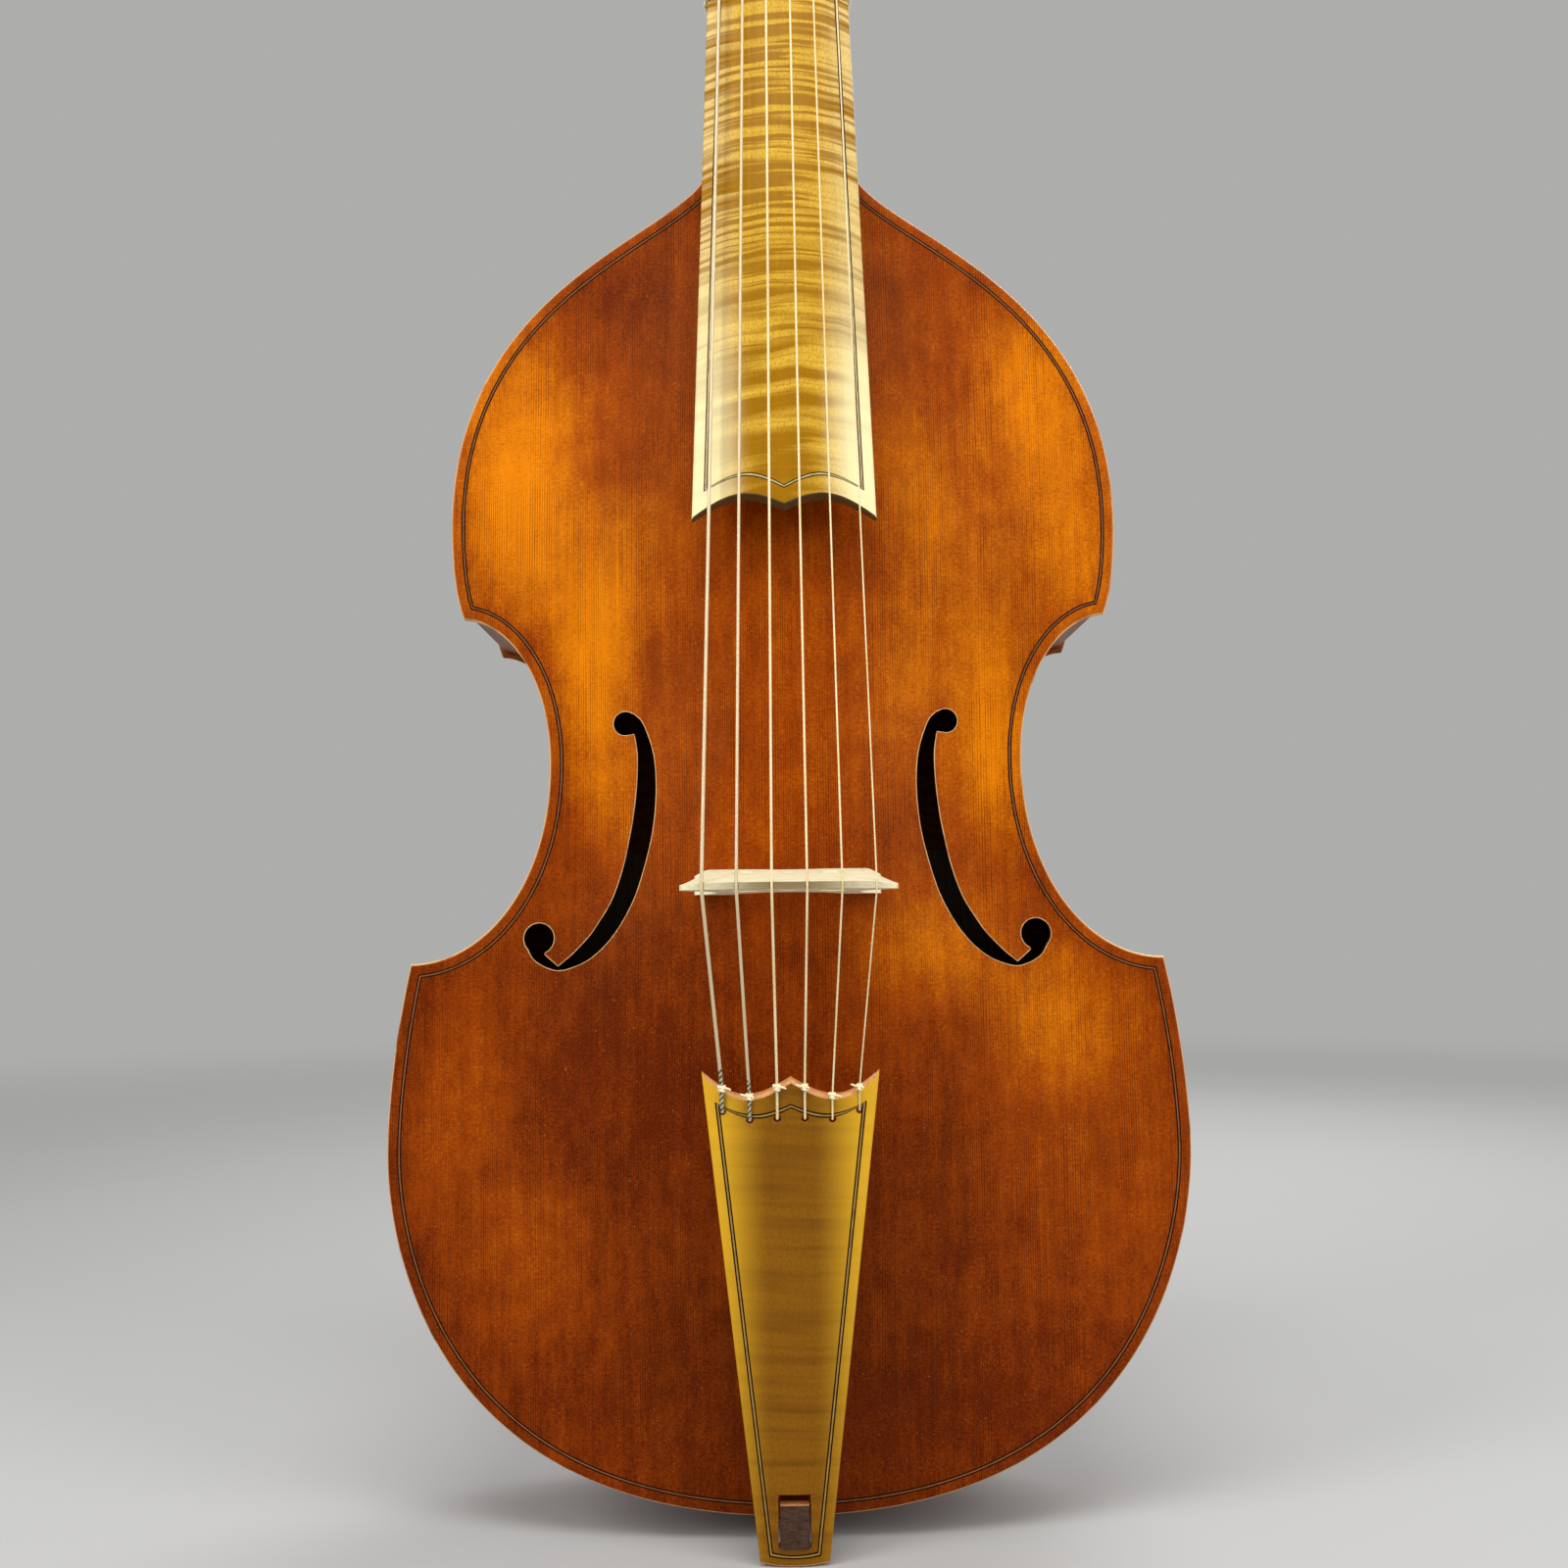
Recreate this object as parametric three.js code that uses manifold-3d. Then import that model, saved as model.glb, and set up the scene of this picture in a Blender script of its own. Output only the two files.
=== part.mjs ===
// Bass viola da gamba with six strings and seven tied frets.
// Millimetres. Z runs up the neck, X to the treble side, Y from the belly to the back.
// Heights are measured from the lowest point of the body outline, and the origin is
// on the face under the hook bar that the instrument is stood on when it is put away.

import * as THREE from 'three';
import { mergeVertices } from 'three/addons/utils/BufferGeometryUtils.js';
import Module from 'manifold-3d';

const wasm = await Module();
wasm.setup();

// Driving dimensions

const clearance = 0.3;
const weldTolerance = 0.0001;
const cutOverrun = 6;

const body = {
  length: 666,
  lowerWidth: 392,
  lowerHeight: 172.9,
  lowerCornerInset: 10.6,
  lowerCornerHeight: 263.9,
  waistWidth: 234.8,
  waistHeight: 361.4,
  upperCornerInset: 6.6,
  upperCornerHeight: 435,
  upperWidth: 334,
  upperHeight: 483.8,
  rootWidth: 76,
  depth: 117,
  foldHeight: 500,
  rootDepth: 80,
};

const belly = {
  thickness: 4.5,
  archHeight: 18,
  flatEdge: 10,
  lowRiseLength: 173,
  highRiseLength: 200,
  spineLow: 46,
  spineHigh: 636,
};

const back = { thickness: 4, overhang: 3 };
const rib = { thickness: 2 };

const soundHole = {
  inset: 64.5,
  width: 63.3,
  bottom: 260.5,
  height: 126.1,
  topEyeRadius: 6.1,
  bottomEyeRadius: 6.9,
};

const bassBar = { inset: 31, width: 6, height: 15, endHeight: 4, bottom: 150, top: 470 };
const soundpost = { inset: 34, behindBridge: 12, radius: 4.8 };
const soundpostPlate = { behindPost: 32, width: 70, thickness: 4 };
const backBrace = { width: 18, thickness: 9, lowerBottom: 140, foldDrop: 24 };
const endBlock = { halfWidth: 42, thickness: 24 };
const neckBlock = { height: 36 };
const cornerBlock = { reach: 30 };

const fingerboard = {
  overBody: 191.3,
  endWidth: 88.4,
  nutWidth: 60.4,
  endAction: 8.91,
  nutDrop: 26.7,
  crownRadius: 95,
  edgeThickness: 7.5,
  hollow: 4.5,
  hollowLength: 175.3,
  turnRise: 9.9,
  cuspRise: 4.3,
};

const neck = {
  ledge: 0.6,
  rootHandleDepth: 26,
  nutHandleDepth: 22,
  heelLength: 62,
  length: 324,
  beyondNut: 1,
};

const nut = { length: 6, rise: 2.7, spread: 51.4 };

const head = {
  tilt: 0.35,
  startWidth: 62,
  topWidth: 36,
  boxLength: 150,
  cheek: 6.5,
  frontRise: 4,
  startDepth: 28,
  topDepth: 26,
  floor: 8,
  cavityStart: 7,
  cavityEnd: 143,
  nutStep: 0.5,
};

const scroll = {
  centreDepth: 3,
  aboveBox: 40,
  outerRadius: 30,
  eyeRadius: 7,
  startWidth: 31,
  eyeWidth: 54,
};

const peg = {
  firstHeight: 27,
  spacing: 20,
  depth: 8,
  bigRadius: 4.7,
  smallRadius: 3.9,
  endStandOut: 2,
  collarRadius: 7.5,
  collarLength: 5,
  stemRadius: 4.2,
  stemLength: 7,
  headWidth: 25,
  headThickness: 9,
  headLength: 23,
};

const bridge = {
  tailFace: 296,
  baseThickness: 12,
  topThickness: 2.8,
  crownRise: 88,
  crownRadius: 85,
  topWidth: 98.6,
  footSpan: 89.4,
  footWidth: 17,
  stringSpread: 77.7,
  sideHoleHalfWidth: 6.2,
  sideHoleHalfHeight: 7.6,
  heartRadius: 4.6,
};

const tailpiece = {
  bottomHeight: -11.5,
  cornerHeight: 215.6,
  peakDrop: 2.9,
  valleyDrop: 10.8,
  topWidth: 81.4,
  bottomWidth: 32,
  topRise: 60,
  bottomRise: 28,
  crownRadius: 100,
  topThickness: 11,
  bottomThickness: 8,
  tailRound: 1.5,
  holeInset: 21.1,
  holeEdgeRise: 3,
  holeSpread: 62.4,
  holeRadius: 1.7,
  slotWidth: 15.1,
  slotBottom: -3.4,
  slotLength: 25.4,
};

const hookBar = {
  width: 13.7,
  drop: 9.5,
  backReach: 62,
  noseHeight: 16.5,
  noseStandOut: 1.6,
  seatGap: 0.4,
};

const stringDiameters = [1.7, 1.45, 1.2, 1.05, 0.85, 0.7];
const stringTail = 5;
const windingGap = 0.6;
const windingInsets = [16, 12.5, 9];

const fret = { diameter: 1.1 };

// Counts

const stringCount = stringDiameters.length;
const fretCount = 7;
const semitonesPerOctave = 12;
const outlineSteps = [9, 4, 8, 8, 3, 9];
const rootSteps = 2;
const bellyRings = 8;
const roundSides = 12;
const stringSides = 6;
const fretSides = 5;
const windingTurns = 2.75;
const windingSteps = 10;
const scrollTurns = 2.35;
const turnSteps = 14;
const stripColumns = 14;
const holeSplineSteps = 18;
const bisectSteps = 40;
const handleSteps = 4;
const woundStrings = 2;
const neckSectionSteps = 10;

// Shares

// Curve handles of the half outline, as shares of each stretch's width and height
const outlineHandleShares = [
  [0.933, 0, 1, 0.821],
  [0, 0.326, 0.481, 0.731],
  [0.534, 0, 1, 0.405],
  [0, 0.643, 0.551, 0.996],
  [0.8, 0.244, 1, 0.676],
  [0, 0.688, 0.904, 0.826],
];

// Sound hole, as shares of its width outwards and of its height upwards
const holeConvexShares = [
  [0.19, 0.995], [0.115, 0.975], [0.057, 0.93], [0.018, 0.85], [0, 0.765], [0, 0.67],
  [0.02, 0.583], [0.068, 0.428], [0.158, 0.28], [0.32, 0.131], [0.475, 0.056], [0.6, 0.017],
  [0.72, 0], [0.84, 0.01], [0.935, 0.04],
];
const holeConcaveShares = [
  [0.738, 0.02], [0.625, 0.062], [0.485, 0.131], [0.312, 0.28], [0.217, 0.428],
  [0.166, 0.583], [0.14, 0.738], [0.137, 0.82], [0.163, 0.918],
];
const holeTopEyeShares = [0.234, 0.952];
const holeBottomEyeShares = [0.889, 0.125];
const holeCuspShares = [0.836, 0.064];

// Right half of the bridge from foot to crown, as shares of its half width and of its height
const bridgeSideShares = [
  [0.905, 0.04], [0.82, 0.1], [0.72, 0.21], [0.68, 0.35], [0.71, 0.49], [0.8, 0.59],
  [0.93, 0.65], [1, 0.7],
];
const bridgeArchShares = [[0.5, 0.07], [0.42, 0.2], [0.28, 0.32], [0.12, 0.38], [0, 0.39]];
const bridgeSideHoleShares = [0.4, 0.6];
const bridgeHeartShares = [0, 0.66];
const bridgeCrownStartShare = 0.97;

const spineArcShare = 0.25;
const fingerboardTurnShare = 0.43;
const tailpieceTurnShare = 0.5;
const tailHoleRiseShares = [1, 0.15, 0.3, 0.3, 0.15, 1];
const heelSectionShares = [0, 0.08, 0.2, 0.36, 0.56, 0.78, 1];
const notchFloorShare = 0.6;

// Peg head profile: shares of the head's length, width and thickness
const pegHeadShares = [
  [0.08, 0.55, 0.85], [0.3, 0.95, 1], [0.55, 1, 0.95], [0.8, 0.8, 0.8], [0.95, 0.45, 0.55],
];

// Exponents of the neck's section and of its heel, and the angle where the scroll leaves the pegbox

const heelFall = 2.2;
const handleRoundness = 2.3;
const heelSquareness = 2.7;
const scrollStart = -Math.PI / 9;

// Materials

const paint = (color, roughness) => new THREE.MeshStandardMaterial({ color, roughness });
const finishes = {
  bellyVarnish: paint(0xb4571a, 0.35),
  ribVarnish: paint(0x7c3414, 0.3),
  bareSpruce: paint(0xdcc49a, 0.8),
  paleMaple: paint(0xd8bd72, 0.4),
  bridgeMaple: paint(0xe3d0a2, 0.55),
  darkWood: paint(0x3a2319, 0.4),
  gut: paint(0xe0d6b4, 0.45),
  woundGut: paint(0xb9b3a2, 0.35),
};

// General helpers

const clamp01 = (t) => Math.min(1, Math.max(0, t));
const ease = (t) => clamp01(t) ** 2 * (3 - 2 * clamp01(t));
const mix = THREE.MathUtils.lerp;
const point = (x, y, z) => new THREE.Vector3(x, y, z);
const range = (count) => [...Array(count).keys()];
const sidesOf = { bass: -1, treble: 1 };

function signedVolume(geometry) {
  const at = geometry.getAttribute('position');
  const index = geometry.getIndex();
  const corners = [point(0, 0, 0), point(0, 0, 0), point(0, 0, 0)];
  let volume = 0;
  for (let i = 0; i < index.count; i += 3) {
    corners.forEach((corner, k) => corner.fromBufferAttribute(at, index.getX(i + k)));
    volume += corners[0].dot(corners[1].clone().cross(corners[2]));
  }
  return volume;
}

// Welds the corners, drops faces that the weld flattened, and turns the faces outward
function closedSolid(geometry) {
  const bare = geometry.clone();
  bare.deleteAttribute('normal');
  bare.deleteAttribute('uv');
  const welded = mergeVertices(bare, weldTolerance);
  const index = welded.getIndex().array;
  const kept = [];
  for (let i = 0; i < index.length; i += 3) {
    const [a, b, c] = [index[i], index[i + 1], index[i + 2]];
    if (a !== b && b !== c && c !== a) kept.push(a, b, c);
  }
  welded.setIndex(kept);
  if (signedVolume(welded) < 0) {
    for (let i = 0; i < kept.length; i += 3) [kept[i], kept[i + 1]] = [kept[i + 1], kept[i]];
    welded.setIndex(kept);
  }
  return welded;
}

function solidFromFaces(points, faces) {
  const geometry = new THREE.BufferGeometry();
  geometry.setFromPoints(points);
  geometry.setIndex(faces.flat());
  return closedSolid(geometry);
}

const quad = (a, b, c, d) => [a, b, c, a, c, d];

// Solid between two matching grids of points; a looped grid closes on itself along its rows
function solidBetween(front, rear, looped = false) {
  const rows = front.length;
  const columns = front[0].length;
  const points = [...front.flat(), ...rear.flat()];
  const at = (i, j) => (i % rows) * columns + j;
  const behind = (i, j) => rows * columns + at(i, j);
  const lastRow = looped ? rows : rows - 1;
  const faces = [];
  for (let i = 0; i < lastRow; i += 1) {
    for (let j = 0; j < columns - 1; j += 1) {
      faces.push(quad(at(i, j), at(i, j + 1), at(i + 1, j + 1), at(i + 1, j)));
      faces.push(quad(behind(i, j), behind(i + 1, j), behind(i + 1, j + 1), behind(i, j + 1)));
    }
    faces.push(quad(at(i, 0), at(i + 1, 0), behind(i + 1, 0), behind(i, 0)));
    if (!looped) {
      const j = columns - 1;
      faces.push(quad(at(i, j), behind(i, j), behind(i + 1, j), at(i + 1, j)));
    }
  }
  if (!looped) {
    for (let j = 0; j < columns - 1; j += 1) {
      const i = rows - 1;
      faces.push(quad(at(0, j), behind(0, j), behind(0, j + 1), at(0, j + 1)));
      faces.push(quad(at(i, j), at(i, j + 1), behind(i, j + 1), behind(i, j)));
    }
  }
  return solidFromFaces(points, faces);
}

// Solid through a row of rings with the same number of points, capped or closed on itself
function solidThroughRings(rings, closed = false) {
  const sides = rings[0].length;
  const points = rings.flat();
  const faces = [];
  const last = closed ? rings.length : rings.length - 1;
  for (let i = 0; i < last; i += 1) {
    const next = (i + 1) % rings.length;
    for (let k = 0; k < sides; k += 1) {
      const after = (k + 1) % sides;
      faces.push(quad(i * sides + k, i * sides + after, next * sides + after, next * sides + k));
    }
  }
  if (!closed) {
    for (const [ring, flip] of [[0, true], [rings.length - 1, false]]) {
      const centre = rings[ring].reduce((sum, p) => sum.add(p), point(0, 0, 0)).divideScalar(sides);
      points.push(centre);
      for (let k = 0; k < sides; k += 1) {
        const pair = [ring * sides + k, ring * sides + ((k + 1) % sides)];
        faces.push([...(flip ? pair.reverse() : pair), points.length - 1]);
      }
    }
  }
  return solidFromFaces(points, faces);
}

// Solid over a contour seen from the front, between two depths that may follow a surface
function panel(contour, frontAt, rearAt) {
  const flat = contour.map((c) => new THREE.Vector2(c.x, c.z));
  const caps = THREE.ShapeUtils.triangulateShape(flat, []);
  const points = [
    ...contour.map((c) => point(c.x, frontAt(c.x, c.z), c.z)),
    ...contour.map((c) => point(c.x, rearAt(c.x, c.z), c.z)),
  ];
  const count = contour.length;
  const faces = [];
  for (const [a, b, c] of caps) faces.push([a, b, c], [count + a, count + c, count + b]);
  const turn = THREE.ShapeUtils.isClockWise(flat) ? -1 : 1;
  for (let k = 0; k < count; k += 1) {
    const next = (k + 1) % count;
    const wall = quad(next, k, count + k, count + next);
    faces.push(turn > 0 ? wall : wall.reverse());
  }
  return solidFromFaces(points, faces);
}

// Extrudes a shape by one unit and sends every corner through a placing function
function extrudedThrough(shape, place) {
  const geometry = new THREE.ExtrudeGeometry(shape, { depth: 1, steps: 1, bevelEnabled: false });
  const at = geometry.getAttribute('position');
  for (let i = 0; i < at.count; i += 1) {
    const placed = place(at.getX(i), at.getY(i), at.getZ(i));
    at.setXYZ(i, placed.x, placed.y, placed.z);
  }
  return closedSolid(geometry);
}

// Tube of round section along a run of points, with the section carried on without twist
function tubeAlong(path, radius, sides, closed = false) {
  const count = path.length;
  const directions = path.map((p, i) => {
    const before = closed ? path[(i + count - 1) % count] : path[Math.max(0, i - 1)];
    const after = closed ? path[(i + 1) % count] : path[Math.min(count - 1, i + 1)];
    const arrive = p.clone().sub(before).normalize();
    const leave = after.clone().sub(p).normalize();
    return arrive.add(leave).normalize();
  });
  const seed = Math.abs(directions[0].x) < Math.SQRT1_2 ? point(1, 0, 0) : point(0, 1, 0);
  let normal = seed.clone().addScaledVector(directions[0], -seed.dot(directions[0])).normalize();
  const rings = directions.map((direction, i) => {
    if (i > 0) {
      const turn = new THREE.Quaternion().setFromUnitVectors(directions[i - 1], direction);
      normal = normal.clone().applyQuaternion(turn);
    }
    const binormal = direction.clone().cross(normal);
    return range(sides).map((k) => {
      const angle = (2 * Math.PI * k) / sides;
      return path[i].clone()
        .addScaledVector(normal, radius * Math.cos(angle))
        .addScaledVector(binormal, radius * Math.sin(angle));
    });
  });
  return solidThroughRings(rings, closed);
}

// Round bar between two points, with a radius at each end
function taperedBar(from, to, fromRadius, toRadius, sides) {
  const axis = to.clone().sub(from);
  const bar = new THREE.CylinderGeometry(toRadius, fromRadius, axis.length(), sides);
  const turn = new THREE.Quaternion().setFromUnitVectors(point(0, 1, 0), axis.clone().normalize());
  bar.applyQuaternion(turn);
  const middle = from.clone().add(to).divideScalar(2);
  bar.translate(middle.x, middle.y, middle.z);
  return closedSolid(bar);
}

function toManifold(geometry) {
  return new wasm.Manifold(new wasm.Mesh({
    numProp: 3,
    vertProperties: new Float32Array(geometry.getAttribute('position').array),
    triVerts: new Uint32Array(geometry.getIndex().array),
  }));
}

function fromManifold(solid) {
  const mesh = solid.getMesh();
  const geometry = new THREE.BufferGeometry();
  geometry.setAttribute('position', new THREE.BufferAttribute(new Float32Array(mesh.vertProperties), 3));
  geometry.setIndex(new THREE.BufferAttribute(new Uint32Array(mesh.triVerts), 1));
  return geometry;
}

function cutFrom(geometry, cutters) {
  let solid = toManifold(geometry);
  for (const cutter of cutters) solid = solid.subtract(toManifold(cutter));
  return fromManifold(solid);
}

function joined(geometries) {
  return fromManifold(geometries.map(toManifold).reduce((sum, part) => sum.add(part)));
}

const root = new THREE.Group();
const instrument = new THREE.Group();
instrument.position.z = hookBar.drop;
root.add(instrument);

function addPiece(name, geometry, finish, parent = instrument) {
  const mesh = new THREE.Mesh(geometry, finishes[finish]);
  mesh.name = name;
  parent.add(mesh);
  return mesh;
}

// Body outline

const outlineNodes = [
  [0, 0],
  [body.lowerWidth / 2, body.lowerHeight],
  [body.lowerWidth / 2 - body.lowerCornerInset, body.lowerCornerHeight],
  [body.waistWidth / 2, body.waistHeight],
  [body.upperWidth / 2 - body.upperCornerInset, body.upperCornerHeight],
  [body.upperWidth / 2, body.upperHeight],
  [body.rootWidth / 2, body.length],
];

const outlineCurves = outlineHandleShares.map(([ax, az, bx, bz], i) => {
  const [x0, z0] = outlineNodes[i];
  const [x1, z1] = outlineNodes[i + 1];
  return new THREE.CubicBezierCurve(
    new THREE.Vector2(x0, z0),
    new THREE.Vector2(mix(x0, x1, ax), mix(z0, z1, az)),
    new THREE.Vector2(mix(x0, x1, bx), mix(z0, z1, bz)),
    new THREE.Vector2(x1, z1),
  );
});

function stationOn(curve, t) {
  const place = curve.getPoint(t);
  const along = curve.getTangent(t);
  return { x: place.x, z: place.y, tx: along.x, tz: along.y, nx: -along.y, nz: along.x };
}

function shareAtHeight(curve, height) {
  let [low, high] = [0, 1];
  for (let i = 0; i < bisectSteps; i += 1) {
    const middle = (low + high) / 2;
    if (curve.getPoint(middle).y < height) low = middle;
    else high = middle;
  }
  return (low + high) / 2;
}

// Places along one curve of the outline, with a stop where the back folds
function stationsAlong(curve, steps, from = 0) {
  const shares = range(steps + 1).map((k) => mix(from, 1, k / steps));
  const [start, end] = [curve.getPoint(from).y, curve.getPoint(1).y];
  const folds = body.foldHeight > start && body.foldHeight < end;
  if (!folds) return shares.map((t) => stationOn(curve, t));
  const fold = shareAtHeight(curve, body.foldHeight);
  const nearest = shares.reduce((best, t) => (Math.abs(t - fold) < Math.abs(best - fold) ? t : best));
  const inner = nearest > from && nearest < 1;
  const moved = shares.map((t) => (t === nearest ? fold : t));
  const withFold = inner ? moved : [...shares, fold].sort((a, b) => a - b);
  return withFold.map((t) => stationOn(curve, t));
}

const curveStations = outlineCurves.map((curve, i) => stationsAlong(curve, outlineSteps[i]));
const sideStations = curveStations.flatMap((stations, i) => (i === 0 ? stations : stations.slice(1)));

const fineOutline = outlineCurves.flatMap((curve) => curve.getPoints(roundSides * 2));

function halfWidthAt(z) {
  for (let i = 1; i < fineOutline.length; i += 1) {
    const [a, b] = [fineOutline[i - 1], fineOutline[i]];
    if (z >= a.y && z <= b.y && b.y > a.y) return mix(a.x, b.x, (z - a.y) / (b.y - a.y));
  }
  return z <= 0 ? 0 : body.rootWidth / 2;
}

// Belly arch: a cosine hump across, eased up from both ends

function archHalfWidth(z) {
  const lower = body.lowerWidth / 2 - belly.flatEdge;
  const waist = body.waistWidth / 2 - belly.flatEdge;
  const upper = body.upperWidth / 2 - belly.flatEdge;
  const below = ease((z - body.lowerHeight) / (body.waistHeight - body.lowerHeight));
  const above = ease((z - body.waistHeight) / (body.upperHeight - body.waistHeight));
  const blended = z < body.waistHeight ? mix(lower, waist, below) : mix(waist, upper, above);
  return Math.min(blended, halfWidthAt(z) - belly.flatEdge);
}

function archAt(x, z) {
  const across = archHalfWidth(z);
  if (Math.abs(x) >= across) return 0;
  const low = ease((z - belly.flatEdge) / belly.lowRiseLength);
  const high = ease((body.length - belly.flatEdge - z) / belly.highRiseLength);
  return belly.archHeight * low * high * (1 + Math.cos((Math.PI * x) / across)) / 2;
}

const bellyFront = (x, z) => -archAt(x, z);
const bellyRear = (x, z) => belly.thickness - archAt(x, z);
const ribFront = () => belly.thickness + clearance;

// Flat back, folded forward towards the neck

const backFold = (body.depth - body.rootDepth) / (body.length - body.foldHeight);
const backRear = (x, z) => body.depth - Math.max(0, z - body.foldHeight) * backFold;
const backFront = (x, z) => backRear(x, z) - back.thickness;
const ribRear = (x, z) => backFront(x, z) - clearance;

// Points offset into the body from a run of stations
const inward = (station, distance) => ({
  x: station.x + station.nx * distance,
  z: station.z + station.nz * distance,
});

function cornerPoint(before, after, distance) {
  const scale = distance / (1 + before.nx * after.nx + before.nz * after.nz);
  return { x: before.x + (before.nx + after.nx) * scale, z: before.z + (before.nz + after.nz) * scale };
}

// Last places of a rib that meets its neighbour in a mitre, drawn back by half the clearance
function mitre(own, other, distance, towards) {
  const place = cornerPoint(own, other, distance);
  const across = { x: own.nx + other.nx, z: own.nz + other.nz };
  const length = Math.hypot(across.x, across.z);
  const face = Math.abs(own.tx * across.z - own.tz * across.x) / length;
  const draw = (towards * clearance) / 2 / face;
  return { x: place.x + own.tx * draw, z: place.z + own.tz * draw };
}

// Rib end cut level with the top of the body
function levelEnd(station, distance) {
  const place = inward(station, distance);
  const run = (body.length - place.z) / station.tz;
  return { x: place.x + station.tx * run, z: body.length };
}

const mirrored = (side) => (p) => ({ ...p, x: p.x * side });

function ribSolid(outer, inner) {
  const corners = outer.map((o, i) => [
    point(o.x, ribFront(), o.z),
    point(inner[i].x, ribFront(), inner[i].z),
    point(inner[i].x, ribRear(inner[i].x, inner[i].z), inner[i].z),
    point(o.x, ribRear(o.x, o.z), o.z),
  ]);
  return solidThroughRings(corners);
}

const curveEnd = (i) => curveStations[i][curveStations[i].length - 1];
const curveStart = (i) => curveStations[i][0];

function ribPath(name, distance) {
  if (name === 'lower') {
    const run = [...curveStations[0], ...curveStations[1].slice(1, -1)].map((s) => inward(s, distance));
    run[0].x = clearance / 2;
    return [...run, mitre(curveEnd(1), curveStart(2), distance, -1)];
  }
  if (name === 'middle') {
    const stations = [...curveStations[2].slice(1), ...curveStations[3].slice(1, -1)];
    const run = stations.map((s) => inward(s, distance));
    const first = mitre(curveStart(2), curveEnd(1), distance, 1);
    return [first, ...run, mitre(curveEnd(3), curveStart(4), distance, -1)];
  }
  const stations = [...curveStations[4].slice(1), ...curveStations[5].slice(1, -1)];
  const run = stations.map((s) => inward(s, distance));
  return [mitre(curveStart(4), curveEnd(3), distance, 1), ...run, levelEnd(curveEnd(5), distance)];
}

function makeRibs() {
  for (const [sideName, side] of Object.entries(sidesOf)) {
    for (const name of ['lower', 'middle', 'upper']) {
      const outer = ribPath(name, back.overhang).map(mirrored(side));
      const inner = ribPath(name, back.overhang + rib.thickness).map(mirrored(side));
      addPiece(`rib_${name}_${sideName}`, ribSolid(outer, inner), 'ribVarnish');
    }
  }
}

// Belly

function bellyGrid(depthAt) {
  const rootStations = range(rootSteps).map((k) => ({
    x: (body.rootWidth / 2) * (1 - (k + 1) / rootSteps),
    z: body.length,
  }));
  const half = [...sideStations, ...rootStations];
  const arcs = half.map(() => 0);
  for (let i = 1; i < half.length; i += 1) {
    arcs[i] = arcs[i - 1] + Math.hypot(half[i].x - half[i - 1].x, half[i].z - half[i - 1].z);
  }
  const row = (station, i, side) => {
    const along = mix(station.z / body.length, arcs[i] / arcs[half.length - 1], spineArcShare);
    const spine = mix(belly.spineLow, belly.spineHigh, along);
    const reach = Math.hypot(station.x, station.z - spine);
    const margin = belly.flatEdge / reach;
    return range(bellyRings + 1).map((j) => {
      const share = j === 0 ? 0 : mix(margin, 1, (j - 1) / (bellyRings - 1));
      const [x, z] = [station.x * side * (1 - share), mix(station.z, spine, share)];
      return point(x, depthAt(x, z), z);
    });
  };
  const right = half.map((station, i) => row(station, i, 1));
  const left = half.map((station, i) => row(station, i, -1)).slice(1, -1).reverse();
  return [...right, ...left];
}

const holePlace = ([across, up], side) => new THREE.Vector2(
  side * (soundHole.inset + across * soundHole.width),
  soundHole.bottom + up * soundHole.height,
);

function holeCutters(side) {
  const convex = new THREE.SplineCurve(holeConvexShares.map((share) => holePlace(share, side)));
  const concave = new THREE.SplineCurve(holeConcaveShares.map((share) => holePlace(share, side)));
  const topEye = holePlace(holeTopEyeShares, side);
  const bottomEye = holePlace(holeBottomEyeShares, side);
  const stem = [
    ...convex.getPoints(holeSplineSteps),
    bottomEye,
    holePlace(holeCuspShares, side),
    ...concave.getPoints(holeSplineSteps),
    topEye,
  ];
  const front = -belly.archHeight - cutOverrun;
  const rear = belly.thickness + cutOverrun;
  const contour = stem.map((p) => ({ x: p.x, z: p.y }));
  const eye = (centre, radius) => taperedBar(
    point(centre.x, front, centre.y), point(centre.x, rear, centre.y), radius, radius, roundSides,
  );
  return [
    panel(contour, () => front, () => rear),
    eye(topEye, soundHole.topEyeRadius),
    eye(bottomEye, soundHole.bottomEyeRadius),
  ];
}

function makeBelly() {
  const plate = solidBetween(bellyGrid(bellyFront), bellyGrid(bellyRear), true);
  addPiece('belly', cutFrom(plate, [...holeCutters(1), ...holeCutters(-1)]), 'bellyVarnish');
}

// Back plate in rows from edge to edge
function makeBack() {
  const rowAt = (depthAt) => (s) => [-s.x, s.x].map((x) => point(x, depthAt(x, s.z), s.z));
  const plate = solidBetween(sideStations.map(rowAt(backFront)), sideStations.map(rowAt(backRear)));
  addPiece('back_plate', plate, 'ribVarnish');
}

// Blocks inside the ribs

const blockInset = back.overhang + rib.thickness + clearance;

// Leading part of a run of places where a measure stays positive, ended exactly where it is zero
function runWhile(places, measure) {
  const cut = places.findIndex((p) => measure(p) < 0);
  if (cut < 1) return places;
  const [a, b] = [places[cut - 1], places[cut]];
  const share = measure(a) / (measure(a) - measure(b));
  return [...places.slice(0, cut), { x: mix(a.x, b.x, share), z: mix(a.z, b.z, share) }];
}

const insideRun = (stations) => stations.map((s) => inward(s, blockInset));

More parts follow.
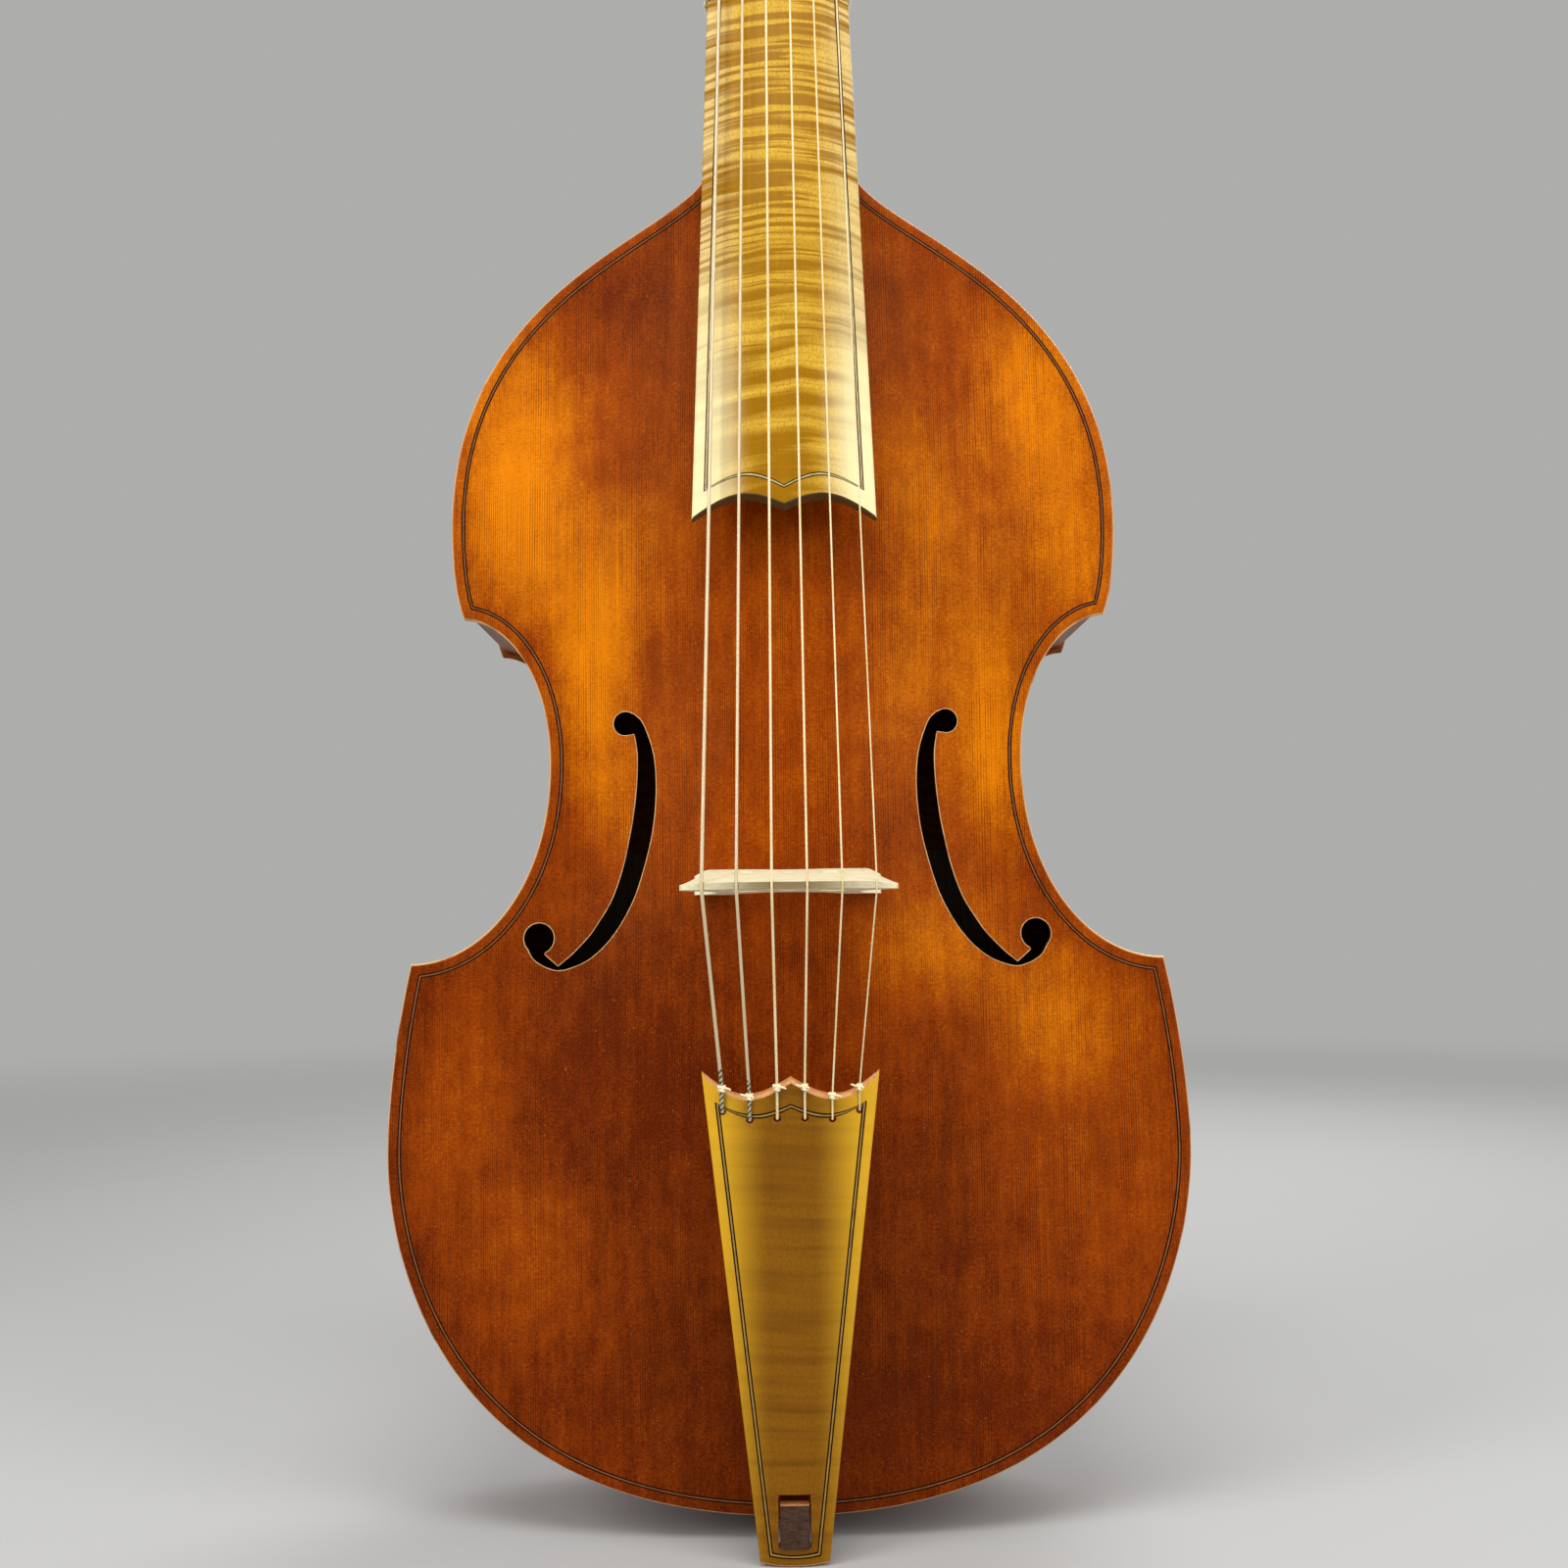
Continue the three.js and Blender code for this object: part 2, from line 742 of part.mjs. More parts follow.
function makeEndBlock() {
  const right = runWhile(insideRun(curveStations[0]), (p) => endBlock.halfWidth - p.x);
  const top = { x: endBlock.halfWidth, z: blockInset + endBlock.thickness };
  const half = [...right.slice(1), top];
  const contour = [...half, ...half.map(mirrored(-1)).reverse(), right[0]];
  addPiece('end_block', panel(contour, ribFront, ribRear), 'bareSpruce');
}

function makeNeckBlock() {
  const down = [levelEnd(curveEnd(5), blockInset), ...insideRun(curveStations[5].slice(1, -1)).reverse()];
  const half = runWhile(down, (p) => p.z - body.length + neckBlock.height);
  const contour = [...half, ...half.map(mirrored(-1)).reverse()];
  addPiece('neck_block', panel(contour, ribFront, ribRear), 'bareSpruce');
}

function makeCornerBlocks() {
  const corners = { lower: [1, 2], upper: [3, 4] };
  for (const [name, [before, after]] of Object.entries(corners)) {
    const corner = cornerPoint(curveEnd(before), curveStart(after), blockInset);
    const within = (p) => cornerBlock.reach - Math.hypot(p.x - corner.x, p.z - corner.z);
    const down = runWhile([corner, ...insideRun(curveStations[before].slice(0, -1)).reverse()], within);
    const up = runWhile([corner, ...insideRun(curveStations[after].slice(1))], within);
    const contour = [...down.reverse(), ...up.slice(1)];
    for (const [sideName, side] of Object.entries(sidesOf)) {
      const block = panel(contour.map(mirrored(side)), ribFront, ribRear);
      addPiece(`corner_block_${name}_${sideName}`, block, 'bareSpruce');
    }
  }
}

// Bars across the inside of the back, and the post between it and the belly

const insideHalfWidth = (low, high) => {
  const samples = range(roundSides + 1).map((k) => halfWidthAt(mix(low, high, k / roundSides)));
  return Math.min(...samples) - blockInset - rib.thickness / 2;
};

function crossBar(name, low, high, thickness) {
  const across = insideHalfWidth(low, high);
  const corners = [[-across, low], [across, low], [across, high], [-across, high]];
  const contour = corners.map(([x, z]) => ({ x, z }));
  const bar = panel(contour, (x, z) => ribRear(x, z) - thickness, ribRear);
  addPiece(name, bar, 'bareSpruce');
}

function makeInside() {
  const foldTop = body.foldHeight - backBrace.foldDrop + backBrace.width;
  crossBar('back_brace_upper', body.foldHeight - backBrace.foldDrop, foldTop, backBrace.thickness);
  const postHeight = bridge.tailFace - soundpost.behindBridge;
  const plateBottom = postHeight - soundpostPlate.behindPost;
  crossBar('soundpost_plate', plateBottom, plateBottom + soundpostPlate.width, soundpostPlate.thickness);
  const lowerTop = backBrace.lowerBottom + backBrace.width;
  crossBar('back_brace_lower', backBrace.lowerBottom, lowerTop, backBrace.thickness);

  const ring = range(roundSides).map((k) => {
    const angle = (2 * Math.PI * k) / roundSides;
    return {
      x: soundpost.inset + soundpost.radius * Math.cos(angle),
      z: postHeight + soundpost.radius * Math.sin(angle),
    };
  });
  const underBelly = (x, z) => bellyRear(x, z) + clearance;
  const onPlate = (x, z) => ribRear(x, z) - soundpostPlate.thickness - clearance;
  addPiece('soundpost', panel(ring, underBelly, onPlate), 'bareSpruce');

  const heights = range(roundSides + 1).map((k) => mix(bassBar.bottom, bassBar.top, k / roundSides));
  const inner = -bassBar.inset + bassBar.width / 2;
  const outer = -bassBar.inset - bassBar.width / 2;
  const sections = heights.map((z, k) => {
    const hump = Math.sin((Math.PI * k) / roundSides);
    const deep = underBelly(-bassBar.inset, z) + mix(bassBar.endHeight, bassBar.height, hump);
    const front = Math.max(underBelly(inner, z), underBelly(outer, z));
    return [point(outer, front, z), point(inner, front, z), point(inner, deep, z), point(outer, deep, z)];
  });
  addPiece('bass_bar', solidThroughRings(sections), 'bareSpruce');
}

// Fingerboard: crowned front, straight underside, scalloped end

const boardEnd = body.length - fingerboard.overBody;
const nutHeight = body.length + neck.length;
const nutLow = nutHeight + clearance;

// The strings' line over the middle of the board sets how far its end rises
const stringLine = (z) => {
  const bridgeFace = bridge.tailFace + bridge.topThickness;
  const share = (z - bridgeFace) / (nutLow - bridgeFace);
  return mix(bridge.crownRise, nut.rise - fingerboard.nutDrop, share);
};
const boardEndRise = stringLine(boardEnd) - fingerboard.endAction;
const boardShare = (z) => (z - boardEnd) / (nutHeight - boardEnd);
const boardHalfWidth = (z) => mix(fingerboard.endWidth, fingerboard.nutWidth, boardShare(z)) / 2;
const sagAt = (x, radius) => radius - Math.sqrt(radius * radius - x * x);
const boardCrown = (z) => mix(-boardEndRise, fingerboard.nutDrop, boardShare(z));
const boardFront = (x, z) => boardCrown(z) + sagAt(x, fingerboard.crownRadius);
const boardUnder = (x, z) => {
  const atEnd = -boardEndRise + sagAt(fingerboard.endWidth / 2, fingerboard.crownRadius);
  const atNut = fingerboard.nutDrop + sagAt(fingerboard.nutWidth / 2, fingerboard.crownRadius);
  return mix(atEnd, atNut, boardShare(z)) + fingerboard.edgeThickness;
};

// Scalloped end line: a cusp in the middle, a turn at a share of the half width, then the corner
function scallop(across, centre, turn, corner, turnShare) {
  const s = Math.abs(across);
  if (s < turnShare) return turn + (centre - turn) * (1 - Math.sin((Math.PI * s) / turnShare / 2));
  return turn + (corner - turn) * (1 - Math.cos((Math.PI * (s - turnShare)) / (1 - turnShare) / 2));
}

// Strip that is crowned in front, from one end line to the other, as a grid of shares
function crownedStrip(rows, halfWidthAtShare, lowAt, highAt, frontAt, rearAt) {
  const grid = (depthAt) => range(rows + 1).map((i) => range(stripColumns + 1).map((j) => {
    const across = (2 * j) / stripColumns - 1;
    const x = across * halfWidthAtShare(i / rows);
    const z = mix(lowAt(across), highAt(across), i / rows);
    return point(x, depthAt(x, z), z);
  }));
  return solidBetween(grid(frontAt), grid(rearAt));
}

function makeFingerboard() {
  const low = (across) => scallop(
    across,
    boardEnd + fingerboard.cuspRise,
    boardEnd + fingerboard.turnRise,
    boardEnd,
    fingerboardTurnShare,
  );
  const hollow = (x, z) => {
    const fade = ease(1 - (z - boardEnd) / fingerboard.hollowLength);
    return fingerboard.hollow * fade * (1 - (x / boardHalfWidth(z)) ** 2);
  };
  const under = (x, z) => boardUnder(x, z) - hollow(x, z);
  const wide = (share) => mix(fingerboard.endWidth, fingerboard.nutWidth, share) / 2;
  const strip = crownedStrip(roundSides, wide, low, () => nutHeight, boardFront, under);
  addPiece('fingerboard', strip, 'paleMaple');
}

// Neck: a rounded handle that deepens into a heel against the body

const neckPlane = (z) => boardUnder(0, z) + clearance;
const neckBase = body.length + clearance;
const neckEnd = nutHeight + nut.length + neck.beyondNut;
const neckHalfWidth = (z) => {
  const handle = boardHalfWidth(Math.min(z, nutHeight)) - neck.ledge;
  return mix(body.rootWidth / 2, handle, ease((z - neckBase) / neck.heelLength));
};

function neckSection(z) {
  const heel = clamp01(1 - (z - neckBase) / neck.heelLength);
  const along = (z - neckBase) / (neckEnd - neckBase);
  const handle = mix(neck.rootHandleDepth, neck.nutHandleDepth, along);
  const heelDepth = body.rootDepth - neckPlane(neckBase) - neck.rootHandleDepth;
  const depth = handle + heelDepth * heel ** heelFall;
  const roundness = 2 / (handleRoundness + heelSquareness * heel * heel);
  return range(neckSectionSteps + 1).map((k) => {
    const angle = (Math.PI * k) / neckSectionSteps;
    const [across, deep] = [Math.cos(angle), Math.sin(angle)];
    const x = neckHalfWidth(z) * Math.sign(across) * Math.abs(across) ** roundness;
    return point(x, neckPlane(z) + depth * Math.abs(deep) ** roundness, z);
  });
}

function makeNeck() {
  const heel = heelSectionShares.map((share) => neckBase + share * neck.heelLength);
  const handleStart = neckBase + neck.heelLength;
  const handle = range(handleSteps).map((k) => mix(handleStart, neckEnd, (k + 1) / handleSteps));
  addPiece('neck', solidThroughRings([...heel, ...handle].map(neckSection)), 'ribVarnish');
}

// Strings: places where they cross the nut, the bridge and the tailpiece

const spreadPlaces = (spread) => range(stringCount).map((i) => spread * (i / (stringCount - 1) - 1 / 2));
const nutPlaces = spreadPlaces(nut.spread);
const bridgePlaces = spreadPlaces(bridge.stringSpread);
const tailPlaces = spreadPlaces(tailpiece.holeSpread);
const stringRadius = (i) => stringDiameters[i] / 2;

// Crown of the nut or bridge with a small notch under each string
function notchedCrown(places, heightAt) {
  return places.flatMap((x, i) => {
    const half = stringRadius(i) + clearance;
    const floor = heightAt(x) - half;
    return [
      [x - half, heightAt(x - half)],
      [x - half * notchFloorShare, floor],
      [x + half * notchFloorShare, floor],
      [x + half, heightAt(x + half)],
    ];
  });
}

// Bridge: heights are taken forward from the belly's edge
const bridgeCrownAt = (x) => bridge.crownRise - sagAt(x, bridge.crownRadius);

function makeBridge() {
  const half = bridge.topWidth / 2;
  const foot = archAt(0, bridge.tailFace);
  const rise = bridge.crownRise - foot;
  const place = ([across, up]) => [across * half, foot + up * rise];
  const middle = bridge.tailFace + bridge.baseThickness / 2;
  const surface = (x) => Math.max(
    archAt(x, bridge.tailFace), archAt(x, middle), archAt(x, bridge.tailFace + bridge.baseThickness),
  ) + clearance;
  const footInner = bridge.footSpan / 2 - bridge.footWidth;
  const footLine = range(3).map((k) => mix(footInner, bridge.footSpan / 2, k / 2));
  const side = [
    ...footLine.map((x) => [x, surface(x)]),
    ...bridgeSideShares.map(place),
  ];
  const crownEdge = half * bridgeCrownStartShare;
  const crown = notchedCrown(bridgePlaces, bridgeCrownAt);
  const flip = ([x, h]) => [-x, h];
  const arch = bridgeArchShares.map(place);
  const contour = [
    ...side,
    [crownEdge, bridgeCrownAt(crownEdge)],
    ...crown.reverse(),
    [-crownEdge, bridgeCrownAt(crownEdge)],
    ...side.map(flip).reverse(),
    ...arch.map(flip),
    ...arch.slice(0, -1).reverse(),
  ];
  const shape = new THREE.Shape(contour.map(([x, h]) => new THREE.Vector2(x, h)));
  const oval = ([across, up], halfWidth, halfHeight, mirror) => {
    const [x, h] = place([across * mirror, up]);
    const path = new THREE.Path();
    const turn = (2 * Math.PI) / roundSides;
    path.setFromPoints(range(roundSides).map((k) => new THREE.Vector2(
      x + halfWidth * Math.cos(k * turn), h + halfHeight * Math.sin(k * turn),
    )));
    return path;
  };
  shape.holes.push(
    oval(bridgeSideHoleShares, bridge.sideHoleHalfWidth, bridge.sideHoleHalfHeight, 1),
    oval(bridgeSideHoleShares, bridge.sideHoleHalfWidth, bridge.sideHoleHalfHeight, -1),
    oval(bridgeHeartShares, bridge.heartRadius, bridge.heartRadius, 1),
  );
  const thickness = (h) => mix(bridge.baseThickness, bridge.topThickness, (h - foot) / rise);
  const solid = extrudedThrough(shape, (x, h, s) => point(x, -h, bridge.tailFace + s * thickness(h)));
  addPiece('bridge', solid, 'bridgeMaple');
}

// Nut: its crown runs parallel to the fingerboard's
const nutCrown = (x) => boardFront(x, nutHeight) - nut.rise;

function makeNut() {
  const half = fingerboard.nutWidth / 2;
  const slope = (fingerboard.nutDrop + boardEndRise) / (nutHeight - boardEnd);
  const crown = notchedCrown(nutPlaces, (x) => -nutCrown(x));
  const seat = -neckPlane(nutLow) + clearance;
  const contour = [
    [-half, seat],
    [half, seat],
    [half, -nutCrown(half)],
    ...crown.reverse(),
    [-half, -nutCrown(half)],
  ];
  const shape = new THREE.Shape(contour.map(([x, h]) => new THREE.Vector2(x, h)));
  const place = (x, h, s) => point(x, -h + s * nut.length * slope, nutLow + s * nut.length);
  addPiece('nut', extrudedThrough(shape, place), 'darkWood');
}

// Tailpiece: crowned front, flat back, scalloped top, mortise for the hook bar

const tailShare = (z) => (z - tailpiece.bottomHeight) / (tailpiece.cornerHeight - tailpiece.bottomHeight);
const tailCrown = (z) => -mix(tailpiece.bottomRise, tailpiece.topRise, tailShare(z));
const tailFront = (x, z) => tailCrown(z) + sagAt(x, tailpiece.crownRadius);
const tailThickness = (z) => mix(tailpiece.bottomThickness, tailpiece.topThickness, tailShare(z));
const tailRear = (x, z) => tailCrown(z) + tailThickness(z);
const tailTopAt = (across) => tailpiece.cornerHeight - scallop(
  across, tailpiece.peakDrop, tailpiece.valleyDrop, 0, tailpieceTurnShare,
);
const tailHoleHeight = (i) => {
  const rise = tailHoleRiseShares[i] * tailpiece.holeEdgeRise;
  return tailpiece.cornerHeight - tailpiece.holeInset + rise;
};

function boxBetween(low, high) {
  const size = high.clone().sub(low);
  const box = new THREE.BoxGeometry(size.x, size.y, size.z);
  box.translate((low.x + high.x) / 2, (low.y + high.y) / 2, (low.z + high.z) / 2);
  return closedSolid(box);
}

function makeTailpiece() {
  const low = (across) => tailpiece.bottomHeight + tailpiece.tailRound * across * across;
  const wide = (share) => mix(tailpiece.bottomWidth, tailpiece.topWidth, share) / 2;
  const strip = crownedStrip(roundSides, wide, low, tailTopAt, tailFront, tailRear);
  const front = -tailpiece.topRise - cutOverrun;
  const slot = boxBetween(
    point(-tailpiece.slotWidth / 2, front, tailpiece.slotBottom),
    point(tailpiece.slotWidth / 2, 0, tailpiece.slotBottom + tailpiece.slotLength),
  );
  const holes = tailPlaces.map((x, i) => taperedBar(
    point(x, front, tailHoleHeight(i)),
    point(x, 0, tailHoleHeight(i)),
    tailpiece.holeRadius,
    tailpiece.holeRadius,
    stringSides + 2,
  ));
  addPiece('tailpiece', cutFrom(strip, [slot, ...holes]), 'paleMaple');
}

// Hook bar: lies under the bottom ribs, rises in front of the belly and ends in the tailpiece's mortise
function makeHookBar() {
  const ribFace = back.overhang - clearance;
  const nose = tailCrown(tailpiece.slotBottom) - hookBar.noseStandOut;
  const behindTail = tailRear(0, tailpiece.bottomHeight) + clearance;
  const seat = tailpiece.slotBottom + hookBar.seatGap;
  const profile = [
    [hookBar.backReach, ribFace],
    [hookBar.backReach, -hookBar.drop],
    [behindTail, -hookBar.drop],
    [behindTail, seat],
    [nose, seat],
    [nose, hookBar.noseHeight],
    [-belly.thickness, hookBar.noseHeight],
    [-clearance, -clearance],
    [belly.thickness + clearance, -clearance],
    [belly.thickness + clearance, ribFace],
  ];
  const shape = new THREE.Shape(profile.map(([y, z]) => new THREE.Vector2(y, z)));
  const place = (y, z, s) => point((s - 1 / 2) * hookBar.width, y, z);
  addPiece('hook_bar', extrudedThrough(shape, place), 'darkWood');
}

// Head: pegbox with an open front, and a scroll on top, in the head's own frame

const headFoot = neckEnd + clearance;
const scrollHeight = head.boxLength + scroll.aboveBox;
const headGroup = new THREE.Group();
headGroup.position.set(0, neckPlane(neckEnd), headFoot);
headGroup.rotation.x = -head.tilt;
instrument.add(headGroup);

// A place in the instrument's frame from a place in the head's frame
const headPlace = (x, deep, up) => point(
  x,
  neckPlane(neckEnd) + deep * Math.cos(head.tilt) + up * Math.sin(head.tilt),
  headFoot - deep * Math.sin(head.tilt) + up * Math.cos(head.tilt),
);

const headHalfWidth = (up) => mix(head.startWidth, head.topWidth, clamp01(up / head.boxLength)) / 2;

function scrollSolid() {
  const whole = 2 * Math.PI;
  const steps = Math.round(scrollTurns * turnSteps);
  const shrink = Math.log(scroll.outerRadius / scroll.eyeRadius) / scrollTurns;
  const spiral = range(steps + 1).map((k) => {
    const turns = k / turnSteps;
    const radius = scroll.outerRadius * Math.exp(-shrink * turns);
    const angle = scrollStart + whole * turns;
    return {
      y: scroll.centreDepth + radius * Math.cos(angle),
      z: scrollHeight + radius * Math.sin(angle),
      half: mix(scroll.startWidth, scroll.eyeWidth, turns / scrollTurns) / 2,
    };
  });
  const points = [];
  const at = (x, place) => points.push(point(x, place.y, place.z)) - 1;
  const faces = [];
  const first = spiral[0].half;
  for (let k = 0; k < turnSteps; k += 1) {
    const [a, b] = [spiral[k], spiral[k + 1]];
    const across = (place) => [-place.half, -first, first, place.half].map((x) => at(x, place));
    const [low, high] = [across(a), across(b)];
    for (let j = 0; j < low.length - 1; j += 1) {
      faces.push(quad(low[j], low[j + 1], high[j + 1], high[j]));
    }
  }
  for (const side of [1, -1]) {
    const face = (...corners) => faces.push(side > 0 ? quad(...corners) : quad(...corners.reverse()));
    for (let k = 0; k + turnSteps < spiral.length - 1; k += 1) {
      const [a, b] = [spiral[k], spiral[k + 1]];
      const [c, d] = [spiral[k + turnSteps], spiral[k + 1 + turnSteps]];
      face(at(side * a.half, a), at(side * a.half, c), at(side * b.half, d), at(side * b.half, b));
      face(at(side * a.half, c), at(side * c.half, c), at(side * d.half, d), at(side * b.half, d));
    }
    const turnStart = spiral.length - 1 - turnSteps;
    const last = spiral[spiral.length - 1];
    const rim = spiral.slice(turnStart);
    const hub = { y: scroll.centreDepth, z: scrollHeight };
    const middle = at(side * last.half, hub);
    for (let k = 0; k < rim.length - 1; k += 1) {
      const [a, b] = [rim[k], rim[k + 1]];
      const triangle = [at(side * a.half, a), middle, at(side * b.half, b)];
      faces.push(side > 0 ? triangle : triangle.reverse());
    }
    const step = [at(side * rim[0].half, rim[0]), at(side * rim[0].half, last), middle];
    const riser = [at(side * rim[0].half, last), at(side * last.half, last), middle];
    for (const triangle of [step, riser]) faces.push(side > 0 ? triangle : triangle.reverse());
  }
  const [outer, inner] = [spiral[0], spiral[turnSteps]];
  faces.push(quad(at(-first, outer), at(-first, inner), at(first, inner), at(first, outer)));
  return solidFromFaces(points, faces);
}

const pegHeight = (i) => {
  const order = i < stringCount / 2 ? 2 * i : 2 * (stringCount - 1 - i) + 1;
  return peg.firstHeight + order * peg.spacing;
};
const pegSide = (i) => (i < stringCount / 2 ? sidesOf.bass : sidesOf.treble);
const pegReach = (i) => headHalfWidth(pegHeight(i)) + peg.endStandOut;

// Radius of the peg's shaft at a place across the pegbox
const pegRadius = (i, x) => {
  const span = 2 * pegReach(i);
  return mix(peg.smallRadius, peg.bigRadius, (x * pegSide(i) + pegReach(i)) / span);
};

function pegBore(i) {
  const far = -pegSide(i) * (pegReach(i) + cutOverrun);
  const near = pegSide(i) * (pegReach(i) + cutOverrun);
  const grown = (x) => (pegRadius(i, x) + clearance) / Math.cos(Math.PI / roundSides);
  const [deep, up] = [peg.depth, pegHeight(i)];
  return taperedBar(point(far, deep, up), point(near, deep, up), grown(far), grown(near), roundSides);
}

function makeHead() {
  const slant = Math.tan(head.tilt);
  const throat = scrollHeight - scroll.outerRadius;
  const boxSide = [
    [-head.frontRise, -head.frontRise * slant],
    [head.startDepth, head.startDepth * slant],
    [head.startDepth + head.nutStep, head.boxLength / 2],
    [head.topDepth, head.boxLength],
    [
      scroll.centreDepth + scroll.outerRadius * Math.cos(scrollStart),
      scrollHeight + scroll.outerRadius * Math.sin(scrollStart),
    ],
    [scroll.centreDepth, scrollHeight],
    [scroll.centreDepth + scroll.eyeRadius, throat + scroll.eyeRadius],
    [scroll.centreDepth, throat],
    [-head.frontRise, head.boxLength],
  ];
  const sideShape = new THREE.Shape(boxSide.map(([deep, up]) => new THREE.Vector2(deep, up)));
  const aboveBox = (up) => clamp01((up - head.boxLength) / (scrollHeight - head.boxLength));
  const narrow = (up) => mix(headHalfWidth(up), scroll.startWidth / 2, aboveBox(up));
  const box = extrudedThrough(sideShape, (deep, up, s) => point((2 * s - 1) * narrow(up), deep, up));
  const cavitySide = [
    [-head.frontRise - cutOverrun, head.cavityStart],
    [head.startDepth - head.floor, head.cavityStart + head.startDepth * slant],
    [head.topDepth - head.floor, head.cavityEnd],
    [-head.frontRise - cutOverrun, head.cavityEnd],
  ];
  const cavityShape = new THREE.Shape(cavitySide.map(([deep, up]) => new THREE.Vector2(deep, up)));
  const cavity = extrudedThrough(
    cavityShape, (deep, up, s) => point((2 * s - 1) * (headHalfWidth(up) - head.cheek), deep, up),
  );
  const bores = range(stringCount).map(pegBore);
  const whole = joined([box, scrollSolid()]);
  addPiece('pegbox_scroll', cutFrom(whole, [cavity, ...bores]), 'ribVarnish', headGroup);
}

// Pegs: a tapered shaft, a collar, a stem and a flat oval head
function makePegs() {
  for (const i of range(stringCount)) {
    const side = pegSide(i);
    const reach = pegReach(i);
    const cheekFace = headHalfWidth(pegHeight(i) - peg.collarRadius) + clearance;
    const collarEnd = cheekFace + peg.collarLength;
    const headStart = collarEnd + peg.stemLength;
    const section = (out, halfWidth, halfThickness) => range(roundSides - 2).map((k) => {
      const angle = (2 * Math.PI * k) / (roundSides - 2);
      return point(
        side * out,
        peg.depth + halfThickness * Math.sin(angle),
        pegHeight(i) + halfWidth * Math.cos(angle),
      );
    });
    const round = (out, radius) => section(out, radius, radius);
    const rings = [
      round(-reach, peg.smallRadius),
      round(cheekFace, pegRadius(i, side * cheekFace)),
      round(cheekFace, peg.collarRadius),
      round(collarEnd, peg.collarRadius),
      round(collarEnd, peg.stemRadius),
      round(headStart, peg.stemRadius),
      ...pegHeadShares.map(([along, wide, thick]) => section(
        headStart + along * peg.headLength, (wide * peg.headWidth) / 2, (thick * peg.headThickness) / 2,
      )),
      section(headStart + peg.headLength, peg.stemRadius / 2, peg.stemRadius / 2),
    ];
    addPiece(`peg_${i + 1}`, solidThroughRings(rings), 'darkWood', headGroup);
  }
}

// Winding of a string round its peg, from the place where the string first touches it
function windingPath(i, nutPoint) {
  const side = pegSide(i);
  const order = side < 0 ? i : stringCount - 1 - i;
  const pitch = stringDiameters[i] + windingGap;
  const startX = side * (windingInsets[order] - pitch * windingTurns);
  const axle = headPlace(0, peg.depth, pegHeight(i));
  const radiusAt = (x) => (pegRadius(i, x) + clearance + stringRadius(i)) / Math.cos(Math.PI / windingSteps);
  const away = { y: nutPoint.y - axle.y, z: nutPoint.z - axle.z };
  const distance = Math.hypot(away.y, away.z);
  const bearing = Math.atan2(away.z, away.y);
  const opening = Math.acos(radiusAt(startX) / distance);
  const first = [bearing + opening, bearing - opening].sort((a, b) => Math.cos(a) - Math.cos(b))[0];
  return range(Math.round(windingTurns * windingSteps) + 1).map((k) => {
    const angle = first - (2 * Math.PI * k) / windingSteps;
    const x = startX + (side * pitch * k) / windingSteps;
    return point(x, axle.y + radiusAt(x) * Math.cos(angle), axle.z + radiusAt(x) * Math.sin(angle));
  });
}

// Least free gap between turns of a winding, on its points
function leastTurnGap(path, diameter) {
  let least = Infinity;
  for (let a = 0; a < path.length; a += 1) {
    for (let b = a + windingSteps - 2; b < path.length; b += 1) {
      least = Math.min(least, path[a].distanceTo(path[b]) - diameter);
    }
  }
  return least;
}

function makeStrings() {
  const slope = (fingerboard.nutDrop + boardEndRise) / (nutHeight - boardEnd);
  for (const i of range(stringCount)) {
    const radius = stringRadius(i);
    const [nutX, bridgeX, tailX] = [nutPlaces[i], bridgePlaces[i], tailPlaces[i]];
    const nutTop = point(nutX, nutCrown(nutX) + nut.length * slope, nutLow + nut.length);
    const winding = windingPath(i, nutTop);
    const crown = -bridgeCrownAt(bridgeX);
    const topEdge = tailTopAt((2 * tailX) / tailpiece.topWidth);
    const holeHeight = tailHoleHeight(i);
    const proud = radius + clearance;
    const path = [
      ...winding.reverse(),
      nutTop,
      point(nutX, nutCrown(nutX), nutLow),
      point(bridgeX, crown, bridge.tailFace + bridge.topThickness),
      point(bridgeX, crown, bridge.tailFace),
      point(tailX, tailFront(tailX, topEdge) - proud, topEdge),
      point(tailX, tailFront(tailX, holeHeight) - proud, holeHeight + clearance * 2),
      point(tailX, tailFront(tailX, holeHeight) - clearance * 2, holeHeight),
      point(tailX, tailRear(tailX, holeHeight) + stringTail, holeHeight),
    ];
    const gap = leastTurnGap(winding, stringDiameters[i]).toFixed(2);
    console.log(`string_${i + 1}: least gap between turns on its peg ${gap} mm`);
    addPiece(`string_${i + 1}`, tubeAlong(path, radius, stringSides), i < woundStrings ? 'woundGut' : 'gut');
  }
}

// Frets: one loop of gut each, tied round the neck and the fingerboard

function convexHull(points) {
  const sorted = [...points].sort((a, b) => a.x - b.x || a.y - b.y);
  const turn = (o, a, b) => (a.x - o.x) * (b.y - o.y) - (a.y - o.y) * (b.x - o.x);
  const chain = (list) => {
    const kept = [];
    for (const p of list) {
      while (kept.length > 1 && turn(kept[kept.length - 2], kept[kept.length - 1], p) <= 0) kept.pop();
      kept.push(p);
    }
    return kept.slice(0, -1);
  };
  return [...chain(sorted), ...chain(sorted.reverse())];
}

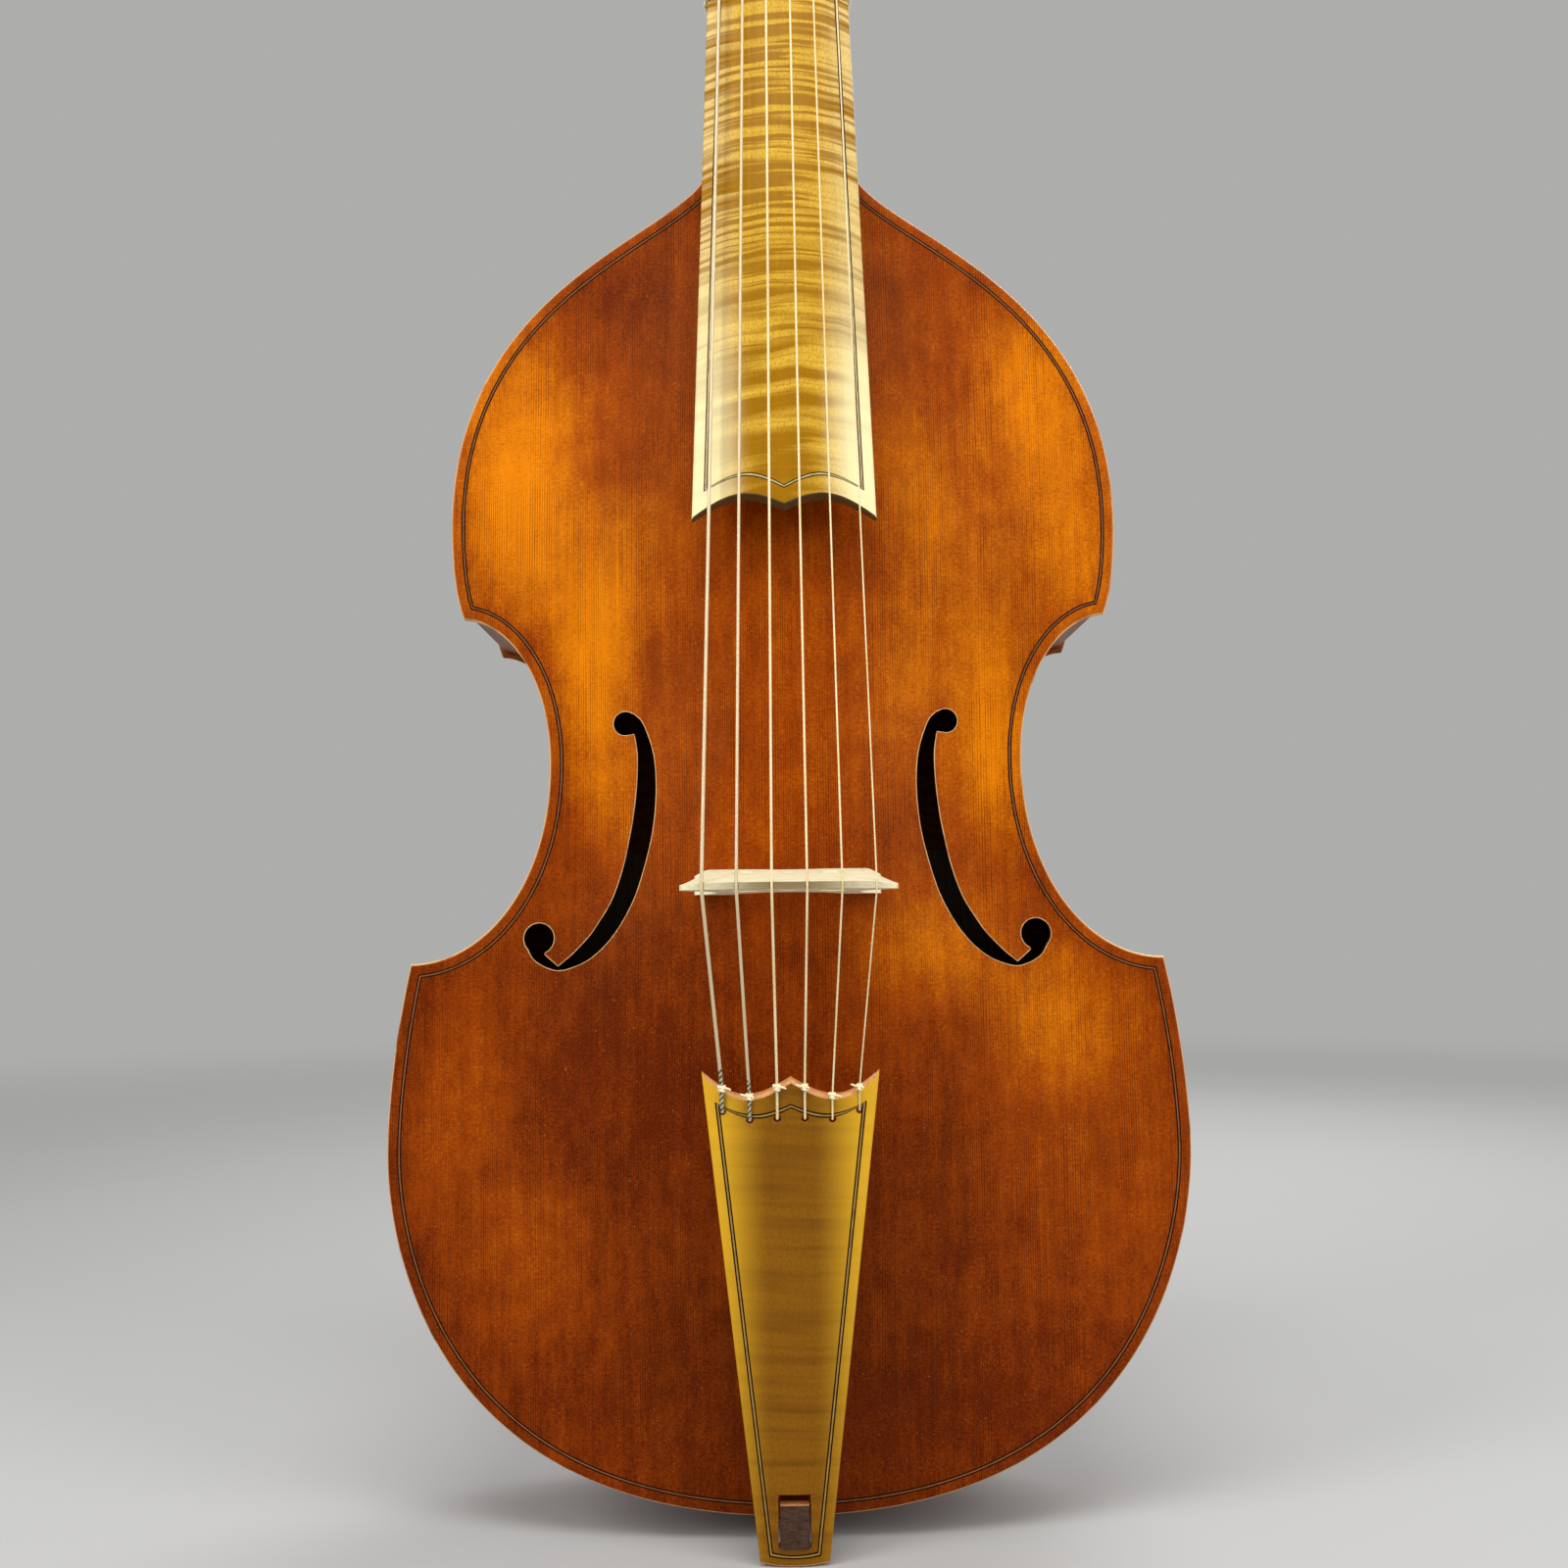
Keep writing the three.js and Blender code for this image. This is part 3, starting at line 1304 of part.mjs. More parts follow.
function grownHull(hull, distance) {
  const count = hull.length;
  const outward = (a, b) => {
    const length = Math.hypot(b.x - a.x, b.y - a.y);
    return { x: (b.y - a.y) / length, y: -(b.x - a.x) / length };
  };
  return hull.map((p, i) => {
    const before = outward(hull[(i + count - 1) % count], p);
    const after = outward(p, hull[(i + 1) % count]);
    const scale = distance / (1 + before.x * after.x + before.y * after.y);
    return new THREE.Vector2(p.x + (before.x + after.x) * scale, p.y + (before.y + after.y) * scale);
  });
}

const fretHeight = (n) => {
  const scale = nutHeight - bridge.tailFace - bridge.topThickness / 2;
  return nutHeight - scale * (1 - 2 ** (-n / semitonesPerOctave));
};

function makeFrets() {
  for (const n of range(fretCount).map((k) => k + 1)) {
    const z = fretHeight(n);
    const half = boardHalfWidth(z);
    const crownPoints = range(stripColumns / 2 + 1).map((k) => {
      const x = mix(-half, half, (2 * k) / stripColumns);
      return { x, y: boardFront(x, z) };
    });
    const under = [-half, half].map((x) => ({ x, y: boardUnder(x, z) }));
    const hull = convexHull([...crownPoints, ...under, ...neckSection(z)]);
    const loop = grownHull(hull, clearance + fret.diameter / 2).map((p) => point(p.x, p.y, z));
    addPiece(`fret_${n}`, tubeAlong(loop, fret.diameter / 2, fretSides, true), 'gut');
  }
}

makeBelly();
makeBack();
makeRibs();
makeEndBlock();
makeNeckBlock();
makeCornerBlocks();
makeInside();
makeFingerboard();
makeNeck();
makeBridge();
makeNut();
makeTailpiece();
makeHookBar();
makeHead();
makePegs();
makeStrings();
makeFrets();

export default root;
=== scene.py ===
"""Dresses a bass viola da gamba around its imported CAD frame.

Sizes are in millimetres until a mesh is made. X runs to the treble side, Y from the belly to
the back and Z up the neck. Heights are measured from the lowest point of the body's outline,
and every mesh is lifted by the drop of the hook bar, as in the part's source.
"""
import logging
import math
from dataclasses import dataclass
from enum import Enum
from functools import reduce
from typing import Any, Callable, Iterable, Optional, Sequence

import bpy
import numpy as np
from mathutils import Matrix, Vector
from mathutils.geometry import tessellate_polygon


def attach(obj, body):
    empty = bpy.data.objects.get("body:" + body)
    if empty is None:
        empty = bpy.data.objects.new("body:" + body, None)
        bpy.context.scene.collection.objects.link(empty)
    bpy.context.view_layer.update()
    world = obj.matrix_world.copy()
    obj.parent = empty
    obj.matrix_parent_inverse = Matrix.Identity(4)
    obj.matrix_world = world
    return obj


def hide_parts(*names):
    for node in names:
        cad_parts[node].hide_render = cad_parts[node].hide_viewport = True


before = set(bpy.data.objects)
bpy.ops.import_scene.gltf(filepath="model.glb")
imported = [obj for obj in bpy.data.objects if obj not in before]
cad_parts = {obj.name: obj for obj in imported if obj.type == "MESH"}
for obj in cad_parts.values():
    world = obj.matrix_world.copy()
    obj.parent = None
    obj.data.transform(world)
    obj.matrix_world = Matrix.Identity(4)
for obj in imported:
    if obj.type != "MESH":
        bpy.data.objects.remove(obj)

log = logging.getLogger("viol")

Array = np.ndarray
Depth = Callable[[Array, Array], Array]

MM = 0.001
PER_METRE = 1000.0
LIFT = 9.5
CLEARANCE = 0.3
MIRROR = np.array([-1, 1])
WELD = 0.001


class Body(Enum):
    """Moving bodies of the frame; pegs and frets take their number."""

    INSTRUMENT = "instrument"
    PEG = "peg_{}_body"
    FRET = "fret_{}_body"

    def named(self, number: int = 0) -> str:
        """Name of the body in the record."""
        return self.value.format(number)


class Slot(Enum):
    """Material slots of the record."""

    BELLY = "belly_varnish"
    RIB = "rib_varnish"
    SPRUCE = "bare_spruce"
    PALE = "pale_maple"
    BRIDGE = "bridge_maple"
    DARK = "dark_wood"
    GUT = "gut"
    WOUND = "wound_gut"


class Side(Enum):
    """Bass side on the left of the player's view, treble side on the right."""

    BASS = -1
    TREBLE = 1


# Numbers and curves


def ease(t: Array) -> Array:
    """Smooth step from 0 to 1: three t squared less two t cubed."""
    t = np.clip(t, 0.0, 1.0)
    return t * t * (3.0 - 2.0 * t)


def mix(a: Any, b: Any, t: Any) -> Any:
    """Straight line from a to b."""
    return a + (b - a) * t


def unit(v: Array) -> Array:
    """Vectors along the last axis, each divided by its length."""
    return v / np.linalg.norm(v, axis=-1, keepdims=True)


def sag(x: Array, radius: float) -> Array:
    """Fall of a circle below its crown: radius less the root of radius squared less x squared."""
    return radius - np.sqrt(radius * radius - x * x)


def spaced(low: float, high: float, count: int) -> Array:
    """Evenly spaced numbers, both ends included."""
    return np.linspace(low, high, count)


def points(*parts: Any) -> Array:
    """Places from their coordinates, spread over each other first."""
    return np.stack(np.broadcast_arrays(*parts), -1)


def circle(count: int) -> Array:
    """Angles of a full turn in equal steps."""
    return 2 * np.pi * np.arange(count) / count


def spline(through: Array, per_span: int, closed: bool = False) -> Array:
    """Uniform Catmull-Rom curve through points.

    Each span blends its two ends and their neighbours by the usual cubic weights.

    Args:
        through: Places of the curve, one row each.
        per_span: Samples on each span.
        closed: Whether the last point runs on to the first.

    Returns:
        The sampled places, one row each.
    """
    p = np.asarray(through, float)
    if closed:
        ring = np.concatenate([p[-1:], p, p[:2]])
    else:
        ring = np.concatenate([p[:1], p, p[-1:]])
    a, b, c, d = ring[:-3, None], ring[1:-2, None], ring[2:-1, None], ring[3:, None]
    t = (np.arange(per_span) / per_span)[None, :, None]
    curve = 0.5 * (
        2 * b + (c - a) * t + (2 * a - 5 * b + 4 * c - d) * t**2 + (3 * b - a - 3 * c + d) * t**3
    )
    curve = curve.reshape(-1, p.shape[1])
    return curve if closed else np.concatenate([curve, p[-1:]])


def scallop(across: Array, centre: float, turn: float, corner: float, turn_share: float) -> Array:
    """End line with a cusp in the middle.

    A sine arc runs from the cusp to the turn and a cosine arc from the turn to the corner.

    Args:
        across: Place across the end, from -1 to 1.
        centre: Height of the cusp.
        turn: Height where the two arcs meet.
        corner: Height of the outer corners.
        turn_share: Share of the half width where the arcs meet.

    Returns:
        Heights of the end line.
    """
    s = np.abs(across)
    inner = turn + (centre - turn) * (
        1 - np.sin(np.pi * np.minimum(s, turn_share) / turn_share / 2)
    )
    outward = np.maximum(s - turn_share, 0) / (1 - turn_share)
    outer = turn + (corner - turn) * (1 - np.cos(np.pi * outward / 2))
    return np.where(s < turn_share, inner, outer)


# Meshes


@dataclass
class Shape:
    """Faces over vertices in millimetres, before they become a Blender mesh.

    A face has four corners, and one that repeats a corner is a triangle.
    """

    vertices: Array
    faces: Array
    uv: Array
    finish: Array

    @classmethod
    def grid(
        cls,
        places: Array,
        loop_rows: bool = False,
        loop_columns: bool = False,
        across: Optional[Array] = None,
    ) -> "Shape":
        """Surface over a grid of places, with a UV of lengths along rows and columns.

        Args:
            places: Array of rows by columns by three.
            loop_rows: Whether the last row joins the first.
            loop_columns: Whether the last column joins the first.
            across: Values of V for the columns, in place of their lengths.

        Returns:
            The surface.
        """
        rows, columns = places.shape[:2]
        i = np.arange(rows if loop_rows else rows - 1)[:, None]
        j = np.arange(columns if loop_columns else columns - 1)[None, :]
        at = lambda a, b: (a % rows) * columns + (b % columns)
        corners = [(i, j), (i, j + 1), (i + 1, j + 1), (i + 1, j)]
        faces = np.stack([at(a, b) for a, b in corners], -1).reshape(-1, 4)
        step_u = np.linalg.norm(np.roll(places, -1, 0) - places, axis=2).mean(1)
        step_v = np.linalg.norm(np.roll(places, -1, 1) - places, axis=2).mean(0)
        u = np.append(0.0, np.cumsum(step_u))
        v = np.append(0.0, np.cumsum(step_v)) if across is None else np.asarray(across, float)
        uv = np.stack(
            [points(u[a] + 0 * b, v[b] + 0 * a) for a, b in corners], -2
        ).reshape(-1, 4, 2)
        return cls(places.reshape(-1, 3), faces, uv, np.zeros(len(faces), int))

    @classmethod
    def fan(cls, ring: Array) -> "Shape":
        """Cap of triangles from a ring of points to their middle."""
        count = len(ring)
        k = np.arange(count)
        centre = np.full(count, count)
        faces = points(k, (k + 1) % count, centre, centre)
        vertices = np.concatenate([ring, ring.mean(0)[None]])
        return cls(vertices, faces, np.zeros((count, 4, 2)), np.zeros(count, int))

    @classmethod
    def patch(cls, contour: Array) -> "Shape":
        """Flat cap over a contour that may be concave."""
        triangles = np.array(tessellate_polygon([[Vector(p) for p in contour]]))
        faces = np.concatenate([triangles, triangles[:, 2:]], 1)
        return cls(contour, faces, np.zeros((len(faces), 4, 2)), np.zeros(len(faces), int))

    def __add__(self, other: "Shape") -> "Shape":
        """Both shapes in one."""
        return Shape(
            np.concatenate([self.vertices, other.vertices]),
            np.concatenate([self.faces, other.faces + len(self.vertices)]),
            np.concatenate([self.uv, other.uv]),
            np.concatenate([self.finish, other.finish]),
        )

    def flipped(self) -> "Shape":
        """The shape with its faces turned over."""
        return Shape(self.vertices, self.faces[:, ::-1], self.uv[:, ::-1], self.finish)

    def moved(self, change: Callable[[Array], Array]) -> "Shape":
        """The shape with its vertices sent through a function."""
        return Shape(change(self.vertices), self.faces, self.uv, self.finish)

    def closed(self) -> "Shape":
        """The shape with its doubles merged and its faces turned outward.

        The signed volume, a sixth of the sum of each face's triple products, tells which way
        the faces look.
        """
        keys = np.round(self.vertices / WELD).astype(np.int64)
        _, first, where = np.unique(keys, axis=0, return_index=True, return_inverse=True)
        shape = Shape(self.vertices[first], where.ravel()[self.faces], self.uv, self.finish)
        a, b, c, d = (shape.vertices[shape.faces[:, k]] for k in range(4))
        volume = (np.cross(b, c) * a).sum() + (np.cross(c, d) * a).sum()
        return shape if volume > 0 else shape.flipped()

    def mesh(self, name: str) -> bpy.types.Mesh:
        """Blender mesh in metres, lifted to the frame's own heights.

        Args:
            name: Name of the mesh.

        Returns:
            The mesh.
        """
        keep = self.faces != np.roll(self.faces, -1, axis=1)
        corners = keep.sum(1)
        loops, uvs, starts, finishes, at = [], [], [], [], 0
        for size in (4, 3):
            rows = corners == size
            loops.append(self.faces[rows][keep[rows]])
            uvs.append(self.uv[rows][keep[rows]])
            finishes.append(self.finish[rows])
            starts.append(at + size * np.arange(rows.sum()))
            at += size * int(rows.sum())
        mesh = bpy.data.meshes.new(name)
        mesh.vertices.add(len(self.vertices))
        places = (self.vertices + np.array([0.0, 0.0, LIFT])) * MM
        mesh.vertices.foreach_set("co", places.ravel())
        mesh.loops.add(at)
        mesh.loops.foreach_set("vertex_index", np.concatenate(loops).astype(np.int32))
        mesh.polygons.add(sum(len(s) for s in starts))
        mesh.polygons.foreach_set("loop_start", np.concatenate(starts).astype(np.int32))
        mesh.polygons.foreach_set("material_index", np.concatenate(finishes).astype(np.int32))
        layer = mesh.uv_layers.new(name="UVMap")
        layer.data.foreach_set("uv", np.concatenate(uvs).ravel())
        mesh.update(calc_edges=True)
        mesh.validate()
        return mesh


SHARP_ANGLE = math.radians(38)
ROUND_ANGLE = math.radians(80)


def soften(mesh: bpy.types.Mesh, angle: float = SHARP_ANGLE) -> None:
    """Shades a mesh smooth and keeps the edges sharper than an angle crisp."""
    mesh.shade_smooth()
    mesh.set_sharp_from_angle(angle=angle)


def loft(
    rings: Array,
    cap: Callable[[Array], Shape] = Shape.fan,
    closed: bool = False,
    across: Optional[Array] = None,
) -> Shape:
    """Closed shape through rings of as many points.

    Args:
        rings: Array of rings by points by three.
        cap: Makes the face over an end.
        closed: Whether the last ring joins the first, which leaves no ends.
        across: Values of V round a ring, in place of its lengths.

    Returns:
        The closed shape.
    """
    body = Shape.grid(rings, loop_rows=closed, loop_columns=True, across=across)
    if not closed:
        body = body + cap(rings[0]).flipped() + cap(rings[-1])
    return body.closed()


def tube(
    path: Array, radius: Any, sides: int, reference: Sequence[float], closed: bool = False,
) -> Shape:
    """Round tube carried along a path.

    Each ring lies across the path's direction, and starts from the part of a reference vector
    that is square to it.

    Args:
        path: Points of the centre line.
        radius: One radius, or one for each point.
        sides: Corners of a ring.
        reference: Vector that is nowhere in line with the path.
        closed: Whether the path is a loop.

    Returns:
        The closed tube.
    """
    along = unit(
        np.roll(path, -1, 0) - np.roll(path, 1, 0) if closed else np.gradient(path, axis=0)
    )
    ref = np.asarray(reference, float)
    normal = unit(ref - along * (along @ ref)[:, None])
    side = np.cross(along, normal)
    angle = circle(sides)[None, :, None]
    wide = np.broadcast_to(np.asarray(radius, float), (len(path),))[:, None, None]
    ring = normal[:, None] * np.cos(angle) + side[:, None] * np.sin(angle)
    return loft(path[:, None] + wide * ring, closed=closed)


def prism(contour: Array, place: Callable[[Array, float], Array], steps: int = 1) -> Shape:
    """Contour carried from one end to the other.

    Args:
        contour: Points of the outline in its own plane, one row of two each.
        place: Gives the places of the contour for a share from 0 to 1.
        steps: Number of stretches between the ends.

    Returns:
        The closed prism.
    """
    return loft(np.stack([place(contour, k / steps) for k in range(steps + 1)]), Shape.patch)


def slab(
    plan: Callable[[Array, Array], tuple[Array, Array]],
    front: Depth,
    rear: Depth,
    size: tuple[float, float],
    cells: tuple[int, int],
    rim: float,
    top_rim: Optional[float] = None,
) -> Shape:
    """Plate between two depths, over a plan of two parameters, with a rounded rim.

    The front and the rear are grids of the plan drawn in by the rim. The wall joins them along
    a quarter circle, the plan's own edge and another quarter circle.

    Args:
        plan: Gives x and z for the parameters u and v, each from 0 to 1.
        front: Depth of the front for x and z.
        rear: Depth of the rear for x and z.
        size: Rough width and height, which turn the rim into parameters.
        cells: Number of cells across and up.
        rim: Radius of the rounded edge.
        top_rim: Radius of the front edge at the top end, where it differs.

    Returns:
        The closed plate. Its walls at both ends take the second material.
    """
    around = lambda grid: np.concatenate(
        [grid[0, :-1], grid[:-1, -1], grid[-1, :0:-1], grid[:0:-1, 0]]
    )
    shares = [spaced(0, 1, count + 1) for count in cells]
    ring_u, ring_v = (around(g) for g in np.meshgrid(*shares))
    at_top = ring_v == 1
    surfaces, rows = [], []
    for depth, sense, top in ((front, 1, top_rim or rim), (rear, -1, rim)):
        draw_u, low, high = rim / size[0], rim / size[1], top / size[1]
        up = spaced(low, 1 - high, cells[1] + 1)
        u, v = np.meshgrid(spaced(draw_u, 1 - draw_u, cells[0] + 1), up)
        x, z = plan(u, v)
        surfaces.append(Shape.grid(points(x, depth(x, z), z)))
        own = np.where(at_top, top, rim)
        turn = spaced(0, np.pi / 2, 6)
        for a in turn[::sense]:
            draw = 1 - np.sin(a)
            x, z = plan(mix(ring_u, around(u), draw), mix(ring_v, around(v), draw))
            rows.append(points(x, depth(x, z) + sense * own * (1 - np.cos(a)), z))
    wall = Shape.grid(np.stack(rows), loop_columns=True)
    column = np.arange(len(wall.faces)) % len(ring_u)
    stops = np.cumsum([0, cells[0], cells[1], cells[0], cells[1]])
    wall.finish[(column < stops[1]) | ((column >= stops[2]) & (column < stops[3]))] = 1
    return (surfaces[0].flipped() + surfaces[1] + wall).closed()


def ribbon(outer: Array, inner: Array, surface: Depth, closed: bool = False) -> Shape:
    """Inlaid strip between two lines on a surface.

    V runs from 0 at the outer line to 1 at the inner one, and U is the length in millimetres.

    Args:
        outer: Points x and z of one edge.
        inner: As many points of the other edge.
        surface: Depth of the surface that carries the strip.
        closed: Whether the strip is a loop.

    Returns:
        The closed strip, sunk into its surface.
    """
    proud, sunk = 0.05, 0.6
    middle = (outer + inner) / 2
    lines = [
        (outer, -proud * 0.2), (middle, -proud), (inner, -proud * 0.2), (inner, sunk), (outer, sunk),
    ]
    rings = np.stack([points(l[:, 0], surface(l[:, 0], l[:, 1]) + d, l[:, 1]) for l, d in lines], 1)
    return loft(rings, closed=closed, across=[0.0, 0.5, 1.0, 1.0, 0.0, 0.0])


def joined(parts: Iterable[Shape]) -> Shape:
    """All parts in one shape."""
    return reduce(Shape.__add__, parts)


def linked(name: str, data: Any) -> bpy.types.Object:
    """New object in the scene."""
    obj = bpy.data.objects.new(name, data)
    bpy.context.scene.collection.objects.link(obj)
    return obj


class Bench:
    """Puts shapes into the scene as finished objects."""

    @staticmethod
    def piece(
        name: str,
        shape: Shape,
        finishes: Sequence["Finish"],
        replaces: Iterable[str] = (),
        body: str = Body.INSTRUMENT.value,
        cutters: Sequence[Shape] = (),
        bevel: float = 0.0,
        cut_finish: Optional["Finish"] = None,
        angle: float = SHARP_ANGLE,
    ) -> bpy.types.Object:
        """Makes one piece of the scene.

        Args:
            name: Name of the object.
            shape: Its faces.
            finishes: Its materials, in the order of the shape's indices.
            replaces: CAD nodes that it stands for.
            body: CAD body that it rides on.
            cutters: Closed shapes that are taken out of it.
            bevel: Width of a rounding over its sharp edges.
            cut_finish: Finish of the cut walls.
            angle: Angle over which an edge stays sharp.

        Returns:
            The object.
        """
        obj = linked(name, shape.mesh(name))
        for finish in finishes:
            obj.data.materials.append(finish.material())
        helpers = []
        for cutter in cutters:
            helper = linked(f"{name}_cutter", cutter.mesh(f"{name}_cutter"))
            helper.data.materials.append((cut_finish or finishes[0]).material())
            helpers.append(helper)
            cut = obj.modifiers.new("cut", "BOOLEAN")
            cut.operation, cut.solver, cut.object = "DIFFERENCE", "MANIFOLD", helper
            cut.material_mode = "TRANSFER"
        if bevel:
            rounding = obj.modifiers.new("rounding", "BEVEL")
            rounding.width, rounding.segments = bevel * MM, 3
            rounding.limit_method, rounding.angle_limit = "ANGLE", math.radians(40)
        if obj.modifiers:
            done = obj.evaluated_get(bpy.context.evaluated_depsgraph_get())
            mesh = bpy.data.meshes.new_from_object(done)
            obj.modifiers.clear()
            obj.data = mesh
        for helper in helpers:
            bpy.data.objects.remove(helper)
        soften(obj.data, angle)
        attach(obj, body)
        nodes = list(replaces)
        if nodes:
            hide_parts(*nodes)
        log.info("%s: %d faces", name, len(obj.data.polygons))
        return obj

    @staticmethod
    def dress(node: str, finish: "Finish") -> None:
        """Gives a CAD node that stays its finish."""
        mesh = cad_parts[node].data
        mesh.materials.clear()
        mesh.materials.append(finish.material())
        log.info("%s keeps its CAD shape", node)


# Materials


class Value:
    """A shader socket that takes part in arithmetic."""

    def __init__(self, graph: "Graph", socket: Optional[bpy.types.NodeSocket]) -> None:
        """Keeps the graph and the output socket."""
        self.graph, self.socket = graph, socket

    def output(self, key: Any) -> "Value":
        """Another output of the same node."""
        return Value(self.graph, self.socket.node.outputs[key])

    def math(self, operation: str, *others: Any) -> "Value":
        """Math node on this value and others."""
        return self.graph.node(
            "ShaderNodeMath", {"operation": operation}, dict(enumerate((self, *others))),
        )

    def __add__(self, other: Any) -> "Value":
        """Sum."""
        return self.math("ADD", other)

    __radd__ = __add__

    def __sub__(self, other: Any) -> "Value":
        """Difference."""
        return self.math("SUBTRACT", other)

    def __rsub__(self, other: Any) -> "Value":
        """Number less this value."""
        return (self * -1.0) + other

    def __mul__(self, other: Any) -> "Value":
        """Product."""
        return self.math("MULTIPLY", other)

    __rmul__ = __mul__

    def __truediv__(self, other: Any) -> "Value":
        """Quotient."""
        return self.math("DIVIDE", other)

    def __pow__(self, other: Any) -> "Value":
        """Power."""
        return self.math("POWER", other)

    def sine(self) -> "Value":
        """Sine."""
        return self.math("SINE")

    def size(self) -> "Value":
        """Distance from zero."""
        return self.math("ABSOLUTE")

    def step(self, low: float, high: float) -> "Value":
        """Smooth step from 0 at low to 1 at high."""
        settings = {"interpolation_type": "SMOOTHSTEP", "clamp": True}
        inputs = {0: self, 1: low, 2: high, 3: 0.0, 4: 1.0}
        return self.graph.node("ShaderNodeMapRange", settings, inputs)


class Graph:
    """Node tree of one material or of the world."""

    def __init__(self, holder: Any) -> None:
        """Empties the tree of a material or a world."""
        holder.use_nodes = True
        self.tree = holder.node_tree
        self.tree.nodes.clear()

    def node(
        self, kind: str, settings: Optional[dict] = None, inputs: Optional[dict] = None,
    ) -> Value:
        """Adds a node.

        Args:
            kind: Blender's name of the node's type.
            settings: Properties that are set first.
            inputs: Values or links for the sockets, by index or name.

        Returns:
            The node's first output, if it has one.
        """
        made = self.tree.nodes.new(kind)
        for key, value in (settings or {}).items():
            setattr(made, key, value)
        for key, value in (inputs or {}).items():
            if isinstance(value, Value):
                self.tree.links.new(value.socket, made.inputs[key])
            elif isinstance(value, tuple) and len(value) == 3 and made.inputs[key].type == "RGBA":
                made.inputs[key].default_value = (*value, 1.0)
            else:
                made.inputs[key].default_value = value
        return Value(self, next(iter(made.outputs), None))

    def place(self) -> Value:
        """Object coordinates in metres."""
        return self.node("ShaderNodeTexCoord").output("Object")

    def axes(self, vector: Value) -> tuple[Value, Value, Value]:
        """The three parts of a vector."""
        split = self.node("ShaderNodeSeparateXYZ", {}, {0: vector})
        return split, split.output(1), split.output(2)

    def uv(self) -> tuple[Value, Value]:
        """Lengths along and across the piece, in millimetres."""
        return self.axes(self.node("ShaderNodeUVMap", {"uv_map": "UVMap"}))[:2]

    def noise(self, vector: Value, scale: float, detail: float = 2.0, rough: float = 0.5) -> Value:
        """Noise from 0 to 1."""
        inputs = {"Vector": vector, "Scale": scale, "Detail": detail, "Roughness": rough}
        return self.node("ShaderNodeTexNoise", {}, inputs)

    def grain(self, x: Any, y: Any, z: Any, detail: float = 2.0, rough: float = 0.5) -> Value:
        """Noise over three coordinates that are stretched one by one."""
        return self.noise(
            self.node("ShaderNodeCombineXYZ", {}, {0: x, 1: y, 2: z}), 1.0, detail, rough,
        )

    def blend(self, a: Any, b: Any, factor: Any, kind: str = "MIX") -> Value:
        """Colour mixed from a to b by a factor."""
        settings = {"data_type": "RGBA", "clamp_factor": True, "blend_type": kind}
        return self.node("ShaderNodeMix", settings, {0: factor, 6: a, 7: b}).output(2)

    def tinted(self, a: Any, b: Any, factor: Any) -> Value:
        """Colour a multiplied by b, by a factor."""
        return self.blend(a, b, factor, "MULTIPLY")

    def bump(self, height: Value, depth_mm: float, strength: float = 1.0) -> Value:
        """Normal from a height of 0 to 1 that stands for a depth."""
        inputs = {"Height": height, "Distance": depth_mm * MM, "Strength": strength}
        return self.node("ShaderNodeBump", {}, inputs)

    def glow(self, x: Value, z: Value, spot: tuple[float, float, float, float]) -> Value:
        """Soft oval patch: 1 in the middle and 0 at its radii.

        Args:
            x: Place across, in millimetres.
            z: Height, in millimetres.
            spot: Middle x and z, and the two radii.

        Returns:
            The patch.
        """
        across, up = (x - spot[0]) / spot[2], (z - spot[1]) / spot[3]
        return 1.0 - ((across * across + up * up) ** 0.5).step(0.0, 1.0)

    def surface(self, colour: Any, roughness: Any, normal: Optional[Value], **fixed: Any) -> None:
        """Principled shader on the material's output.

        Args:
            colour: Base colour.
            roughness: Roughness.
            normal: Normal from a Bump node.
            fixed: Numbers set on the shader's own sockets, by name with underscores.
        """
        inputs = {"Base Color": colour, "Roughness": roughness}
        if normal is not None:
            inputs["Normal"] = normal
        inputs.update({key.replace("_", " "): value for key, value in fixed.items()})
        shader = self.node("ShaderNodeBsdfPrincipled", {}, inputs)
        self.node("ShaderNodeOutputMaterial", {}, {0: shader})


Colour = tuple[float, float, float]


@dataclass(frozen=True)
class Finish:
    """A finish that makes its material once."""

    name: str
    slot: Slot

    def material(self) -> bpy.types.Material:
        """The material, made when it is first asked for."""
        name = f"{self.name}_finish"
        material = bpy.data.materials.get(name)
        if material is None:
            material = bpy.data.materials.new(name)
            self.paint(Graph(material))
        return material

    def paint(self, graph: Graph) -> None:
        """Builds the nodes."""
        raise NotImplementedError


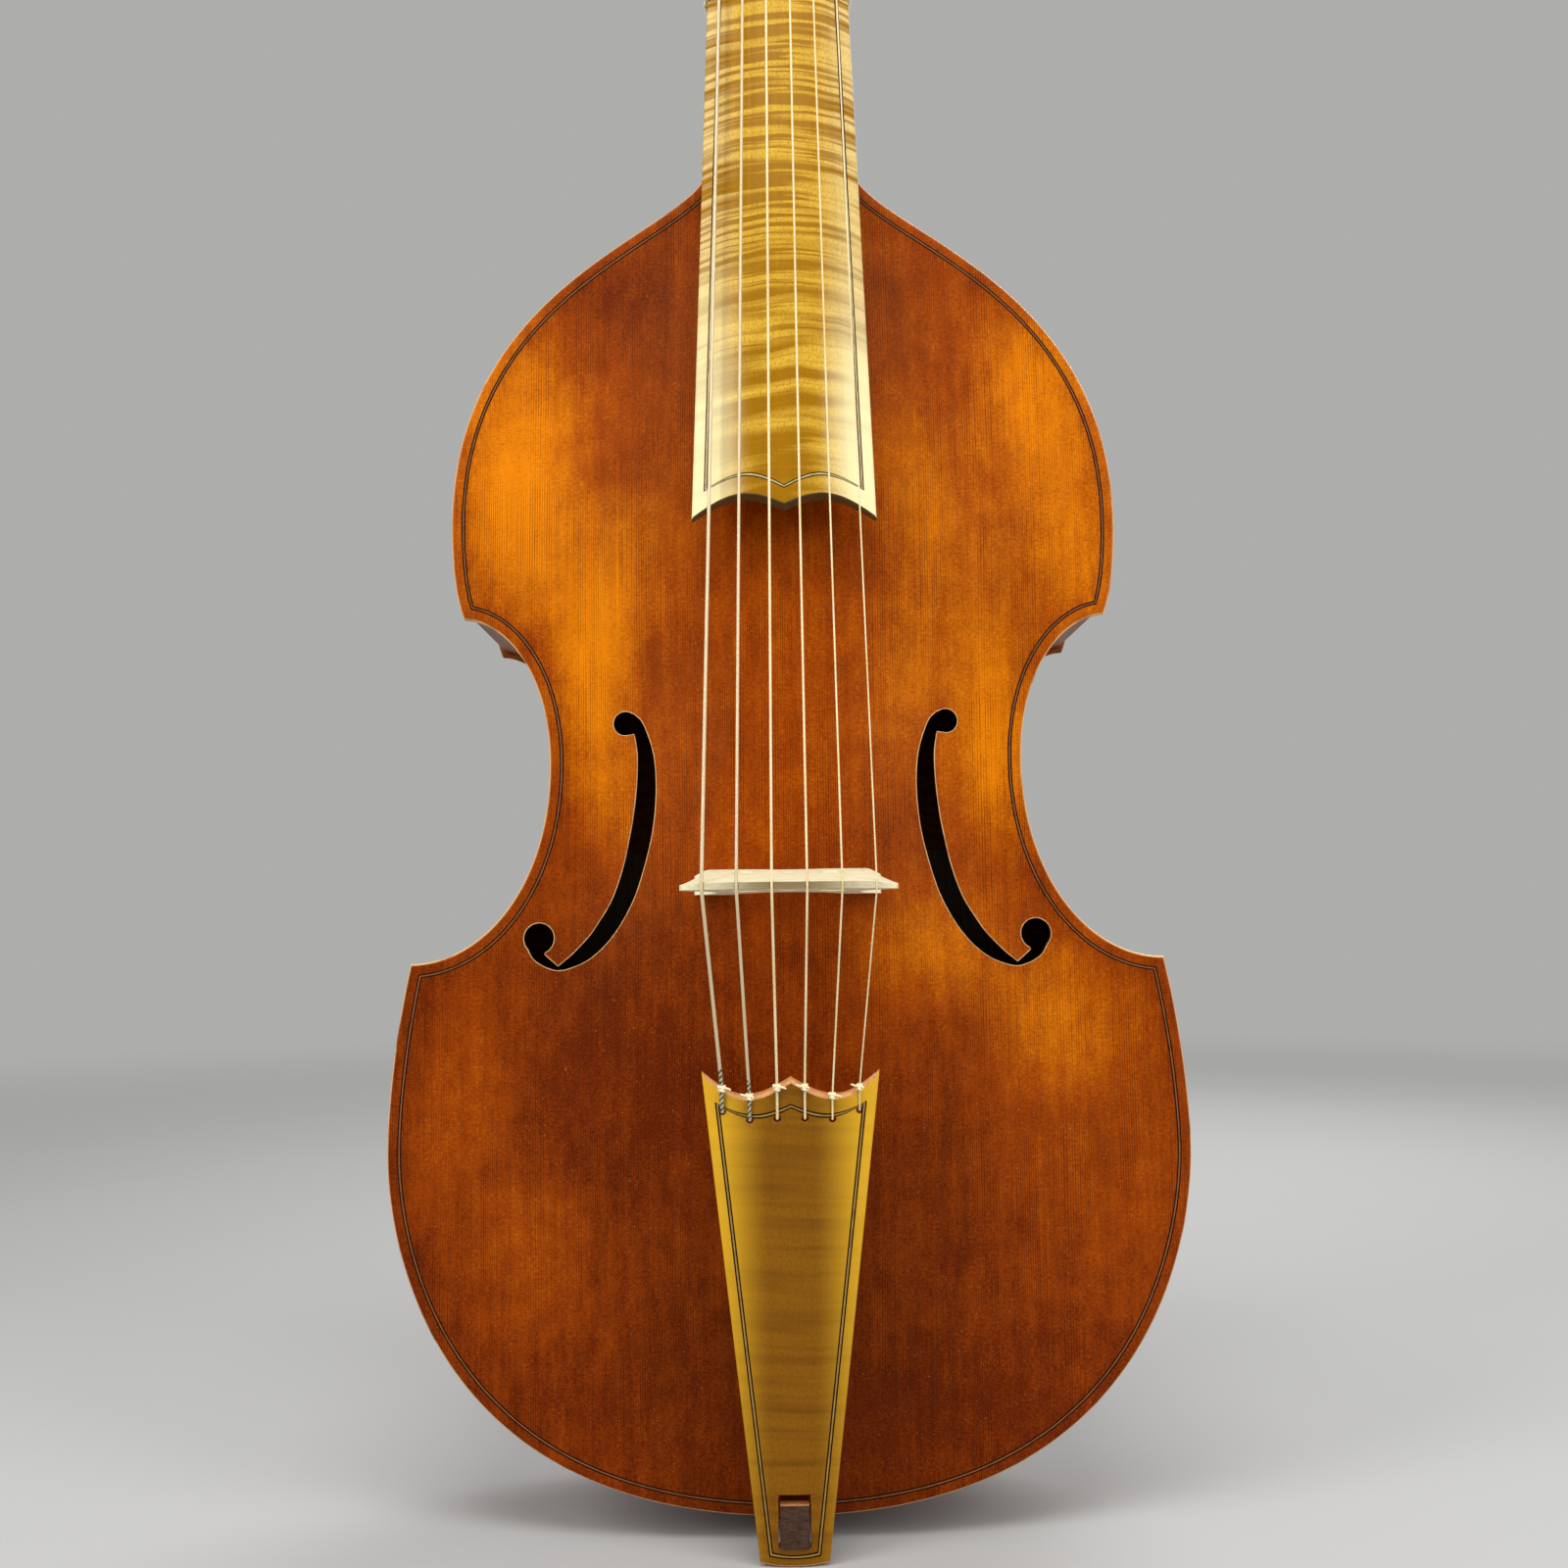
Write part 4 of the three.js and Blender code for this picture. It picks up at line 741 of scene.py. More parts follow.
@dataclass(frozen=True)
class VarnishedSpruce(Finish):
    """Glossy orange varnish over straight grain, with golden and dark patches that are partly the
    varnish's own tone and partly painted light and shade.
    """

    golden: Colour = (0.78, 0.222, 0.001)
    amber: Colour = (0.31, 0.046, 0.001)
    brown: Colour = (0.106, 0.0075, 0.0006)
    # Pale colour of the outer rim: partly wear and partly a painted highlight.
    rim: Colour = (0.92, 0.55, 0.22)
    grain_pitch: float = 1.15
    # Bright patches: partly golden varnish and partly painted light on the arch.
    bright_spots: tuple = (
        (-132, 520, 48, 90, 0.50), (-136, 470, 40, 60, 0.28), (-92, 455, 52, 66, 0.34),
        (66, 503, 34, 60, 0.18), (128, 548, 56, 80, 0.42), (146, 470, 40, 80, 0.34),
        (84, 470, 44, 70, 0.20), (-95, 400, 32, 80, 0.46), (103, 372, 34, 105, 0.47),
        (66, 272, 62, 52, 0.40), (62, 400, 40, 90, 0.22), (-74, 345, 40, 70, 0.12),
        (-160, 190, 36, 90, 0.22), (-122, 128, 46, 62, 0.26), (134, 240, 62, 56, 0.36),
        (138, 180, 72, 130, 0.23), (4, 400, 44, 110, 0.06), (-86, 336, 28, 44, 0.16),
        (180, 150, 22, 120, 0.10), (0, 330, 60, 60, 0.08),
    )
    # Dark patches: partly darker varnish and partly painted shade, as beside the fingerboard.
    dark_spots: tuple = (
        (-66, 510, 20, 44, 0.05), (-87, 600, 44, 40, 0.24), (-72, 222, 80, 115, 0.16),
        (110, 110, 100, 120, 0.04), (30, 45, 200, 70, 0.10), (74, 590, 56, 60, 0.10),
        (-55, 590, 56, 80, 0.14), (-165, 250, 36, 30, 0.10),
    )

    def patches(self, graph: Graph, x: Value, z: Value, spots: tuple) -> Value:
        """Sum of soft oval patches, each as strong as its last number."""
        total = graph.glow(x, z, spots[0][:4]) * spots[0][4]
        for spot in spots[1:]:
            total = total + graph.glow(x, z, spot[:4]) * spot[4]
        return total

    def paint(self, graph: Graph) -> None:
        """Large patches that are partly painted light and shade, grain lines, silk across the grain
        and specks in the varnish.
        """
        place = graph.place()
        x, _, z = graph.axes(place)
        x, z = x * PER_METRE, z * PER_METRE - LIFT
        cloud = graph.noise(place, 24.0, 5.0, 0.68) - 0.5
        streaks = graph.grain(x * 0.16, 0.0, z * 0.014, 4.0, 0.65) - 0.5
        blots = graph.grain(x * 0.11, 4.0, z * 0.07, 3.0, 0.6) - 0.5
        cloth = graph.grain(x * 0.55, 8.0, z * 0.75, 2.0, 0.7) - 0.5
        level = z.step(160.0, 480.0) * 0.20 + 0.22
        level = level + cloud * 0.46 + streaks * 0.34 + blots * 0.38 + cloth * 0.55
        # Painted light and shade: the bright and dark patches raise and lower the tone.
        level = level + self.patches(graph, x, z, self.bright_spots)
        level = level - self.patches(graph, x, z, self.dark_spots)
        body = graph.blend(self.brown, self.amber, level.step(0.0, 0.5))
        body = graph.blend(body, self.golden, level.step(0.35, 1.05))
        wander = graph.grain(x * 0.02, 0.0, z * 0.003)
        pitch = graph.grain(x * 0.03, 7.0, 0.0)
        line = (
            (x + wander * 4.0 + pitch * 9.0) * (2 * math.pi / self.grain_pitch)
        ).sine() * 0.5 + 0.5
        late = line ** 3.0
        strength = graph.grain(x * 0.8, 0.0, z * 0.01)
        shown = graph.grain(x * 0.022, 9.0, z * 0.016).step(0.38, 0.62) * 0.6 + 0.4
        silk = graph.grain(x * 0.35, 3.0, z * 1.4, 3.0, 0.7)
        colour = graph.tinted(body, (0.24, 0.10, 0.08), late * strength.step(0.15, 0.7) * shown)
        weave = graph.grain(x * 0.9, 11.0, z * 2.6, 2.0, 0.6)
        colour = graph.tinted(colour, (0.62, 0.46, 0.38), silk.step(0.42, 0.72) * 0.5)
        colour = graph.blend(colour, self.golden, weave.step(0.56, 0.76) * 0.3)
        _, inset = graph.uv()
        # Darker band just inside the purfling.
        inner_band = inset.step(6.0, 7.0) * (1.0 - inset.step(7.4, 15.0))
        inner_band_noise = graph.grain(x * 1.1, 5.0, z * 0.12, 3.0, 0.6)
        colour = graph.tinted(colour, (0.40, 0.22, 0.20), inner_band * inner_band_noise.step(0.42, 0.72) * 0.6)
        specks = graph.noise(place, 900.0, 2.0, 0.7)
        colour = graph.blend(colour, (0.95, 0.50, 0.12), specks.step(0.70, 0.76) * 0.35)
        # Pale rim along the outer edge, broken by noise: partly worn varnish and partly a painted
        # highlight.
        rim_break = graph.noise(place, 60.0, 3.0)
        lit_mask = (1.0 - inset.step(0.2, 1.1)) * rim_break.step(0.2, 0.5)
        colour = graph.blend(colour, self.rim, lit_mask * 0.85)
        height = late * 0.5 + silk * 0.3 + graph.noise(place, 240.0, 2.0) * 0.4
        rough = 0.30 + silk * 0.14 + specks * 0.08
        graph.surface(
            colour, rough, graph.bump(height, 0.05, 0.6), Coat_Weight=0.02, Coat_Roughness=0.2,
            Specular_IOR_Level=0.26, Specular_Tint=(1.0, 0.50, 0.12),
        )


@dataclass(frozen=True)
class FlamedMaple(Finish):
    """Maple with flames across the grain, bare or varnished."""

    light: Colour = (0.70, 0.43, 0.042)
    dark: Colour = (0.32, 0.138, 0.002)
    pore: Colour = (0.22, 0.11, 0.008)
    flame_pitch: float = 11.0
    flame_depth: float = 1.0
    sway: float = 9.0
    roughness: float = 0.36
    coat: float = 0.03
    level: float = 0.28
    tint: Colour = (1.0, 0.80, 0.40)
    bow: float = 0.0
    slant: float = 0.04
    mirrored: bool = False
    upper_shade: float = 0.0
    fine_share: float = 0.5
    along_uv: bool = False
    # Painted highlight towards the edges: colour, start and stop of the distance from the middle,
    # strength, and the heights over which it fades.
    pale_edge: Optional[tuple] = None

    def paint(self, graph: Graph) -> None:
        """Bands of uneven width and spacing, fine grain along the piece, short flecks, and where
        asked a painted highlight towards the edges.
        """
        place = graph.place()
        x, y, z = graph.axes(place)
        x, y, z = x * PER_METRE, y * PER_METRE, z * PER_METRE
        side = x.size() if self.mirrored else x
        along, across = graph.uv() if self.along_uv else (z, side + y * 0.35)
        bend = graph.grain(along * 0.012, across * 0.02, 5.0)
        along = along + across * across * self.bow
        phase = (along + bend * self.sway + across * self.slant) / self.flame_pitch
        broad = graph.grain(phase * 1.3, across * 0.006, 0.0, 1.5, 0.5).step(0.46, 0.62)
        fine = graph.grain(phase * 4.2, across * 0.014, 5.0, 2.0, 0.5).step(0.46, 0.62)
        group = graph.grain(phase * 0.45, across * 0.012, 9.0).step(0.34, 0.56)
        tone = graph.grain(along * 0.02, across * 0.03, 2.0, 3.0)
        broad, fine = broad * 0.7, fine * group * self.fine_share
        if self.upper_shade:
            high = z.step(540.0, 650.0)
            wide = graph.grain(phase * 0.8, across * 0.01, 7.0, 1.0).step(0.40, 0.60)
            wide = wide * 0.72
            broad = wide + (broad + self.upper_shade - wide) * high
            fine = fine * (0.3 + high * 0.7)
        factor = (broad + fine) * self.flame_depth + tone * 0.4 - 0.14
        colour = graph.blend(self.light, self.dark, factor)
        grain = graph.grain(along * 0.05, across * 2.2, 1.0, 3.0, 0.6)
        colour = graph.tinted(colour, (0.70, 0.58, 0.42), grain.step(0.45, 0.75) * 0.4)
        fleck = graph.grain(along * 0.55, across * 0.9, 4.0, 2.0, 0.7)
        colour = graph.blend(colour, self.pore, fleck.step(0.47, 0.68) * 0.5)
        # Painted highlight: lighter towards the edges, where the crown faces the side lamps; weaker
        # up the piece and over dark flames.
        if self.pale_edge:
            pale, start, stop, share, low, high = self.pale_edge
            up = z.step(low, high)
            fade = (1.0 - up * 0.6) * (1.0 - factor * (0.12 + up * 0.4))
            colour = graph.blend(colour, pale, x.size().step(start, stop) * fade * share)
        rough = self.roughness + grain * 0.12 - broad * 0.06
        normal = graph.bump(grain * 0.4 + fine * 0.3, 0.04, 0.5)
        graph.surface(
            colour, rough, normal, Coat_Weight=self.coat, Coat_Roughness=0.14,
            Specular_IOR_Level=self.level, Specular_Tint=self.tint,
        )


@dataclass(frozen=True)
class BareWood(Finish):
    """Unvarnished wood with grain along one direction."""

    light: Colour = (0.72, 0.56, 0.34)
    dark: Colour = (0.52, 0.36, 0.18)
    roughness: float = 0.62
    pitch: float = 1.6
    stretch: tuple = (1.0, 1.0, 0.05)
    rubbed: Optional[tuple[float, float]] = None

    def paint(self, graph: Graph) -> None:
        """Grain, cloudy tone, small flecks, and a greyed crown for a rise and radius: partly graphite
        rub and partly painted shade.
        """
        place = graph.place()
        x, y, z = graph.axes(place)
        sx, sy, sz = (PER_METRE * s / self.pitch for s in self.stretch)
        grain = graph.grain(x * sx, y * sy, z * sz, 3.0, 0.6)
        cloud = graph.noise(place, 25.0, 3.0)
        fleck = graph.grain(x * sx * 2.5, y * sy * 2.5, z * sz * 6.0)
        colour = graph.blend(self.light, self.dark, grain.step(0.35, 0.7) * 0.8 + cloud * 0.25)
        colour = graph.tinted(colour, (0.62, 0.48, 0.34), fleck.step(0.62, 0.72) * 0.5)
        # Grey strip along the crown's front: partly graphite rub and partly painted shade.
        if self.rubbed:
            rise, radius = self.rubbed
            depth = y * PER_METRE + rise - x * x * (PER_METRE**2 / (2 * radius))
            middle = 1.0 - (x * PER_METRE).size().step(8.0, 40.0) * 0.6
            colour = graph.tinted(colour, (0.26, 0.20, 0.12), (1.0 - depth.step(0.5, 1.3)) * middle)
        rough = self.roughness + grain * 0.15
        graph.surface(colour, rough, graph.bump(grain + fleck * 0.4, 0.06, 0.6))


@dataclass(frozen=True)
class DarkWood(Finish):
    """Oiled dark hardwood, rubbed lighter in places."""

    light: Colour = (0.085, 0.042, 0.024)
    dark: Colour = (0.03, 0.013, 0.009)

    def paint(self, graph: Graph) -> None:
        """Streaks along the piece, pores and a soft polish."""
        place = graph.place()
        x, y, z = graph.axes(place)
        streak = graph.grain(x * 300.0, y * 900.0, z * 900.0, 4.0, 0.65)
        pores = graph.grain(x * 500.0, y * 2600.0, z * 2600.0)
        colour = graph.blend(self.dark, self.light, streak.step(0.3, 0.75))
        colour = graph.tinted(colour, (0.4, 0.35, 0.3), pores.step(0.6, 0.7) * 0.7)
        rough = 0.28 + streak * 0.16
        normal = graph.bump(streak * 0.5 + pores * 0.5, 0.03, 0.5)
        graph.surface(colour, rough, normal, Specular_IOR_Level=0.3, Specular_Tint=(1.0, 0.8, 0.65))


@dataclass(frozen=True)
class InlayLine(Finish):
    """Strip of a pale wood between two dark lines."""

    pale: Colour = (0.42, 0.27, 0.12)
    dark: Colour = (0.008, 0.004, 0.003)
    line_share: float = 0.3

    def paint(self, graph: Graph) -> None:
        """Bands across the strip, with small breaks of tone along it."""
        u, v = graph.uv()
        ragged = graph.grain(u * 0.9, v * 0.5, 0.0) * 0.08 - 0.04
        side = (v - 0.5).size() + ragged
        line = side.step(0.5 - self.line_share - 0.05, 0.5 - self.line_share + 0.05)
        tone = graph.grain(u * 0.25, v, 3.0, 3.0)
        pale = graph.tinted(self.pale, (0.55, 0.45, 0.35), tone.step(0.4, 0.7) * 0.6)
        graph.surface(
            graph.blend(pale, self.dark, line), 0.45 + tone * 0.1, None, Specular_IOR_Level=0.1,
            Specular_Tint=(1.0, 0.6, 0.3),
        )


@dataclass(frozen=True)
class Gut(Finish):
    """Twisted gut, cream and slightly clear."""

    pale: Colour = (0.84, 0.73, 0.43)
    warm: Colour = (0.66, 0.47, 0.19)
    pitch: float = 3.0
    roughness: float = 0.33

    def paint(self, graph: Graph) -> None:
        """Slanted strands round the string and drifts of colour along it."""
        u, v = graph.uv()
        strand = ((u * (1 / self.pitch) + v * 0.35) * (2 * math.pi)).sine() * 0.5 + 0.5
        drift = graph.grain(u * 0.03, v * 0.2, 0.0, 3.0)
        colour = graph.blend(self.pale, self.warm, strand * 0.3 + drift.step(0.35, 0.7) * 0.5)
        rough = self.roughness + drift * 0.1
        graph.surface(
            colour, rough, graph.bump(strand, 0.04, 0.5), Coat_Weight=0.05, Coat_Roughness=0.2,
        )


@dataclass(frozen=True)
class WoundGut(Finish):
    """Gut wound with fine wire."""

    wire: Colour = (0.80, 0.67, 0.42)
    shade: Colour = (0.36, 0.27, 0.14)
    pitch: float = 0.35

    def paint(self, graph: Graph) -> None:
        """Turns of wire with a dark line between them."""
        u, v = graph.uv()
        turn = ((u * (1 / self.pitch)) * (2 * math.pi)).sine() * 0.5 + 0.5
        drift = graph.grain(u * 0.05, v * 0.3, 0.0)
        colour = graph.blend(self.shade, self.wire, turn.step(0.05, 0.55) * 0.8 + drift * 0.2)
        graph.surface(colour, 0.28 + drift * 0.12, graph.bump(turn, 0.05, 0.6), Metallic=0.25)


@dataclass(frozen=True)
class PlainGround(Finish):
    """Pale floor of the studio, which fades out before its edge."""

    colour: Colour = (0.46, 0.46, 0.455)
    other: Colour = (0.49, 0.49, 0.485)
    fade: tuple[float, float] = (0.7, 3.4)

    def paint(self, graph: Graph) -> None:
        """Matt, with the faintest mottling."""
        place = graph.place()
        x, y, _ = graph.axes(place)
        away = (x * x + y * y) ** 0.5
        cloud = graph.noise(place, 2.0, 3.0)
        graph.surface(
            graph.blend(self.colour, self.other, cloud), 0.85, None,
            Alpha=1.0 - away.step(*self.fade),
        )


BELLY_VARNISH = VarnishedSpruce("belly_varnish", Slot.BELLY)
RED_MAPLE = dict(
    light=(0.27, 0.060, 0.005), dark=(0.085, 0.013, 0.002), pore=(0.04, 0.008, 0.003),
    roughness=0.32, coat=0.04, tint=(1.0, 0.65, 0.35), level=0.22, flame_depth=0.6,
)
RIB_VARNISH = FlamedMaple(
    "rib_varnish", Slot.RIB, flame_pitch=12.0, sway=5.0, along_uv=True, **RED_MAPLE,
)
BACK_VARNISH = FlamedMaple(
    "back_varnish", Slot.RIB, flame_pitch=10.0, sway=14.0, slant=0.22, mirrored=True, **RED_MAPLE,
)
NECK_VARNISH = FlamedMaple("neck_varnish", Slot.RIB, flame_pitch=9.0, **RED_MAPLE)
BOARD_MAPLE = FlamedMaple(
    "board_maple", Slot.PALE, flame_pitch=10.0, flame_depth=1.3, bow=0.0035, upper_shade=0.12,
    fine_share=0.9, level=0.16, tint=(1.0, 0.70, 0.10),
    # Painted highlight along both edges of the board.
    pale_edge=((0.92, 0.83, 0.48), 15.0, 37.0, 0.92, 520.0, 640.0),
)
TAIL_MAPLE = FlamedMaple(
    "tail_maple", Slot.PALE, light=(0.25, 0.095, 0.001), dark=(0.14, 0.044, 0.0005),
    pore=(0.12, 0.05, 0.001), flame_depth=0.6, sway=4.0,
    # Painted highlight towards the tailpiece's edges.
    pale_edge=((0.82, 0.45, 0.02), 9.0, 38.0, 0.9, 1500.0, 1600.0),
)
# Very dark end walls of the board: partly end grain and partly painted shade.
BOARD_END_SHADED = BareWood(
    "board_end_grain", Slot.PALE, light=(0.13, 0.07, 0.014), dark=(0.06, 0.03, 0.006),
    roughness=0.5,
)
TAIL_END = BareWood(
    "tail_end_grain", Slot.PALE, light=(0.74, 0.36, 0.13), dark=(0.55, 0.22, 0.06), roughness=0.5,
)
# Near-black walls of the sound holes: partly stain and partly painted shade.
HOLE_WALL_SHADED = BareWood(
    "hole_wall", Slot.BELLY, light=(0.035, 0.016, 0.008), dark=(0.012, 0.006, 0.004),
)
HOLE_EDGE = BareWood("hole_edge", Slot.BELLY, light=(0.78, 0.50, 0.22), dark=(0.50, 0.26, 0.08))
# Inner pieces darkened partly for aged wood and partly as painted shade inside the body.
SHADED_SPRUCE = BareWood(
    "bare_spruce", Slot.SPRUCE, light=(0.20, 0.12, 0.06), dark=(0.11, 0.06, 0.028),
)
BRIDGE_MAPLE = BareWood(
    "bridge_maple", Slot.BRIDGE, light=(0.90, 0.86, 0.60), dark=(0.78, 0.69, 0.42),
    roughness=0.5, pitch=1.1, stretch=(0.08, 1.0, 1.0), rubbed=(88.0, 85.0),
)
DARK_WOOD = DarkWood("dark_wood", Slot.DARK)
PURFLING = InlayLine("purfling", Slot.BELLY, pale=(0.24, 0.085, 0.03), line_share=0.34)
BOARD_INLAY = InlayLine("board_inlay", Slot.PALE, pale=(0.56, 0.44, 0.22), line_share=0.30)
TAIL_INLAY = InlayLine("tail_inlay", Slot.PALE, pale=(0.40, 0.24, 0.06), line_share=0.34)
GUT = Gut("gut", Slot.GUT)
KNOT_GUT = Gut("knot_gut", Slot.GUT, pale=(0.88, 0.80, 0.52), warm=(0.76, 0.60, 0.30), pitch=1.5)
WOUND = WoundGut("wound_gut", Slot.WOUND)
TWIST = WoundGut(
    "twisted_end", Slot.WOUND, wire=(0.10, 0.13, 0.09), shade=(0.008, 0.010, 0.008), pitch=1.8,
)
FLOOR = PlainGround("floor", Slot.SPRUCE)


# Body


@dataclass(frozen=True)
class BodyForm:
    """Outline, arch and fold that the body's pieces share."""

    length: float = 666.0
    lower_width: float = 392.0
    lower_height: float = 172.9
    lower_corner: tuple[float, float] = (185.4, 263.9)
    waist_width: float = 234.8
    waist_height: float = 361.4
    upper_corner: tuple[float, float] = (160.4, 435.0)
    upper_width: float = 334.0
    upper_height: float = 483.8
    root_width: float = 76.0
    depth: float = 117.0
    root_depth: float = 80.0
    fold_height: float = 500.0
    arch_height: float = 18.0
    flat_edge: float = 10.0
    low_rise: float = 173.0
    high_rise: float = 200.0
    spine_low: float = 46.0
    spine_high: float = 636.0
    belly_thickness: float = 4.5
    back_thickness: float = 4.0
    overhang: float = 3.0
    purfling_inset: float = 6.1
    purfling_width: float = 2.0
    handle_shares: tuple = (
        (0.933, 0, 1, 0.821),
        (0, 0.326, 0.481, 0.731),
        (0.534, 0, 1, 0.405),
        (0, 0.643, 0.551, 0.996),
        (0.8, 0.244, 1, 0.676),
        (0, 0.688, 0.904, 0.826),
    )
    steps: tuple = (76, 30, 44, 40, 18, 72)

    def nodes(self) -> Array:
        """Ends of the outline's curves, from the bottom to the neck's root."""
        return np.array([
            (0, 0),
            (self.lower_width / 2, self.lower_height),
            self.lower_corner,
            (self.waist_width / 2, self.waist_height),
            self.upper_corner,
            (self.upper_width / 2, self.upper_height),
            (self.root_width / 2, self.length),
        ], float)

    def curve(self, index: int) -> tuple[Array, Array]:
        """Places and inward normals along one Bezier curve of the right side.

        The curve blends its two ends and two handles by the Bernstein cubics.

        Args:
            index: Number of the curve.

        Returns:
            Places and normals, one row each.
        """
        a, d = self.nodes()[index], self.nodes()[index + 1]
        ax, az, bx, bz = self.handle_shares[index]
        b, c = mix(a, d, np.array([ax, az])), mix(a, d, np.array([bx, bz]))
        t = spaced(0, 1, self.steps[index] + 1)[:, None]
        place = a * (1 - t) ** 3 + 3 * b * t * (1 - t) ** 2 + 3 * c * t**2 * (1 - t) + d * t**3
        along = unit((b - a) * (1 - t) ** 2 + 2 * (c - b) * t * (1 - t) + (d - c) * t**2)
        return place, points(-along[:, 1], along[:, 0])

    def run(self, first: int, last: int) -> tuple[Array, Array]:
        """Places and normals from one curve to another; a corner keeps both its normals."""
        parts = [self.curve(k) for k in range(first, last + 1)]
        return np.concatenate([p for p, _ in parts]), np.concatenate([n for _, n in parts])

    def inset(self, places: Array, normals: Array, distance: float) -> Array:
        """Line at a distance inside a run of the outline.

        Places that pass the bisector of a corner are gathered on the corner's mitre.

        Args:
            places: Places of the outline.
            normals: Their inward normals.
            distance: Distance from the outline.

        Returns:
            As many places inside it.
        """
        moved = places + normals * distance
        gaps = np.linalg.norm(np.diff(places, axis=0), axis=1)
        turns = (normals[1:] * normals[:-1]).sum(1)
        for k in np.flatnonzero((gaps < WELD) & (turns < 0.9)):
            before, after, corner = normals[k], normals[k + 1], places[k]
            mitre = (before + after) / (1 + before @ after)
            tip = corner + mitre * distance
            near = np.linalg.norm(places - corner, axis=1) < 2.5 * distance + 1
            for part, own in ((slice(0, k + 1), 1), (slice(k + 1, None), -1)):
                offset = moved[part] - corner
                side = mitre[0] * offset[:, 1] - mitre[1] * offset[:, 0]
                passed = near[part] & (side * own * self.turn_sense(before, after) < 0)
                moved[part][passed] = tip
            moved[k] = moved[k + 1] = tip
        return moved

    @staticmethod
    def turn_sense(before: Array, after: Array) -> float:
        """Sense of a corner's turn: 1 to the left and -1 to the right."""
        return float(np.sign(before[0] * after[1] - before[1] * after[0]))

    def side(self) -> tuple[Array, Array]:
        """Whole right side, with the level top to the middle line."""
        places, normals = self.run(0, len(self.steps) - 1)
        top = points(spaced(self.root_width / 2, 0, 14), self.length)
        down = np.tile([0.0, -1.0], (14, 1))
        return np.concatenate([places, top]), np.concatenate([normals, down])

    def loop(self, distance: float) -> Array:
        """Closed line at a distance inside the whole outline."""
        right = self.inset(*self.side(), distance)
        right[0, 0] = right[-1, 0] = 0.0
        left = right[-2:0:-1] * MIRROR
        return np.concatenate([right, left])

    def half_width(self, z: Array) -> Array:
        """Half width of the outline at a height."""
        places, _ = self.run(0, len(self.steps) - 1)
        return np.interp(z, places[:, 1], places[:, 0])

    def arch(self, x: Array, z: Array) -> Array:
        """Height of the belly's arch.

        A cosine hump across the body, eased up from the lower and the upper end. Its half width
        eases from the lower bout to the waist and to the upper bout.
        """
        widths = (self.lower_width, self.waist_width, self.upper_width)
        lower, waist, upper = (width / 2 - self.flat_edge for width in widths)
        below = mix(
            lower, waist, ease((z - self.lower_height) / (self.waist_height - self.lower_height)),
        )
        above = mix(
            waist, upper, ease((z - self.waist_height) / (self.upper_height - self.waist_height)),
        )
        blended = np.where(z < self.waist_height, below, above)
        across = np.maximum(np.minimum(blended, self.half_width(z) - self.flat_edge), 1e-3)
        low = ease((z - self.flat_edge) / self.low_rise)
        high = ease((self.length - self.flat_edge - z) / self.high_rise)
        hump = (1 + np.cos(np.pi * np.clip(np.abs(x) / across, 0, 1))) / 2
        return self.arch_height * low * high * hump

    def belly_front(self, x: Array, z: Array) -> Array:
        """Depth of the belly's outer face."""
        return -self.arch(x, z)

    def back_rear(self, x: Array, z: Array) -> Array:
        """Depth of the back's outer face, with a fold eased over a few millimetres."""
        slope = (self.depth - self.root_depth) / (self.length - self.fold_height)
        over = z - self.fold_height
        bend = 3.0
        return self.depth - slope * (over + np.sqrt(over * over + bend * bend)) / 2 + 0 * x

    def plate(self, front: Depth, thickness: float, rims: tuple[float, float], rings: int) -> Shape:
        """Closed plate over the whole outline with rounded edges.

        Rows follow the outline. Columns run from the middle line out to the edge over the
        front, round the edge on two quarter circles, and back over the rear.

        Args:
            front: Depth of the front face.
            thickness: Thickness of the plate.
            rims: Radius of the front and of the rear edge.
            rings: Columns between the flat margin and the middle line.

        Returns:
            The plate, with its inset from the outline in V.
        """
        margin, spine_inset = 12.0, 60.0
        edge, outline = self.loop(margin), self.loop(0.0)
        steps = np.linalg.norm(outline - np.roll(outline, 1, 0), axis=1)
        half = len(outline) // 2
        arc = np.cumsum(steps)[: half + 1] / np.cumsum(steps)[half]
        arc = np.concatenate([arc, arc[-2:0:-1]])
        along = mix(outline[:, 1] / self.length, arc, 0.25)
        spine = points(0.0, mix(self.spine_low, self.spine_high, along))
        columns, insets = [], []

        def add(plan: Array, drop: float, inset: float) -> None:
            columns.append(points(plan[:, 0], front(plan[:, 0], plan[:, 1]) + drop, plan[:, 1]))
            insets.append(inset)

        for share in spaced(1, 0, rings + 1):
            add(mix(edge, spine, share), 0.0, margin + share * spine_inset)
        for distance in (10.0, 8.0, 6.0, 4.0):
            add(self.loop(distance), 0.0, distance)
        quarter = spaced(0, np.pi / 2, 5)
        for a in quarter:
            distance = rims[0] * (1 - np.sin(a))
            add(self.loop(distance), rims[0] * (1 - np.cos(a)), distance)
        for a in quarter[::-1]:
            distance = rims[1] * (1 - np.sin(a))
            add(self.loop(distance), thickness - rims[1] * (1 - np.cos(a)), distance)
        for distance in (5.0, 10.0):
            add(self.loop(distance), thickness, distance)
        for share in spaced(0, 1, rings // 2 + 1):
            add(mix(edge, spine, share), thickness, margin + share * spine_inset)
        return Shape.grid(
            np.stack(columns, 1), loop_rows=True, across=np.array(insets + [0.0]),
        ).closed()

    def purfling(self, surface: Depth) -> Shape:
        """Inlaid strip that follows the whole outline."""
        half = self.purfling_width / 2
        outer, inner = (self.loop(self.purfling_inset + side) for side in (-half, half))
        return ribbon(outer, inner, surface, closed=True)


FORM = BodyForm()


